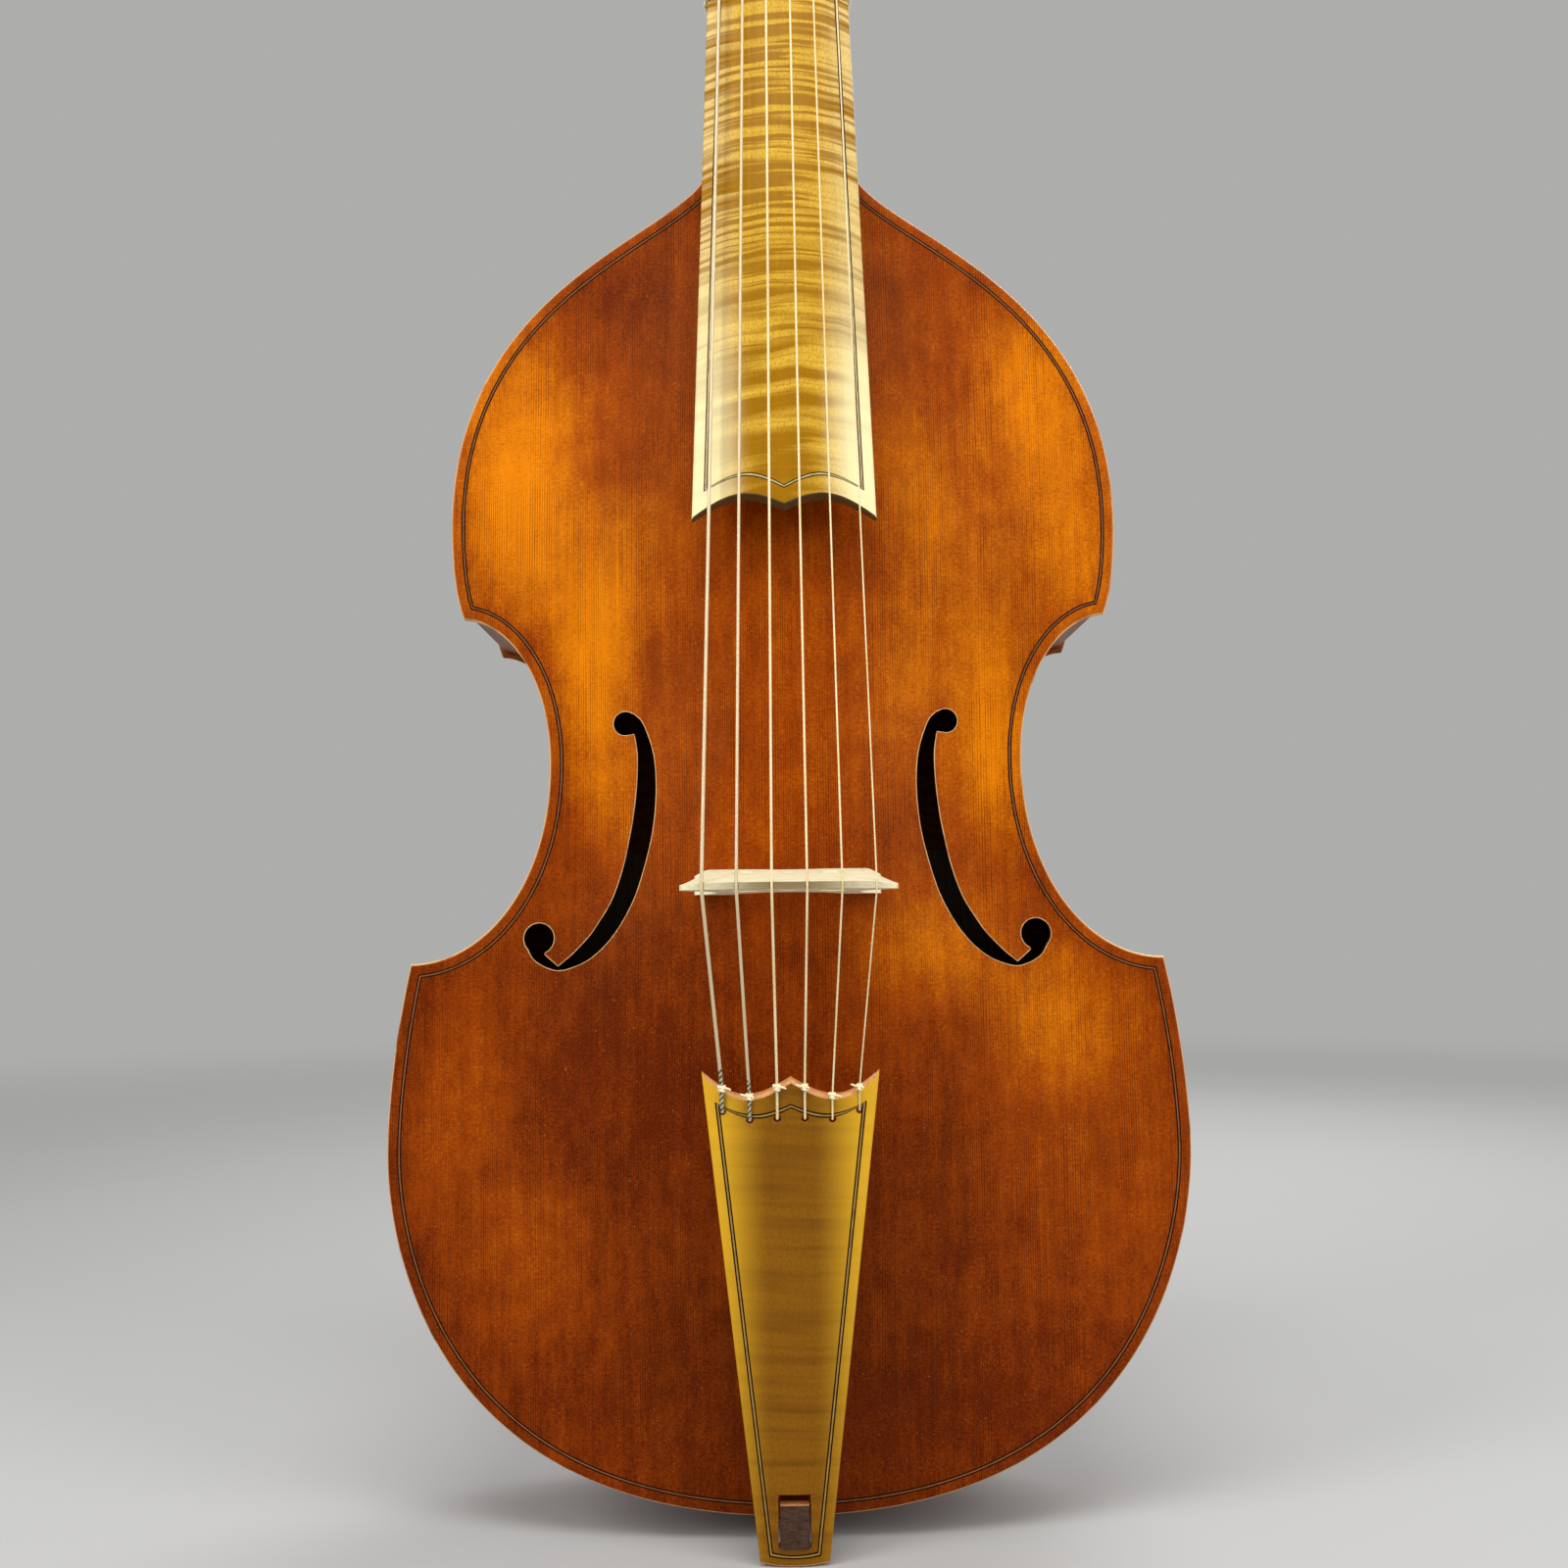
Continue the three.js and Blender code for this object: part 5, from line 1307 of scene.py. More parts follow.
@dataclass(frozen=True)
class Belly:
    """Arched belly with its sound holes and purfling."""

    rims: tuple[float, float] = (1.7, 1.0)
    rings: int = 34
    hole_inset: float = 64.5
    hole_foot: float = 260.5
    top_eye: tuple[float, float, float] = (15.0, 120.9, 6.05)
    top_eye_turn: tuple[float, float] = (-90.0, 125.0)
    bottom_eye: tuple[float, float, float] = (57.7, 15.3, 7.65)
    bottom_eye_turn: tuple[float, float] = (-42.0, 245.0)
    convex_line: tuple = (
        (10.7, 125.7), (6.6, 121.8), (3.6, 115.0), (1.4, 108.0), (0, 100), (-0.5, 87), (0.6, 72),
        (3.2, 58), (9, 38), (15.1, 25), (21.8, 15), (28.6, 8), (36, 3), (46.5, -0.4), (54, 1.1),
        (60.3, 5), (63.4, 10.2),
    )
    tongue: tuple = ((54.8, 7.6), (48.1, 1.8))
    concave_line: tuple = (
        (41.7, 7), (34.8, 14), (30.7, 19), (23.1, 31), (19.2, 40), (15.8, 51), (13.4, 62), (11.2, 74),
        (9.4, 90), (9.0, 105), (10.5, 115.4),
    )
    edge_line: float = 0.2
    overcut: float = 8.0

    def hole(self, side: Side) -> Array:
        """Closed outline of one sound hole: x and z."""

        def arc(eye: tuple[float, float, float], turn: tuple[float, float]) -> Array:
            angle = np.radians(spaced(*turn, 44))
            return points(eye[0] + eye[2] * np.cos(angle), eye[1] + eye[2] * np.sin(angle))

        line = np.concatenate([
            spline(np.array(self.convex_line, float), 6)[:-1],
            arc(self.bottom_eye, self.bottom_eye_turn),
            np.array(self.tongue),
            spline(np.array(self.concave_line, float), 6),
            arc(self.top_eye, self.top_eye_turn),
        ])
        return (line + np.array([self.hole_inset, self.hole_foot])) * points(side.value, 1)

    def cutter(self, contour: Array) -> Shape:
        """Prism through the plate over a contour of x and z."""
        front, rear = -FORM.arch_height - self.overcut, FORM.belly_thickness + self.overcut
        return prism(contour, lambda c, share: points(c[:, 0], mix(front, rear, share), c[:, 1]))

    def build(self) -> None:
        """Makes the plate, the bare edges of its holes and its purfling."""
        plate = FORM.plate(FORM.belly_front, FORM.belly_thickness, self.rims, self.rings)
        holes = {side: self.hole(side) for side in Side}
        cutters = [self.cutter(hole) for hole in holes.values()]
        Bench.piece(
            "belly_plate", plate, [BELLY_VARNISH], ["belly"], cutters=cutters, cut_finish=HOLE_WALL_SHADED,
        )
        for side, hole in holes.items():
            line = points(hole[:, 0], FORM.belly_front(hole[:, 0], hole[:, 1]), hole[:, 1])
            edge = tube(line, self.edge_line, 8, (0, 1, 0), closed=True)
            Bench.piece(f"hole_edge_{side.name.lower()}", edge, [HOLE_EDGE])
        Bench.piece("belly_purfling", FORM.purfling(FORM.belly_front), [PURFLING])


@dataclass(frozen=True)
class Back:
    """Flat back with its fold, purfling and middle strip."""

    rims: tuple[float, float] = (1.0, 1.5)
    rings: int = 34
    strip_width: float = 2.6

    def build(self) -> None:
        """Makes the plate and its inlays."""
        front = lambda x, z: FORM.back_rear(x, z) - FORM.back_thickness
        plate = FORM.plate(front, FORM.back_thickness, self.rims, self.rings)
        Bench.piece("back_board", plate, [BACK_VARNISH], ["back_plate"])
        behind = lambda x, z: -FORM.back_rear(x, z)
        turned = lambda v: v * np.array([1.0, -1.0, 1.0])
        Bench.piece("back_purfling", FORM.purfling(behind).moved(turned).closed(), [PURFLING])
        end = FORM.purfling_inset + FORM.purfling_width / 2
        z = spaced(end, FORM.length - end, 120)
        lines = [points(side * self.strip_width / 2, z) for side in (-1, 1)]
        Bench.piece("back_strip", ribbon(*lines, behind).moved(turned).closed(), [PURFLING])


@dataclass(frozen=True)
class Ribs:
    """Six bent ribs that meet in mitres at the corners."""

    thickness: float = 2.0
    front: float = 4.8
    curves: tuple = (("lower", 0, 1), ("middle", 2, 3), ("upper", 4, 5))

    def rib(self, first: int, last: int, side: Side) -> Shape:
        """One rib: a thin wall at a distance inside the outline, from the belly to the back.

        Args:
            first: Its first curve of the outline.
            last: Its last one.
            side: Bass or treble side.

        Returns:
            The closed wall.
        """
        places, normals = FORM.side()
        stops = np.cumsum([0] + [s + 1 for s in FORM.steps])
        rings = []
        for distance in (FORM.overhang, FORM.overhang + self.thickness):
            line = FORM.inset(places, normals, distance)[stops[first] : stops[last + 1]]
            line = line * points(side.value, 1)
            if last == len(FORM.steps) - 1:
                line[-1, 1] = FORM.length
            rear = FORM.back_rear(line[:, 0], line[:, 1]) - FORM.back_thickness - CLEARANCE
            rings.append([points(line[:, 0], y, line[:, 1]) for y in (self.front, rear)])
        outer, inner = rings
        return loft(np.stack([outer[0], inner[0], inner[1], outer[1]], 1))

    def build(self) -> None:
        """Makes the six ribs."""
        for name, first, last in self.curves:
            for side in Side:
                label = f"{name}_{side.name.lower()}"
                Bench.piece(
                    f"side_{label}", self.rib(first, last, side), [RIB_VARNISH], [f"rib_{label}"],
                )


@dataclass(frozen=True)
class InnerWork:
    """Blocks, bars and post inside the body, which keep their CAD shapes."""

    nodes: tuple[str, ...] = (
        "end_block", "neck_block", "corner_block_lower_bass", "corner_block_lower_treble",
        "corner_block_upper_bass", "corner_block_upper_treble", "back_brace_upper",
        "back_brace_lower", "soundpost_plate", "soundpost", "bass_bar",
    )

    def build(self) -> None:
        """Dresses them in bare spruce, darkened partly for age and partly as painted shade inside the
        body.
        """
        for node in self.nodes:
            Bench.dress(node, SHADED_SPRUCE)


# Neck


@dataclass(frozen=True)
class Fingerboard:
    """Crowned board with a scalloped end and inlaid lines."""

    over_body: float = 191.3
    nut_height: float = 990.0
    end_width: float = 88.4
    nut_width: float = 60.4
    end_rise: float = 50.6
    nut_drop: float = 26.7
    crown_radius: float = 95.0
    edge: float = 7.5
    hollow: float = 4.5
    hollow_length: float = 175.3
    turn_rise: float = 9.9
    cusp_rise: float = 4.3
    turn_share: float = 0.43
    inlay_margin: float = 6.4
    inlay_rise: float = 9.0
    inlay_end_lift: float = 5.0
    inlay_width: float = 1.9

    @property
    def end(self) -> float:
        """Height of its lower corners."""
        return FORM.length - self.over_body

    @property
    def slope(self) -> float:
        """Fall of the crown for each millimetre up."""
        return (self.nut_drop + self.end_rise) / (self.nut_height - self.end)

    def share(self, z: Array) -> Array:
        """Share of the board's length at a height."""
        return (z - self.end) / (self.nut_height - self.end)

    def half_width(self, z: Array) -> Array:
        """Half width at a height."""
        return mix(self.end_width, self.nut_width, self.share(z)) / 2

    def front(self, x: Array, z: Array) -> Array:
        """Depth of the crowned face: a straight crown line with a circle across it."""
        return mix(-self.end_rise, self.nut_drop, self.share(z)) + sag(x, self.crown_radius)

    def under(self, x: Array, z: Array) -> Array:
        """Depth of the plane that the underside lies in."""
        at_end = -self.end_rise + sag(self.end_width / 2, self.crown_radius)
        at_nut = self.nut_drop + sag(self.nut_width / 2, self.crown_radius)
        return mix(at_end, at_nut, self.share(z)) + self.edge + 0 * x

    def rear(self, x: Array, z: Array) -> Array:
        """Depth of the underside, hollowed towards the lower end."""
        fade = ease(1 - (z - self.end) / self.hollow_length)
        return self.under(x, z) - self.hollow * fade * (1 - (x / self.half_width(z)) ** 2)

    def low(self, across: Array) -> Array:
        """Height of the scalloped end line."""
        return scallop(
            across, self.end + self.cusp_rise, self.end + self.turn_rise, self.end, self.turn_share,
        )

    def plan(self, u: Array, v: Array) -> tuple[Array, Array]:
        """Places across and up the board."""
        across = 2 * u - 1
        x = across * mix(self.end_width, self.nut_width, v) / 2
        return x, mix(self.low(across), self.nut_height, v)

    def inlay_line(self, shift: float) -> Array:
        """Line inside the board's edges: down one side, along the end, up the other.

        Over the end it keeps the scallop's form, flattened by a parabola that lifts its ends.
        """
        margin, rise = self.inlay_margin + shift, self.inlay_rise + shift
        foot = self.end + rise + self.inlay_end_lift
        z = spaced(self.nut_height - 0.3, foot, 160)
        left = points(-(self.half_width(z) - margin), z)
        across = spaced(-1, 1, 81)
        reach = self.half_width(foot) - margin
        end = points(across * reach, self.low(across) + rise + self.inlay_end_lift * across**2)
        right = left[::-1] * MIRROR
        return np.concatenate([left[:-1], end, right[1:]])

    def build(self) -> None:
        """Makes the board and its inlay."""
        size = (self.nut_width, self.nut_height - self.end)
        board = slab(self.plan, self.front, self.rear, size, (48, 150), 0.7)
        Bench.piece("board", board, [BOARD_MAPLE, BOARD_END_SHADED], ["fingerboard"])
        lines = [self.inlay_line(side * self.inlay_width / 2) for side in (-1, 1)]
        Bench.piece("board_lines", ribbon(*lines, self.front), [BOARD_INLAY])


BOARD = Fingerboard()


@dataclass(frozen=True)
class Neck:
    """Rounded handle that deepens into a heel against the body, and the nut."""

    ledge: float = 0.6
    root_handle: float = 26.0
    nut_handle: float = 22.0
    heel_length: float = 62.0
    beyond_nut: float = 1.0
    heel_fall: float = 2.2
    roundness: float = 2.3
    squareness: float = 2.7
    nut_length: float = 6.0
    nut_rise: float = 2.7
    nut_spread: float = 51.4

    @property
    def base(self) -> float:
        """Height where the neck meets the body."""
        return FORM.length + CLEARANCE

    @property
    def end(self) -> float:
        """Height of the neck's upper end."""
        return BOARD.nut_height + self.nut_length + self.beyond_nut

    def plane(self, z: Array) -> Array:
        """Depth of the flat face under the board."""
        return BOARD.under(0 * z, z) + CLEARANCE

    def section(self, z: Array, angle: Array) -> tuple[Array, Array]:
        """Half of a superellipse across the neck.

        Args:
            z: Heights.
            angle: Angles from 0 at the treble side to pi at the bass side.

        Returns:
            Places x and depths y.
        """
        rise = (z - self.base) / self.heel_length
        heel = np.clip(1 - rise, 0, 1)
        handle = mix(self.root_handle, self.nut_handle, (z - self.base) / (self.end - self.base))
        heel_depth = FORM.root_depth - self.plane(np.array(self.base)) - self.root_handle
        depth = handle + heel_depth * heel**self.heel_fall
        power = 2 / (self.roundness + self.squareness * heel * heel)
        board = BOARD.half_width(np.minimum(z, BOARD.nut_height)) - self.ledge
        half = mix(FORM.root_width / 2, board, ease(rise))
        cos, sin = np.cos(angle), np.sin(angle)
        x = half * np.sign(cos) * np.abs(cos) ** power
        return x, self.plane(z) + depth * np.abs(sin) ** power

    def handle(self) -> Shape:
        """Neck from the body to the head."""
        z = np.concatenate([
            self.base + self.heel_length * spaced(0, 1, 40) ** 1.3,
            spaced(self.base + self.heel_length, self.end, 50)[1:],
        ])[:, None]
        angle = spaced(0, np.pi, 49)[None, :]
        x, y = self.section(z, angle)
        flat = spaced(-1, 1, 14)[None, 1:-1]
        x = np.concatenate([x, flat * x[:, :1]], 1)
        y = np.concatenate([y, self.plane(z) + 0 * flat], 1)
        return loft(points(x, y, z))

    def nut_crown(self, x: Array) -> Array:
        """Depth of the nut's crown, parallel to the board's."""
        return BOARD.front(x, BOARD.nut_height) - self.nut_rise

    def nut(self) -> Shape:
        """Nut with a crown parallel to the board's and a notch for each string."""
        half = BOARD.nut_width / 2
        low = BOARD.nut_height + CLEARANCE
        x = spaced(half, -half, 220)
        crown = STRINGS.notched(x, self.nut_crown, self.nut_spread, CLEARANCE, 1)
        seat = self.plane(np.array(low)) - CLEARANCE
        contour = np.concatenate([[[-half, seat], [half, seat]], points(x, crown)])

        def place(c: Array, share: float) -> Array:
            up = share * self.nut_length
            return points(c[:, 0], c[:, 1] + up * BOARD.slope, low + up)

        return prism(contour, place)

    def build(self) -> None:
        """Makes the neck and the nut."""
        Bench.piece("neck_handle", self.handle(), [NECK_VARNISH], ["neck"])
        Bench.piece("nut_block", self.nut(), [DARK_WOOD], ["nut"])


NECK = Neck()


# Head


@dataclass(frozen=True)
class Head:
    """Pegbox with an open front and a scroll on top, in a frame of its own."""

    tilt: float = 0.35
    start_width: float = 62.0
    top_width: float = 36.0
    box_length: float = 150.0
    cheek: float = 6.5
    front_rise: float = 4.0
    start_depth: float = 28.0
    chin_depth: float = 21.0
    chin_length: float = 32.0
    top_depth: float = 26.0
    floor: float = 8.0
    cavity_start: float = 7.0
    cavity_end: float = 143.0
    scroll_depth: float = 3.0
    scroll_above: float = 40.0
    outer_radius: float = 30.0
    eye_radius: float = 7.0
    scroll_width: float = 31.0
    eye_width: float = 54.0
    scroll_turns: float = 2.35
    start_angle: float = -math.pi / 9
    turn_steps: int = 96
    overcut: float = 8.0

    def place(self, x: Array, deep: Array, up: Array) -> Array:
        """Places in the instrument's frame from places in the head's: a turn about X."""
        plane = NECK.plane(np.array(NECK.end))
        foot = NECK.end + CLEARANCE
        sin, cos = math.sin(self.tilt), math.cos(self.tilt)
        return points(x, plane + deep * cos + up * sin, foot - deep * sin + up * cos)

    def turned(self, v: Array) -> Array:
        """Vertices of the head's frame brought to the instrument's."""
        return self.place(*v.T)

    def half_width(self, up: Array) -> Array:
        """Half width of the pegbox at a height."""
        return mix(self.start_width, self.top_width, np.clip(up / self.box_length, 0, 1)) / 2

    @property
    def scroll_height(self) -> float:
        """Height of the scroll's eye over the foot of the head."""
        return self.box_length + self.scroll_above

    def box(self) -> Shape:
        """Pegbox: its side profile carried from cheek to cheek."""
        slant = math.tan(self.tilt)
        radius, angle = self.outer_radius, self.start_angle
        throat = self.scroll_height - radius
        back = spline(np.array([
            (self.chin_depth, self.chin_depth * slant),
            (mix(self.chin_depth, self.start_depth, 0.62), 0.5 * self.chin_length),
            (self.start_depth, self.chin_length),
            (self.start_depth + 0.5, self.box_length / 2),
            (self.top_depth, self.box_length),
            (
                self.scroll_depth + radius * math.cos(angle),
                self.scroll_height + radius * math.sin(angle),
            ),
        ]), 12)
        top = np.array([
            (self.scroll_depth, self.scroll_height),
            (self.scroll_depth + self.eye_radius, throat + self.eye_radius),
            (self.scroll_depth, throat),
            (-self.front_rise, self.box_length),
        ])
        front = points(
            -self.front_rise, spaced(self.box_length, -self.front_rise * slant, 31)[1:],
        )
        contour = np.concatenate([back, top, front])

        def place(c: Array, share: float) -> Array:
            above = np.clip((c[:, 1] - self.box_length) / self.scroll_above, 0, 1)
            half = mix(self.half_width(c[:, 1]), self.scroll_width / 2, above)
            return points((2 * share - 1) * half, c[:, 0], c[:, 1])

        return prism(contour, place).moved(self.turned).closed()

    def cavity(self) -> Shape:
        """Trough between the cheeks, open at the front."""
        slant = math.tan(self.tilt)
        front = -self.front_rise - self.overcut
        corners = np.array([
            (front, self.cavity_start),
            (self.start_depth - self.floor, self.cavity_start + self.start_depth * slant),
            (self.top_depth - self.floor, self.cavity_end),
            (front, self.cavity_end),
        ])

        def place(c: Array, share: float) -> Array:
            return points(
                (2 * share - 1) * (self.half_width(c[:, 1]) - self.cheek), c[:, 0], c[:, 1],
            )

        return prism(corners, place, 2).moved(self.turned).closed()

    def scroll(self) -> Shape:
        """Volute: a band that shrinks by the same share each turn and widens towards its eye.

        Each side is a trough between the band's edge and the riser to the next turn inside.
        """
        chamfer, deepest, dip_share = 1.1, 2.2, 0.16
        steps = round(self.scroll_turns * self.turn_steps)
        turns = np.arange(steps + 1) / self.turn_steps
        shrink = math.log(self.outer_radius / self.eye_radius) / self.scroll_turns
        radius = self.outer_radius * np.exp(-shrink * turns)
        angle = self.start_angle + 2 * np.pi * turns
        half = mix(self.scroll_width, self.eye_width, turns / self.scroll_turns) / 2
        inner = np.append(radius[self.turn_steps :], np.zeros(self.turn_steps))[: steps + 1]
        inner = np.where(turns > self.scroll_turns - 1, 0.0, inner)
        rise = np.append(half[self.turn_steps :], np.full(self.turn_steps, half[-1]))[: steps + 1]
        riser = np.maximum(half, rise) - chamfer / 2
        dip = np.minimum(deepest, (radius - inner) * dip_share)
        span = radius - inner - 2 * chamfer

        def ring(distance: Array, out: Array) -> Array:
            y = self.scroll_depth + distance * np.cos(angle)
            return points(out, y, self.scroll_height + distance * np.sin(angle))

        side = [ring(radius, half - chamfer), ring(radius - chamfer, half)]
        for share in spaced(0.08, 1, 9):
            fall = np.sin(np.pi * min(share, 0.999) ** 0.8) * dip
            side.append(ring(radius - chamfer - span * share, half - fall))
        side += [ring(inner, riser), ring(inner * 0.2, riser)]
        other = [s * np.array([-1, 1, 1]) for s in side[::-1]]
        middle = [ring(radius, half * share) for share in (-0.5, 0.0, 0.5)]
        core = ring(0 * radius, 0 * radius)
        return loft(np.stack([core, *other, *middle, *side, core], 1)).moved(self.turned).closed()

    def build(self) -> None:
        """Makes the pegbox, its bores and the scroll."""
        bores = [PEGS.bore(i) for i in range(STRINGS.count)]
        Bench.piece(
            "pegbox", self.box(), [NECK_VARNISH], ["pegbox_scroll"], cutters=[self.cavity(), *bores],
            bevel=1.0, cut_finish=NECK_VARNISH,
        )
        Bench.piece("scroll", self.scroll(), [NECK_VARNISH])


HEAD = Head()


@dataclass(frozen=True)
class Pegs:
    """Six pegs with a tapered shaft, a collar, a stem and a flat oval head."""

    first: float = 27.0
    spacing: float = 20.0
    depth: float = 8.0
    big: float = 4.7
    small: float = 3.9
    stand_out: float = 2.0
    collar: float = 7.5
    collar_length: float = 5.0
    stem: float = 4.2
    stem_length: float = 7.0
    head_width: float = 25.0
    head_thickness: float = 9.0
    head_length: float = 23.0
    overcut: float = 6.0
    tip: float = 0.5
    stem_waist: float = 0.7
    button: tuple[float, float] = (1.2, 1.0)
    collar_start: tuple = ((0.0, 0.8), (0.3, 0.2))
    collar_finish: tuple = ((1.0, 1.9), (0.4, 1.6), (0.0, 0.6))
    head_shares: tuple = (
        (0.0, 0.34, 0.93), (0.1, 0.58, 0.85), (0.3, 0.95, 1.0), (0.55, 1.0, 0.95), (0.8, 0.8, 0.8),
        (0.94, 0.47, 0.56), (0.985, 0.24, 0.34),
    )

    def height(self, i: int) -> float:
        """Height of a peg over the head's foot: bass and treble pegs take turns."""
        half = STRINGS.count // 2
        order = 2 * i if i < half else 2 * (STRINGS.count - 1 - i) + 1
        return self.first + order * self.spacing

    def side(self, i: int) -> int:
        """Side of a peg's head."""
        return -1 if i < STRINGS.count // 2 else 1

    def reach(self, i: int) -> float:
        """Distance from the middle to the end of the shaft."""
        return float(HEAD.half_width(self.height(i))) + self.stand_out

    def radius(self, i: int, x: Array) -> Array:
        """Radius of the tapered shaft at a place across the pegbox."""
        return mix(self.small, self.big, (x * self.side(i) + self.reach(i)) / (2 * self.reach(i)))

    def bore(self, i: int) -> Shape:
        """Tapered hole through both cheeks."""
        far = (self.reach(i) + self.overcut) * self.side(i)
        x = np.array([-far, far])
        turn = circle(40)
        radius = (self.radius(i, x) + CLEARANCE)[:, None]
        deep = self.depth + radius * np.cos(turn)
        up = self.height(i) + radius * np.sin(turn)
        return loft(HEAD.place(x[:, None], deep, up))

    def peg(self, i: int) -> Shape:
        """One peg as rings along its axis, round on the shaft and oval on the head."""
        reach, side = self.reach(i), self.side(i)
        cheek = float(HEAD.half_width(self.height(i) - self.collar)) + CLEARANCE
        collar_end = cheek + self.collar_length
        head = collar_end + self.stem_length
        wide, thick = self.head_width / 2, self.head_thickness / 2
        rows = [(-reach, self.small - self.tip), (-reach + self.tip, self.small)]
        rows += [(x, float(self.radius(i, x * side))) for x in spaced(-reach + 2, cheek, 12)]
        rows += [(cheek + out, self.collar - fall) for out, fall in self.collar_start]
        rows += [(mix(cheek + 0.5, collar_end - 1.4, k / 8), self.collar) for k in range(9)]
        rows += [(collar_end - 1.1, self.collar - 0.5)]
        rows += [(collar_end - short, self.stem + rise) for short, rise in self.collar_finish]
        for share in spaced(0, 1, 8):
            waist = self.stem_waist * math.sin(math.pi * share)
            rows.append((mix(collar_end + 0.4, head, share), self.stem - waist))
        out, radii = np.array(rows).T
        oval = spline(np.array(self.head_shares), 7)[1:]
        on_head = head + np.append(oval[:, 0], 1.0) * self.head_length
        along = np.concatenate([out, on_head])[:, None]
        half_up = np.concatenate([radii, oval[:, 1] * wide, self.button[:1]])[:, None]
        half_deep = np.concatenate([radii, oval[:, 2] * thick, self.button[1:]])[:, None]
        turn = circle(48)
        deep, up = self.depth + half_deep * np.cos(turn), self.height(i) + half_up * np.sin(turn)
        return loft(HEAD.place(side * along, deep, up))

    def build(self) -> None:
        """Makes the six pegs, each on its own body."""
        for i in range(STRINGS.count):
            number = i + 1
            Bench.piece(
                f"tuning_peg_{number}", self.peg(i), [DARK_WOOD], [f"peg_{number}"],
                Body.PEG.named(number),
            )


PEGS = Pegs()


# Bridge and tail


@dataclass(frozen=True)
class Bridge:
    """Bridge with two feet, an arch, pierced sides and a notched crown."""

    tail_face: float = 296.0
    base: float = 12.0
    top: float = 2.8
    rise: float = 88.0
    radius: float = 85.0
    top_width: float = 98.6
    foot_span: float = 89.4
    foot_width: float = 17.0
    spread: float = 77.7
    swell: float = 2.3
    lean: float = 1.5
    taper_start: float = 37.0
    taper_share: float = 0.36
    crown_share: float = 0.97
    notch_room: float = 0.15
    foot_gap: float = 0.05
    side_hole: tuple[float, float] = (6.2, 7.6)
    heart: float = 4.6
    side_shares: tuple = (
        (0.905, 0.04), (0.82, 0.1), (0.72, 0.21), (0.68, 0.35), (0.71, 0.49), (0.8, 0.59),
        (0.93, 0.65), (1, 0.7),
    )
    arch_shares: tuple = ((0.5, 0.07), (0.42, 0.2), (0.28, 0.32), (0.12, 0.38), (0, 0.39))
    side_hole_shares: tuple[float, float] = (0.4, 0.6)
    heart_shares: tuple[float, float] = (0.0, 0.66)
    hole_ends: tuple[float, float] = (-5.0, 20.0)
    overcut: float = 3.0

    def crown(self, x: Array) -> Array:
        """Height of the crown in front of the belly's edge."""
        return self.rise - sag(x, self.radius)

    def places(self, shares: Any) -> Array:
        """Places x and height from shares of the half width and the height."""
        s = np.atleast_2d(np.asarray(shares, float))
        foot = FORM.arch(np.array(0.0), np.array(self.tail_face))
        return points(s[:, 0] * self.top_width / 2, foot + s[:, 1] * (self.rise - foot))

    def contour(self) -> Array:
        """Outline of the bridge as x and height."""
        inner = self.foot_span / 2 - self.foot_width
        x = spaced(inner, self.foot_span / 2, 24)
        heights = [
            FORM.arch(x, np.full_like(x, self.tail_face + d)) for d in spaced(0, self.base, 5)
        ]
        foot = points(x, np.max(heights, 0) + self.foot_gap)
        side = spline(np.concatenate([foot[-1:], self.places(self.side_shares)]), 8)[1:]
        half = self.top_width / 2 * self.crown_share
        x = spaced(half, -half, 300)
        crown = STRINGS.notched(x, self.crown, self.spread, self.notch_room, -1)
        arch = spline(np.concatenate([foot[:1], self.places(self.arch_shares)]), 8)[1:]
        right = np.concatenate([foot, side])
        return np.concatenate(
            [right, points(x, crown), right[::-1] * MIRROR, arch * MIRROR, arch[-2::-1]]
        )

    def thickness(self, x: Array, height: Array) -> Array:
        """Thickness: full at the foot, and rounded off ever faster towards the crown."""
        end = ease((np.abs(x) - self.taper_start) / (self.top_width / 2 - self.taper_start))
        full = mix(self.base, self.top + self.lean, self.share(x, height) ** self.swell)
        return full * (1 - self.taper_share * end)

    def share(self, x: Array, height: Array) -> Array:
        """Share of the way from the belly to the crown."""
        foot = FORM.arch(np.array(0.0), np.array(self.tail_face))
        return np.clip((height - foot) / (self.crown(x) - foot), 0, 1)

    def carving(self, front: bool) -> Shape:
        """What the maker takes off one side of the blank.

        Args:
            front: Whether it is the fingerboard side, which is rounded, or the leaning tail side.
        """
        reach = self.top_width / 2 + self.overcut
        x = spaced(-reach, reach, 70)[:, None]
        height = spaced(0.0, self.rise + self.overcut, 50)[None, :]
        level = np.minimum(height, self.crown(x))
        depth = self.thickness(x, level) if front else self.lean * self.share(x, level) - 0.01
        surface = points(x, -height, self.tail_face + depth)
        beyond = surface[:, ::-1].copy()
        beyond[:, :, 2] = self.tail_face + (2 if front else -1) * self.base
        return loft(np.concatenate([surface, beyond], 1))

    def hole(self, shares: tuple[float, float], half: tuple[float, float], mirror: int) -> Shape:
        """Oval cut through the bridge."""
        centre = self.places(shares)[0]
        turn = circle(48)
        x = mirror * centre[0] + half[0] * np.cos(turn)
        y = -(centre[1] + half[1] * np.sin(turn))
        return loft(np.stack([points(x, y, self.tail_face + end) for end in self.hole_ends]))

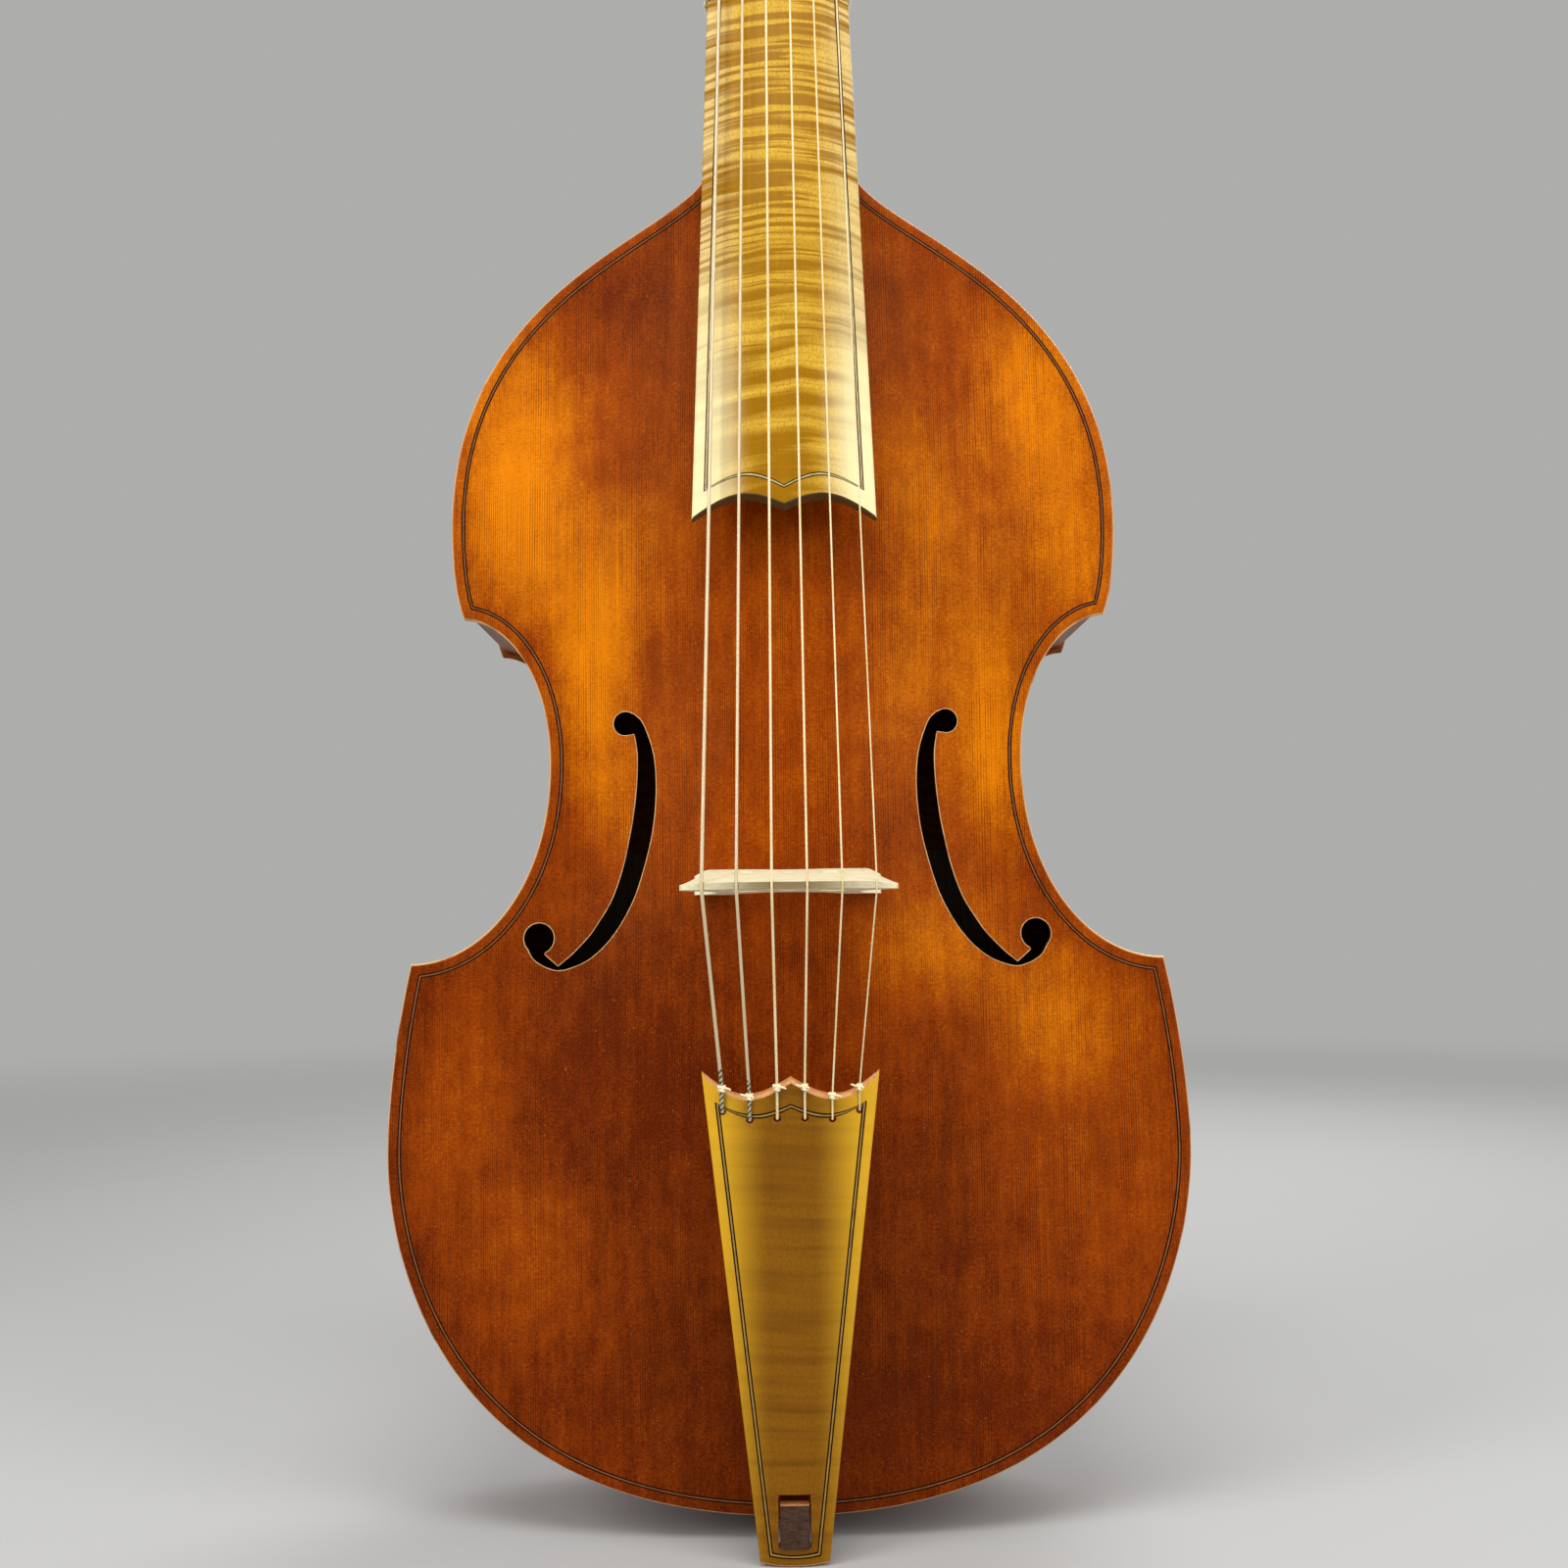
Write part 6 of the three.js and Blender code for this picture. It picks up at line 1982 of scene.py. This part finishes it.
    def build(self) -> None:
        """Makes the bridge."""
        place = lambda c, share: points(c[:, 0], -c[:, 1], self.tail_face + share * self.base)
        blank = prism(self.contour(), place)
        cutters = [self.hole(self.side_hole_shares, self.side_hole, mirror) for mirror in (-1, 1)]
        cutters += [self.hole(self.heart_shares, (self.heart, self.heart), 1)]
        cutters += [self.carving(front) for front in (True, False)]
        Bench.piece("bridge_body", blank, [BRIDGE_MAPLE], ["bridge"], cutters=cutters)


BRIDGE = Bridge()


@dataclass(frozen=True)
class Tailpiece:
    """Crowned tailpiece with a scalloped top, string holes, a mortise and inlaid lines."""

    bottom: float = -11.5
    corner: float = 215.6
    peak_drop: float = 2.9
    valley_drop: float = 10.8
    turn_share: float = 0.5
    top_width: float = 81.4
    bottom_width: float = 32.0
    top_rise: float = 60.0
    bottom_rise: float = 28.0
    crown_radius: float = 100.0
    top_thickness: float = 11.0
    bottom_thickness: float = 8.0
    tail_round: float = 1.5
    hole_inset: float = 22.3
    hole_edge_rise: float = 4.2
    hole_spread: float = 62.4
    hole_radius: float = 1.7
    hole_sink: float = 0.6
    hole_rise_shares: tuple = (1, 0.15, 0.3, 0.3, 0.15, 1)
    slot_width: float = 15.1
    slot_bottom: float = -3.4
    slot_length: float = 25.4
    ear: float = 0.8
    overcut: float = 8.0
    clear_behind: float = 4.0
    inlay_margin: float = 5.6
    end_corner: float = 15.0
    end_valley: float = 20.1
    end_peak: float = 15.4
    end_round: float = 2.2
    inlay_width: float = 2.1
    line_sag: float = 1.1

    def share(self, z: Array) -> Array:
        """Share of the length at a height."""
        return (z - self.bottom) / (self.corner - self.bottom)

    def front(self, x: Array, z: Array) -> Array:
        """Depth of the crowned face."""
        return -mix(self.bottom_rise, self.top_rise, self.share(z)) + sag(x, self.crown_radius)

    def rear(self, x: Array, z: Array) -> Array:
        """Depth of the flat underside."""
        thickness = mix(self.bottom_thickness, self.top_thickness, self.share(z))
        return -mix(self.bottom_rise, self.top_rise, self.share(z)) + thickness + 0 * x

    def top(self, across: Array) -> Array:
        """Height of the scalloped end line."""
        return self.corner - scallop(across, self.peak_drop, self.valley_drop, 0.0, self.turn_share)

    def plan(self, u: Array, v: Array) -> tuple[Array, Array]:
        """Places across and up the tailpiece."""
        across = 2 * u - 1
        low = self.bottom + self.tail_round * across * across
        return across * mix(self.bottom_width, self.top_width, v) / 2, mix(low, self.top(across), v)

    def half_width(self, z: Array) -> Array:
        """Half width at a height."""
        return mix(self.bottom_width, self.top_width, self.share(z)) / 2

    def hole_place(self, i: int) -> tuple[float, float]:
        """Place x and height of a string's hole."""
        x = float(STRINGS.spread(self.hole_spread)[i])
        return x, self.corner - self.hole_inset + self.hole_rise_shares[i] * self.hole_edge_rise

    def cutters(self) -> list[Shape]:
        """Mortise with small overcuts at its upper corners, and the string holes."""
        deep = (-self.top_rise - self.overcut, self.clear_behind)
        through = lambda c, share: points(c[:, 0], mix(*deep, share), c[:, 1])
        half, low, high = self.slot_width / 2, self.slot_bottom, self.slot_bottom + self.slot_length
        under, wide = high - self.ear, half + self.ear * 1.6
        slot = np.array([
            (-half, low), (half, low), (half, under), (wide, under),
            (wide, high), (-wide, high), (-wide, under), (-half, under),
        ])
        turn = circle(32)
        ring = self.hole_radius * points(np.cos(turn), np.sin(turn))
        holes = [ring + np.array(self.hole_place(i)) for i in range(STRINGS.count)]
        rings = [np.stack([through(hole, end) for end in (0, 1)]) for hole in holes]
        return [prism(slot, through)] + [loft(ring) for ring in rings]

    def inlay_line(self, side: float) -> Array:
        """Line of the inlay: up one side, along the top and down the other.

        Args:
            side: Distance from the inlay's middle towards the inside.
        """
        margin = self.inlay_margin + side
        top = self.corner - self.end_corner - side
        z = spaced(self.bottom + margin, top, 120)
        left = points(-(self.half_width(z) - margin), z)
        across = spaced(-1, 1, 81)
        wave = scallop(across, self.end_peak, self.end_valley, self.end_corner, self.turn_share)
        end = points(across * (self.half_width(top) - margin), self.corner - wave - side)
        low = spaced(-1, 1, 30)
        bottom = points(low * -left[0, 0], left[0, 1] - self.line_sag * (1 - low * low))
        right = left[::-1] * MIRROR
        return np.concatenate([left[:-1], end, right[1:], bottom[::-1][1:-1]])

    def build(self) -> None:
        """Makes the tailpiece and its inlay."""
        size = (self.bottom_width, self.corner - self.bottom)
        body = slab(self.plan, self.front, self.rear, size, (44, 90), 0.6, self.end_round)
        Bench.piece(
            "tail_body", body, [TAIL_MAPLE, TAIL_END], ["tailpiece"], cutters=self.cutters(),
            cut_finish=TAIL_END,
        )
        lines = [self.inlay_line(s * self.inlay_width / 2) for s in (-1, 1)]
        Bench.piece("tail_lines", ribbon(*lines, self.front, closed=True), [TAIL_INLAY])


TAIL = Tailpiece()


@dataclass(frozen=True)
class HookBar:
    """Bar under the bottom ribs, with a nose in the tailpiece's mortise."""

    width: float = 13.7
    back_reach: float = 62.0
    nose_height: float = 16.5
    nose_stand_out: float = 1.6
    # Length of the nose's top that shows pale end grain; behind it the dark wood stands for shade.
    worn_length: float = 6.0
    seat_gap: float = 0.4

    def build(self) -> None:
        """Makes the bar from its side profile."""
        crown = -float(mix(TAIL.bottom_rise, TAIL.top_rise, TAIL.share(TAIL.slot_bottom)))
        nose, seat = crown - self.nose_stand_out, TAIL.slot_bottom + self.seat_gap
        behind = float(TAIL.rear(np.array(0.0), np.array(TAIL.bottom))) + CLEARANCE
        face, gap, belly = FORM.overhang - CLEARANCE, CLEARANCE, FORM.belly_thickness
        profile = np.array([
            (self.back_reach, face), (self.back_reach, -LIFT), (behind, -LIFT), (behind, seat),
            (nose, seat), (nose, self.nose_height), (nose + self.worn_length, self.nose_height),
            (-belly, self.nose_height), (-gap, -gap), (belly + gap, -gap), (belly + gap, face),
        ])
        bar = prism(profile, lambda c, share: points((share - 0.5) * self.width, c[:, 0], c[:, 1]))
        corners = bar.vertices[bar.faces]
        # Only the front of the nose's top takes the pale end grain; the deeper part keeps the dark
        # wood as painted shade.
        lit_mask = corners[:, :, 1].max(1) < nose + self.worn_length + WELD
        bar.finish[lit_mask & (corners[:, :, 2].min(1) > self.nose_height - WELD)] = 1
        Bench.piece("tail_hook", bar, [DARK_WOOD, TAIL_END], ["hook_bar"], bevel=0.5)


@dataclass(frozen=True)
class Strings:
    """Six strings from their pegs over the nut and the bridge to the tailpiece, with their ties."""

    diameters: tuple = (1.7, 1.45, 1.2, 1.05, 0.85, 0.7)
    winding_gap: float = 0.6
    winding_insets: tuple = (16.0, 12.5, 9.0)
    winding_turns: float = 2.75
    wound: int = 2
    tail: float = 5.0
    sides: int = 12
    twist_length: float = 20.0
    twist_pitch: float = 5.0
    tie_gut: float = 0.58
    tie_ends: tuple[float, float] = (3.6, 1.5)
    twist_strand: float = 0.62
    twist_spread: float = 0.75

    @property
    def count(self) -> int:
        """Number of strings."""
        return len(self.diameters)

    def spread(self, width: float) -> Array:
        """Places of the strings across a width."""
        return width * (np.arange(self.count) / (self.count - 1) - 0.5)

    def notched(
        self, x: Array, crown: Callable[[Array], Array], spread: float, room: float, sense: int
    ) -> Array:
        """Crown of the nut or the bridge, with a round notch for each string.

        Args:
            x: Places across.
            crown: Gives the whole crown for a place.
            spread: Distance from the first string to the last.
            room: Space round a string.
            sense: Which way a notch goes from the crown.

        Returns:
            The crown at each place.
        """
        level = crown(x)
        for place, diameter in zip(self.spread(spread), self.diameters):
            inside = np.sqrt(np.maximum((diameter / 2 + room) ** 2 - (x - place) ** 2, 0))
            cut = np.where(inside > 0, crown(place) + sense * inside, level)
            level = np.maximum(level, cut) if sense > 0 else np.minimum(level, cut)
        return level

    def winding(self, i: int, nut: Array) -> Array:
        """Helix round the peg, from where the string first touches it."""
        side, order = PEGS.side(i), i if i < self.count // 2 else self.count - 1 - i
        pitch = self.diameters[i] + self.winding_gap
        start = side * (self.winding_insets[order] - pitch * self.winding_turns)
        axle = HEAD.place(0.0, PEGS.depth, PEGS.height(i))
        lift = CLEARANCE + self.diameters[i] / 2
        away = nut - axle
        bearing = math.atan2(away[2], away[1])
        opening = math.acos((PEGS.radius(i, start) + lift) / math.hypot(away[1], away[2]))
        first = min(bearing + opening, bearing - opening, key=math.cos)
        turns = spaced(0, self.winding_turns, 100)
        angle = first - 2 * np.pi * turns
        x = start + side * pitch * turns
        radius = PEGS.radius(i, x) + lift
        return points(x, axle[1] + radius * np.cos(angle), axle[2] + radius * np.sin(angle))

    def path(self, i: int) -> Array:
        """Whole course of a string."""
        spreads = (NECK.nut_spread, BRIDGE.spread, TAIL.hole_spread)
        nut_x, bridge_x, tail_x = (self.spread(width)[i] for width in spreads)
        low = BOARD.nut_height + CLEARANCE
        crown = float(NECK.nut_crown(nut_x))
        nut_top = np.array([nut_x, crown + NECK.nut_length * BOARD.slope, low + NECK.nut_length])
        over = -float(BRIDGE.crown(bridge_x))
        edge = float(TAIL.top(2 * tail_x / TAIL.top_width))
        hole = TAIL.hole_place(i)[1]
        proud = self.diameters[i] / 2 + CLEARANCE
        stops = np.array([
            (nut_x, crown, low),
            (bridge_x, over, BRIDGE.tail_face + BRIDGE.lean + BRIDGE.top),
            (bridge_x, over, BRIDGE.tail_face + BRIDGE.lean),
            (tail_x, float(TAIL.front(tail_x, edge)) - proud, edge),
            (tail_x, float(TAIL.front(tail_x, hole)) - proud, hole + TAIL.hole_sink),
            (tail_x, float(TAIL.front(tail_x, hole)) - TAIL.hole_sink, hole),
            (tail_x, float(TAIL.rear(tail_x, hole)) + self.tail, hole),
        ])
        course = [self.winding(i, nut_top)[::-1], nut_top[None]]
        for a, b in zip(stops[:-1], stops[1:]):
            steps = max(2, int(np.linalg.norm(b - a) / 12))
            course.append(mix(a, b, np.arange(steps)[:, None] / steps))
        return np.concatenate([*course, stops[-1:]])

    def knot(self, i: int) -> Shape:
        """Small tie of gut round the string at the tailpiece's edge: two turns and two ends."""
        x = float(self.spread(TAIL.hole_spread)[i])
        edge = float(TAIL.top(2 * x / TAIL.top_width))
        y = float(TAIL.front(x, edge)) - self.diameters[i] / 2 - CLEARANCE
        gut = self.tie_gut
        reach = self.diameters[i] / 2 + gut * 0.9
        centre = np.array([x, y, edge - CLEARANCE])
        turn = circle(20)
        parts = []
        for k in range(3):
            side = (reach + 0.2 * (k == 1)) * np.cos(turn)
            up = (k - 1) * 0.95 + 0.25 * np.sin(2 * turn + k)
            ring = centre + points(side, (reach + 0.2) * np.sin(turn), up)
            parts.append(tube(ring, gut, 8, (0, 0, 1), closed=True))
        lean = 1 if i % 2 == 0 else -1
        t = spaced(0, 1, 10)
        for sense, long in zip((lean, -lean), self.tie_ends):
            out, up = -0.7 * np.sin(np.pi * t * 0.7), 0.5 - 0.9 * t * t * sense
            bent = centre + points(sense * (0.4 + long * t), out - reach, up)
            parts.append(tube(bent, gut * (1 - 0.25 * t), 8, (0, 0, 1)))
        return joined(parts)

    def twisted_end(self, i: int) -> Shape:
        """Two dark strands twisted round each other, from over the tailpiece to the hole."""
        course = self.path(i)
        z = course[:, 2]
        top = course[(z > TAIL.hole_place(i)[1]) & (z < BRIDGE.tail_face)][::-1]
        length = np.append(0, np.cumsum(np.linalg.norm(np.diff(top, axis=0), axis=1)))
        t = spaced(0, self.twist_length - 1.5 * i, 90)
        line = points(*(np.interp(t, length, axis) for axis in top.T))
        radius = self.diameters[i] / 2
        angles = [2 * np.pi * t / self.twist_pitch + phase for phase in (0.0, np.pi)]
        spread, thick = radius * self.twist_spread, radius * self.twist_strand
        strands = [line + spread * points(np.cos(a), np.sin(a), 0.0) for a in angles]
        return joined(tube(strand, thick, 8, (1, 0, 0)) for strand in strands)

    def build(self) -> None:
        """Makes the strings, the twisted ends and the ties."""
        for i in range(self.count):
            number, wound = i + 1, i < self.wound
            body = tube(self.path(i), self.diameters[i] / 2, self.sides, (1, 0, 0))
            Bench.piece(
                f"course_{number}", body, [WOUND if wound else GUT], [f"string_{number}"],
                angle=ROUND_ANGLE,
            )
            Bench.piece(f"tie_{number}", self.knot(i), [KNOT_GUT], angle=ROUND_ANGLE)
            if wound:
                Bench.piece(
                    f"twisted_end_{number}", self.twisted_end(i), [TWIST], angle=ROUND_ANGLE,
                )


STRINGS = Strings()


@dataclass(frozen=True)
class Frets:
    """Seven double loops of gut tied round the neck, with a knot at the bass edge."""

    count: int = 7
    diameter: float = 1.1
    strand: float = 0.9
    knot_strand: float = 0.42
    knot_end: float = 0.40
    octave: int = 12

    def height(self, number: int) -> float:
        """Height of a fret: each semitone takes its twelfth root of a half from the string."""
        scale = BOARD.nut_height - BRIDGE.tail_face - BRIDGE.top / 2
        return BOARD.nut_height - scale * (1 - 2 ** (-number / self.octave))

    def loop(self, z: float, grow: float) -> Array:
        """Line round the board and the neck.

        In each direction it lies a set distance beyond the furthest point of the section.

        Args:
            z: Height of the loop.
            grow: Distance from the wood.

        Returns:
            Places of the closed line.
        """
        half = float(BOARD.half_width(z))
        x = spaced(-half, half, 60)
        edge = points(np.array([-half, half]), float(BOARD.under(0.0, z)))
        neck = points(*NECK.section(np.array(z), spaced(0, np.pi, 60)))
        section = np.concatenate([points(x, BOARD.front(x, z)), edge, neck])
        turn = circle(220)
        normals = points(np.cos(turn), np.sin(turn))
        plan = section[(section @ normals.T).argmax(0)] + normals * grow
        return points(*plan.T, z)

    def fret(self, number: int) -> Shape:
        """Two strands side by side and a small knot with two short ends."""
        z = self.height(number)
        grow = CLEARANCE + self.diameter / 2
        parts = []
        for offset in (-self.strand / 2, self.strand / 2):
            parts.append(
                tube(self.loop(z + offset, grow), self.strand / 2, 10, (0, 0, 1), closed=True)
            )
        corner_x = -float(BOARD.half_width(z)) - grow * 0.9
        corner = np.array([corner_x, float(BOARD.under(0.0, z)) - BOARD.edge * 0.4, z])
        turn, t = circle(20), spaced(0, 1, 8)
        for lean in (0.5, -0.5):
            up = 1.2 * np.cos(turn) * lean + 0.5 * np.sin(turn * 2)
            ring = corner + points(0.55 * np.cos(turn) - 0.1, 1.3 * np.sin(turn), up)
            parts.append(tube(ring, self.knot_strand, 8, (0.3, 0.2, 1), closed=True))
            end = corner + points(-0.4 - 0.9 * t, lean * 2.4 * t, lean * (0.4 + 2.6 * t))
            parts.append(tube(end, self.knot_end, 8, (1, 0.3, 0.2)))
        return joined(parts)

    def build(self) -> None:
        """Makes the frets, each on its own body."""
        for number in range(1, self.count + 1):
            Bench.piece(
                f"tied_fret_{number}", self.fret(number), [GUT], [f"fret_{number}"],
                Body.FRET.named(number), angle=ROUND_ANGLE,
            )


FRETS = Frets()


# Studio


@dataclass(frozen=True)
class Lamp:
    """Soft rectangular lamp that looks at a point of the instrument."""

    name: str
    place: tuple[float, float, float]
    size: tuple[float, float]
    power: float
    target: tuple[float, float, float] = (0.0, 0.0, 0.4)
    colour: Colour = (1.0, 1.0, 1.0)

    def build(self) -> None:
        """Makes the lamp."""
        light = bpy.data.lights.new(self.name, "AREA")
        light.shape, light.size, light.size_y = "RECTANGLE", *self.size
        light.energy, light.color = self.power, self.colour
        lamp = linked(self.name, light)
        lamp.location = self.place
        lamp.rotation_euler = (
            Vector(self.target) - Vector(self.place)
        ).to_track_quat("-Z", "Y").to_euler()


@dataclass(frozen=True)
class Studio:
    """Camera of the photograph, soft lamps and a pale floor."""

    focal_px: float = 1568.0
    image_px: float = 1600.0
    vanishing_px: tuple[float, float] = (787.0, 935.0)
    roll: float = -0.010
    distance: float = 760.0
    across: float = -8.07
    height: float = 285.5
    sensor: float = 36.0
    floor_reach: float = 3.6
    floor_gap: float = 0.5
    sky: float = 0.30
    backdrop: Colour = (0.42, 0.42, 0.415)
    lamps: tuple[Lamp, ...] = (
        Lamp("left", (-1.5, -1.1, 1.2), (0.8, 1.4), 26.0),
        Lamp("right", (1.5, -1.1, 1.0), (0.8, 1.4), 20.0),
        Lamp("top", (0.0, -1.2, 2.3), (1.4, 0.8), 26.0, (0.0, 0.0, 0.5)),
        Lamp("behind", (0.7, 1.6, 1.5), (1.2, 1.2), 22.0),
    )

    def camera(self) -> None:
        """Camera turned so that the belly's depth runs to the photograph's vanishing point."""
        centre = self.image_px / 2
        across, down = ((px - centre) / self.focal_px for px in self.vanishing_px)
        deep = unit(np.array([across, down, 1.0]))
        up = np.array([math.sin(self.roll), -math.cos(self.roll), 0.0])
        up = unit(up - deep * (up @ deep))
        right = np.cross(-up, deep)
        axes = np.stack([right, deep, up])
        data = bpy.data.cameras.new("photo_camera")
        data.sensor_width = self.sensor
        data.lens = self.focal_px / self.image_px * self.sensor
        data.clip_start, data.clip_end = 0.01, 100.0
        camera = linked("photo_camera", data)
        turn = np.stack([axes[:, 0], -axes[:, 1], -axes[:, 2]], 1)
        place = Vector((self.across, -self.distance, self.height + LIFT)) * MM
        camera.matrix_world = Matrix.Translation(place) @ Matrix(turn.tolist()).to_4x4()
        bpy.context.scene.camera = camera

    def floor(self) -> None:
        """Level floor under the hook bar."""
        reach, low = self.floor_reach / MM, TAIL.bottom - self.floor_gap
        edge = np.array([-reach, reach])
        corners = points(edge[None, :], edge[:, None], low)
        obj = linked("floor", Shape.grid(corners).mesh("floor"))
        obj.data.materials.append(FLOOR.material())

    def world(self) -> None:
        """Even light from all round; the camera and reflections see a plain grey backdrop."""
        world = bpy.data.worlds.new("studio")
        graph = Graph(world)
        light = graph.node("ShaderNodeBackground", {}, {0: (self.sky,) * 3})
        seen = graph.node("ShaderNodeBackground", {}, {0: self.backdrop})
        path = graph.node("ShaderNodeLightPath")
        seen_by = path.output("Is Camera Ray")
        for ray in ("Is Glossy Ray", "Is Transmission Ray"):
            seen_by = seen_by.math("MAXIMUM", path.output(ray))
        choice = graph.node("ShaderNodeMixShader", {}, {0: seen_by, 1: light, 2: seen})
        graph.node("ShaderNodeOutputWorld", {}, {0: choice})
        bpy.context.scene.world = world

    def build(self) -> None:
        """Makes the studio."""
        bpy.context.scene.view_settings.view_transform = "Standard"
        self.camera()
        self.world()
        self.floor()
        for lamp in self.lamps:
            lamp.build()


def main() -> None:
    """Builds the studio and every piece of the instrument."""
    logging.basicConfig(level=logging.INFO, format="%(name)s: %(message)s")
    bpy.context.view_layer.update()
    Studio().build()
    parts = (Belly(), Back(), Ribs(), InnerWork(), BOARD, NECK, HEAD, PEGS, BRIDGE, TAIL, HookBar())
    for part in (*parts, STRINGS, FRETS):
        part.build()


if __name__ == "__main__":
    main()
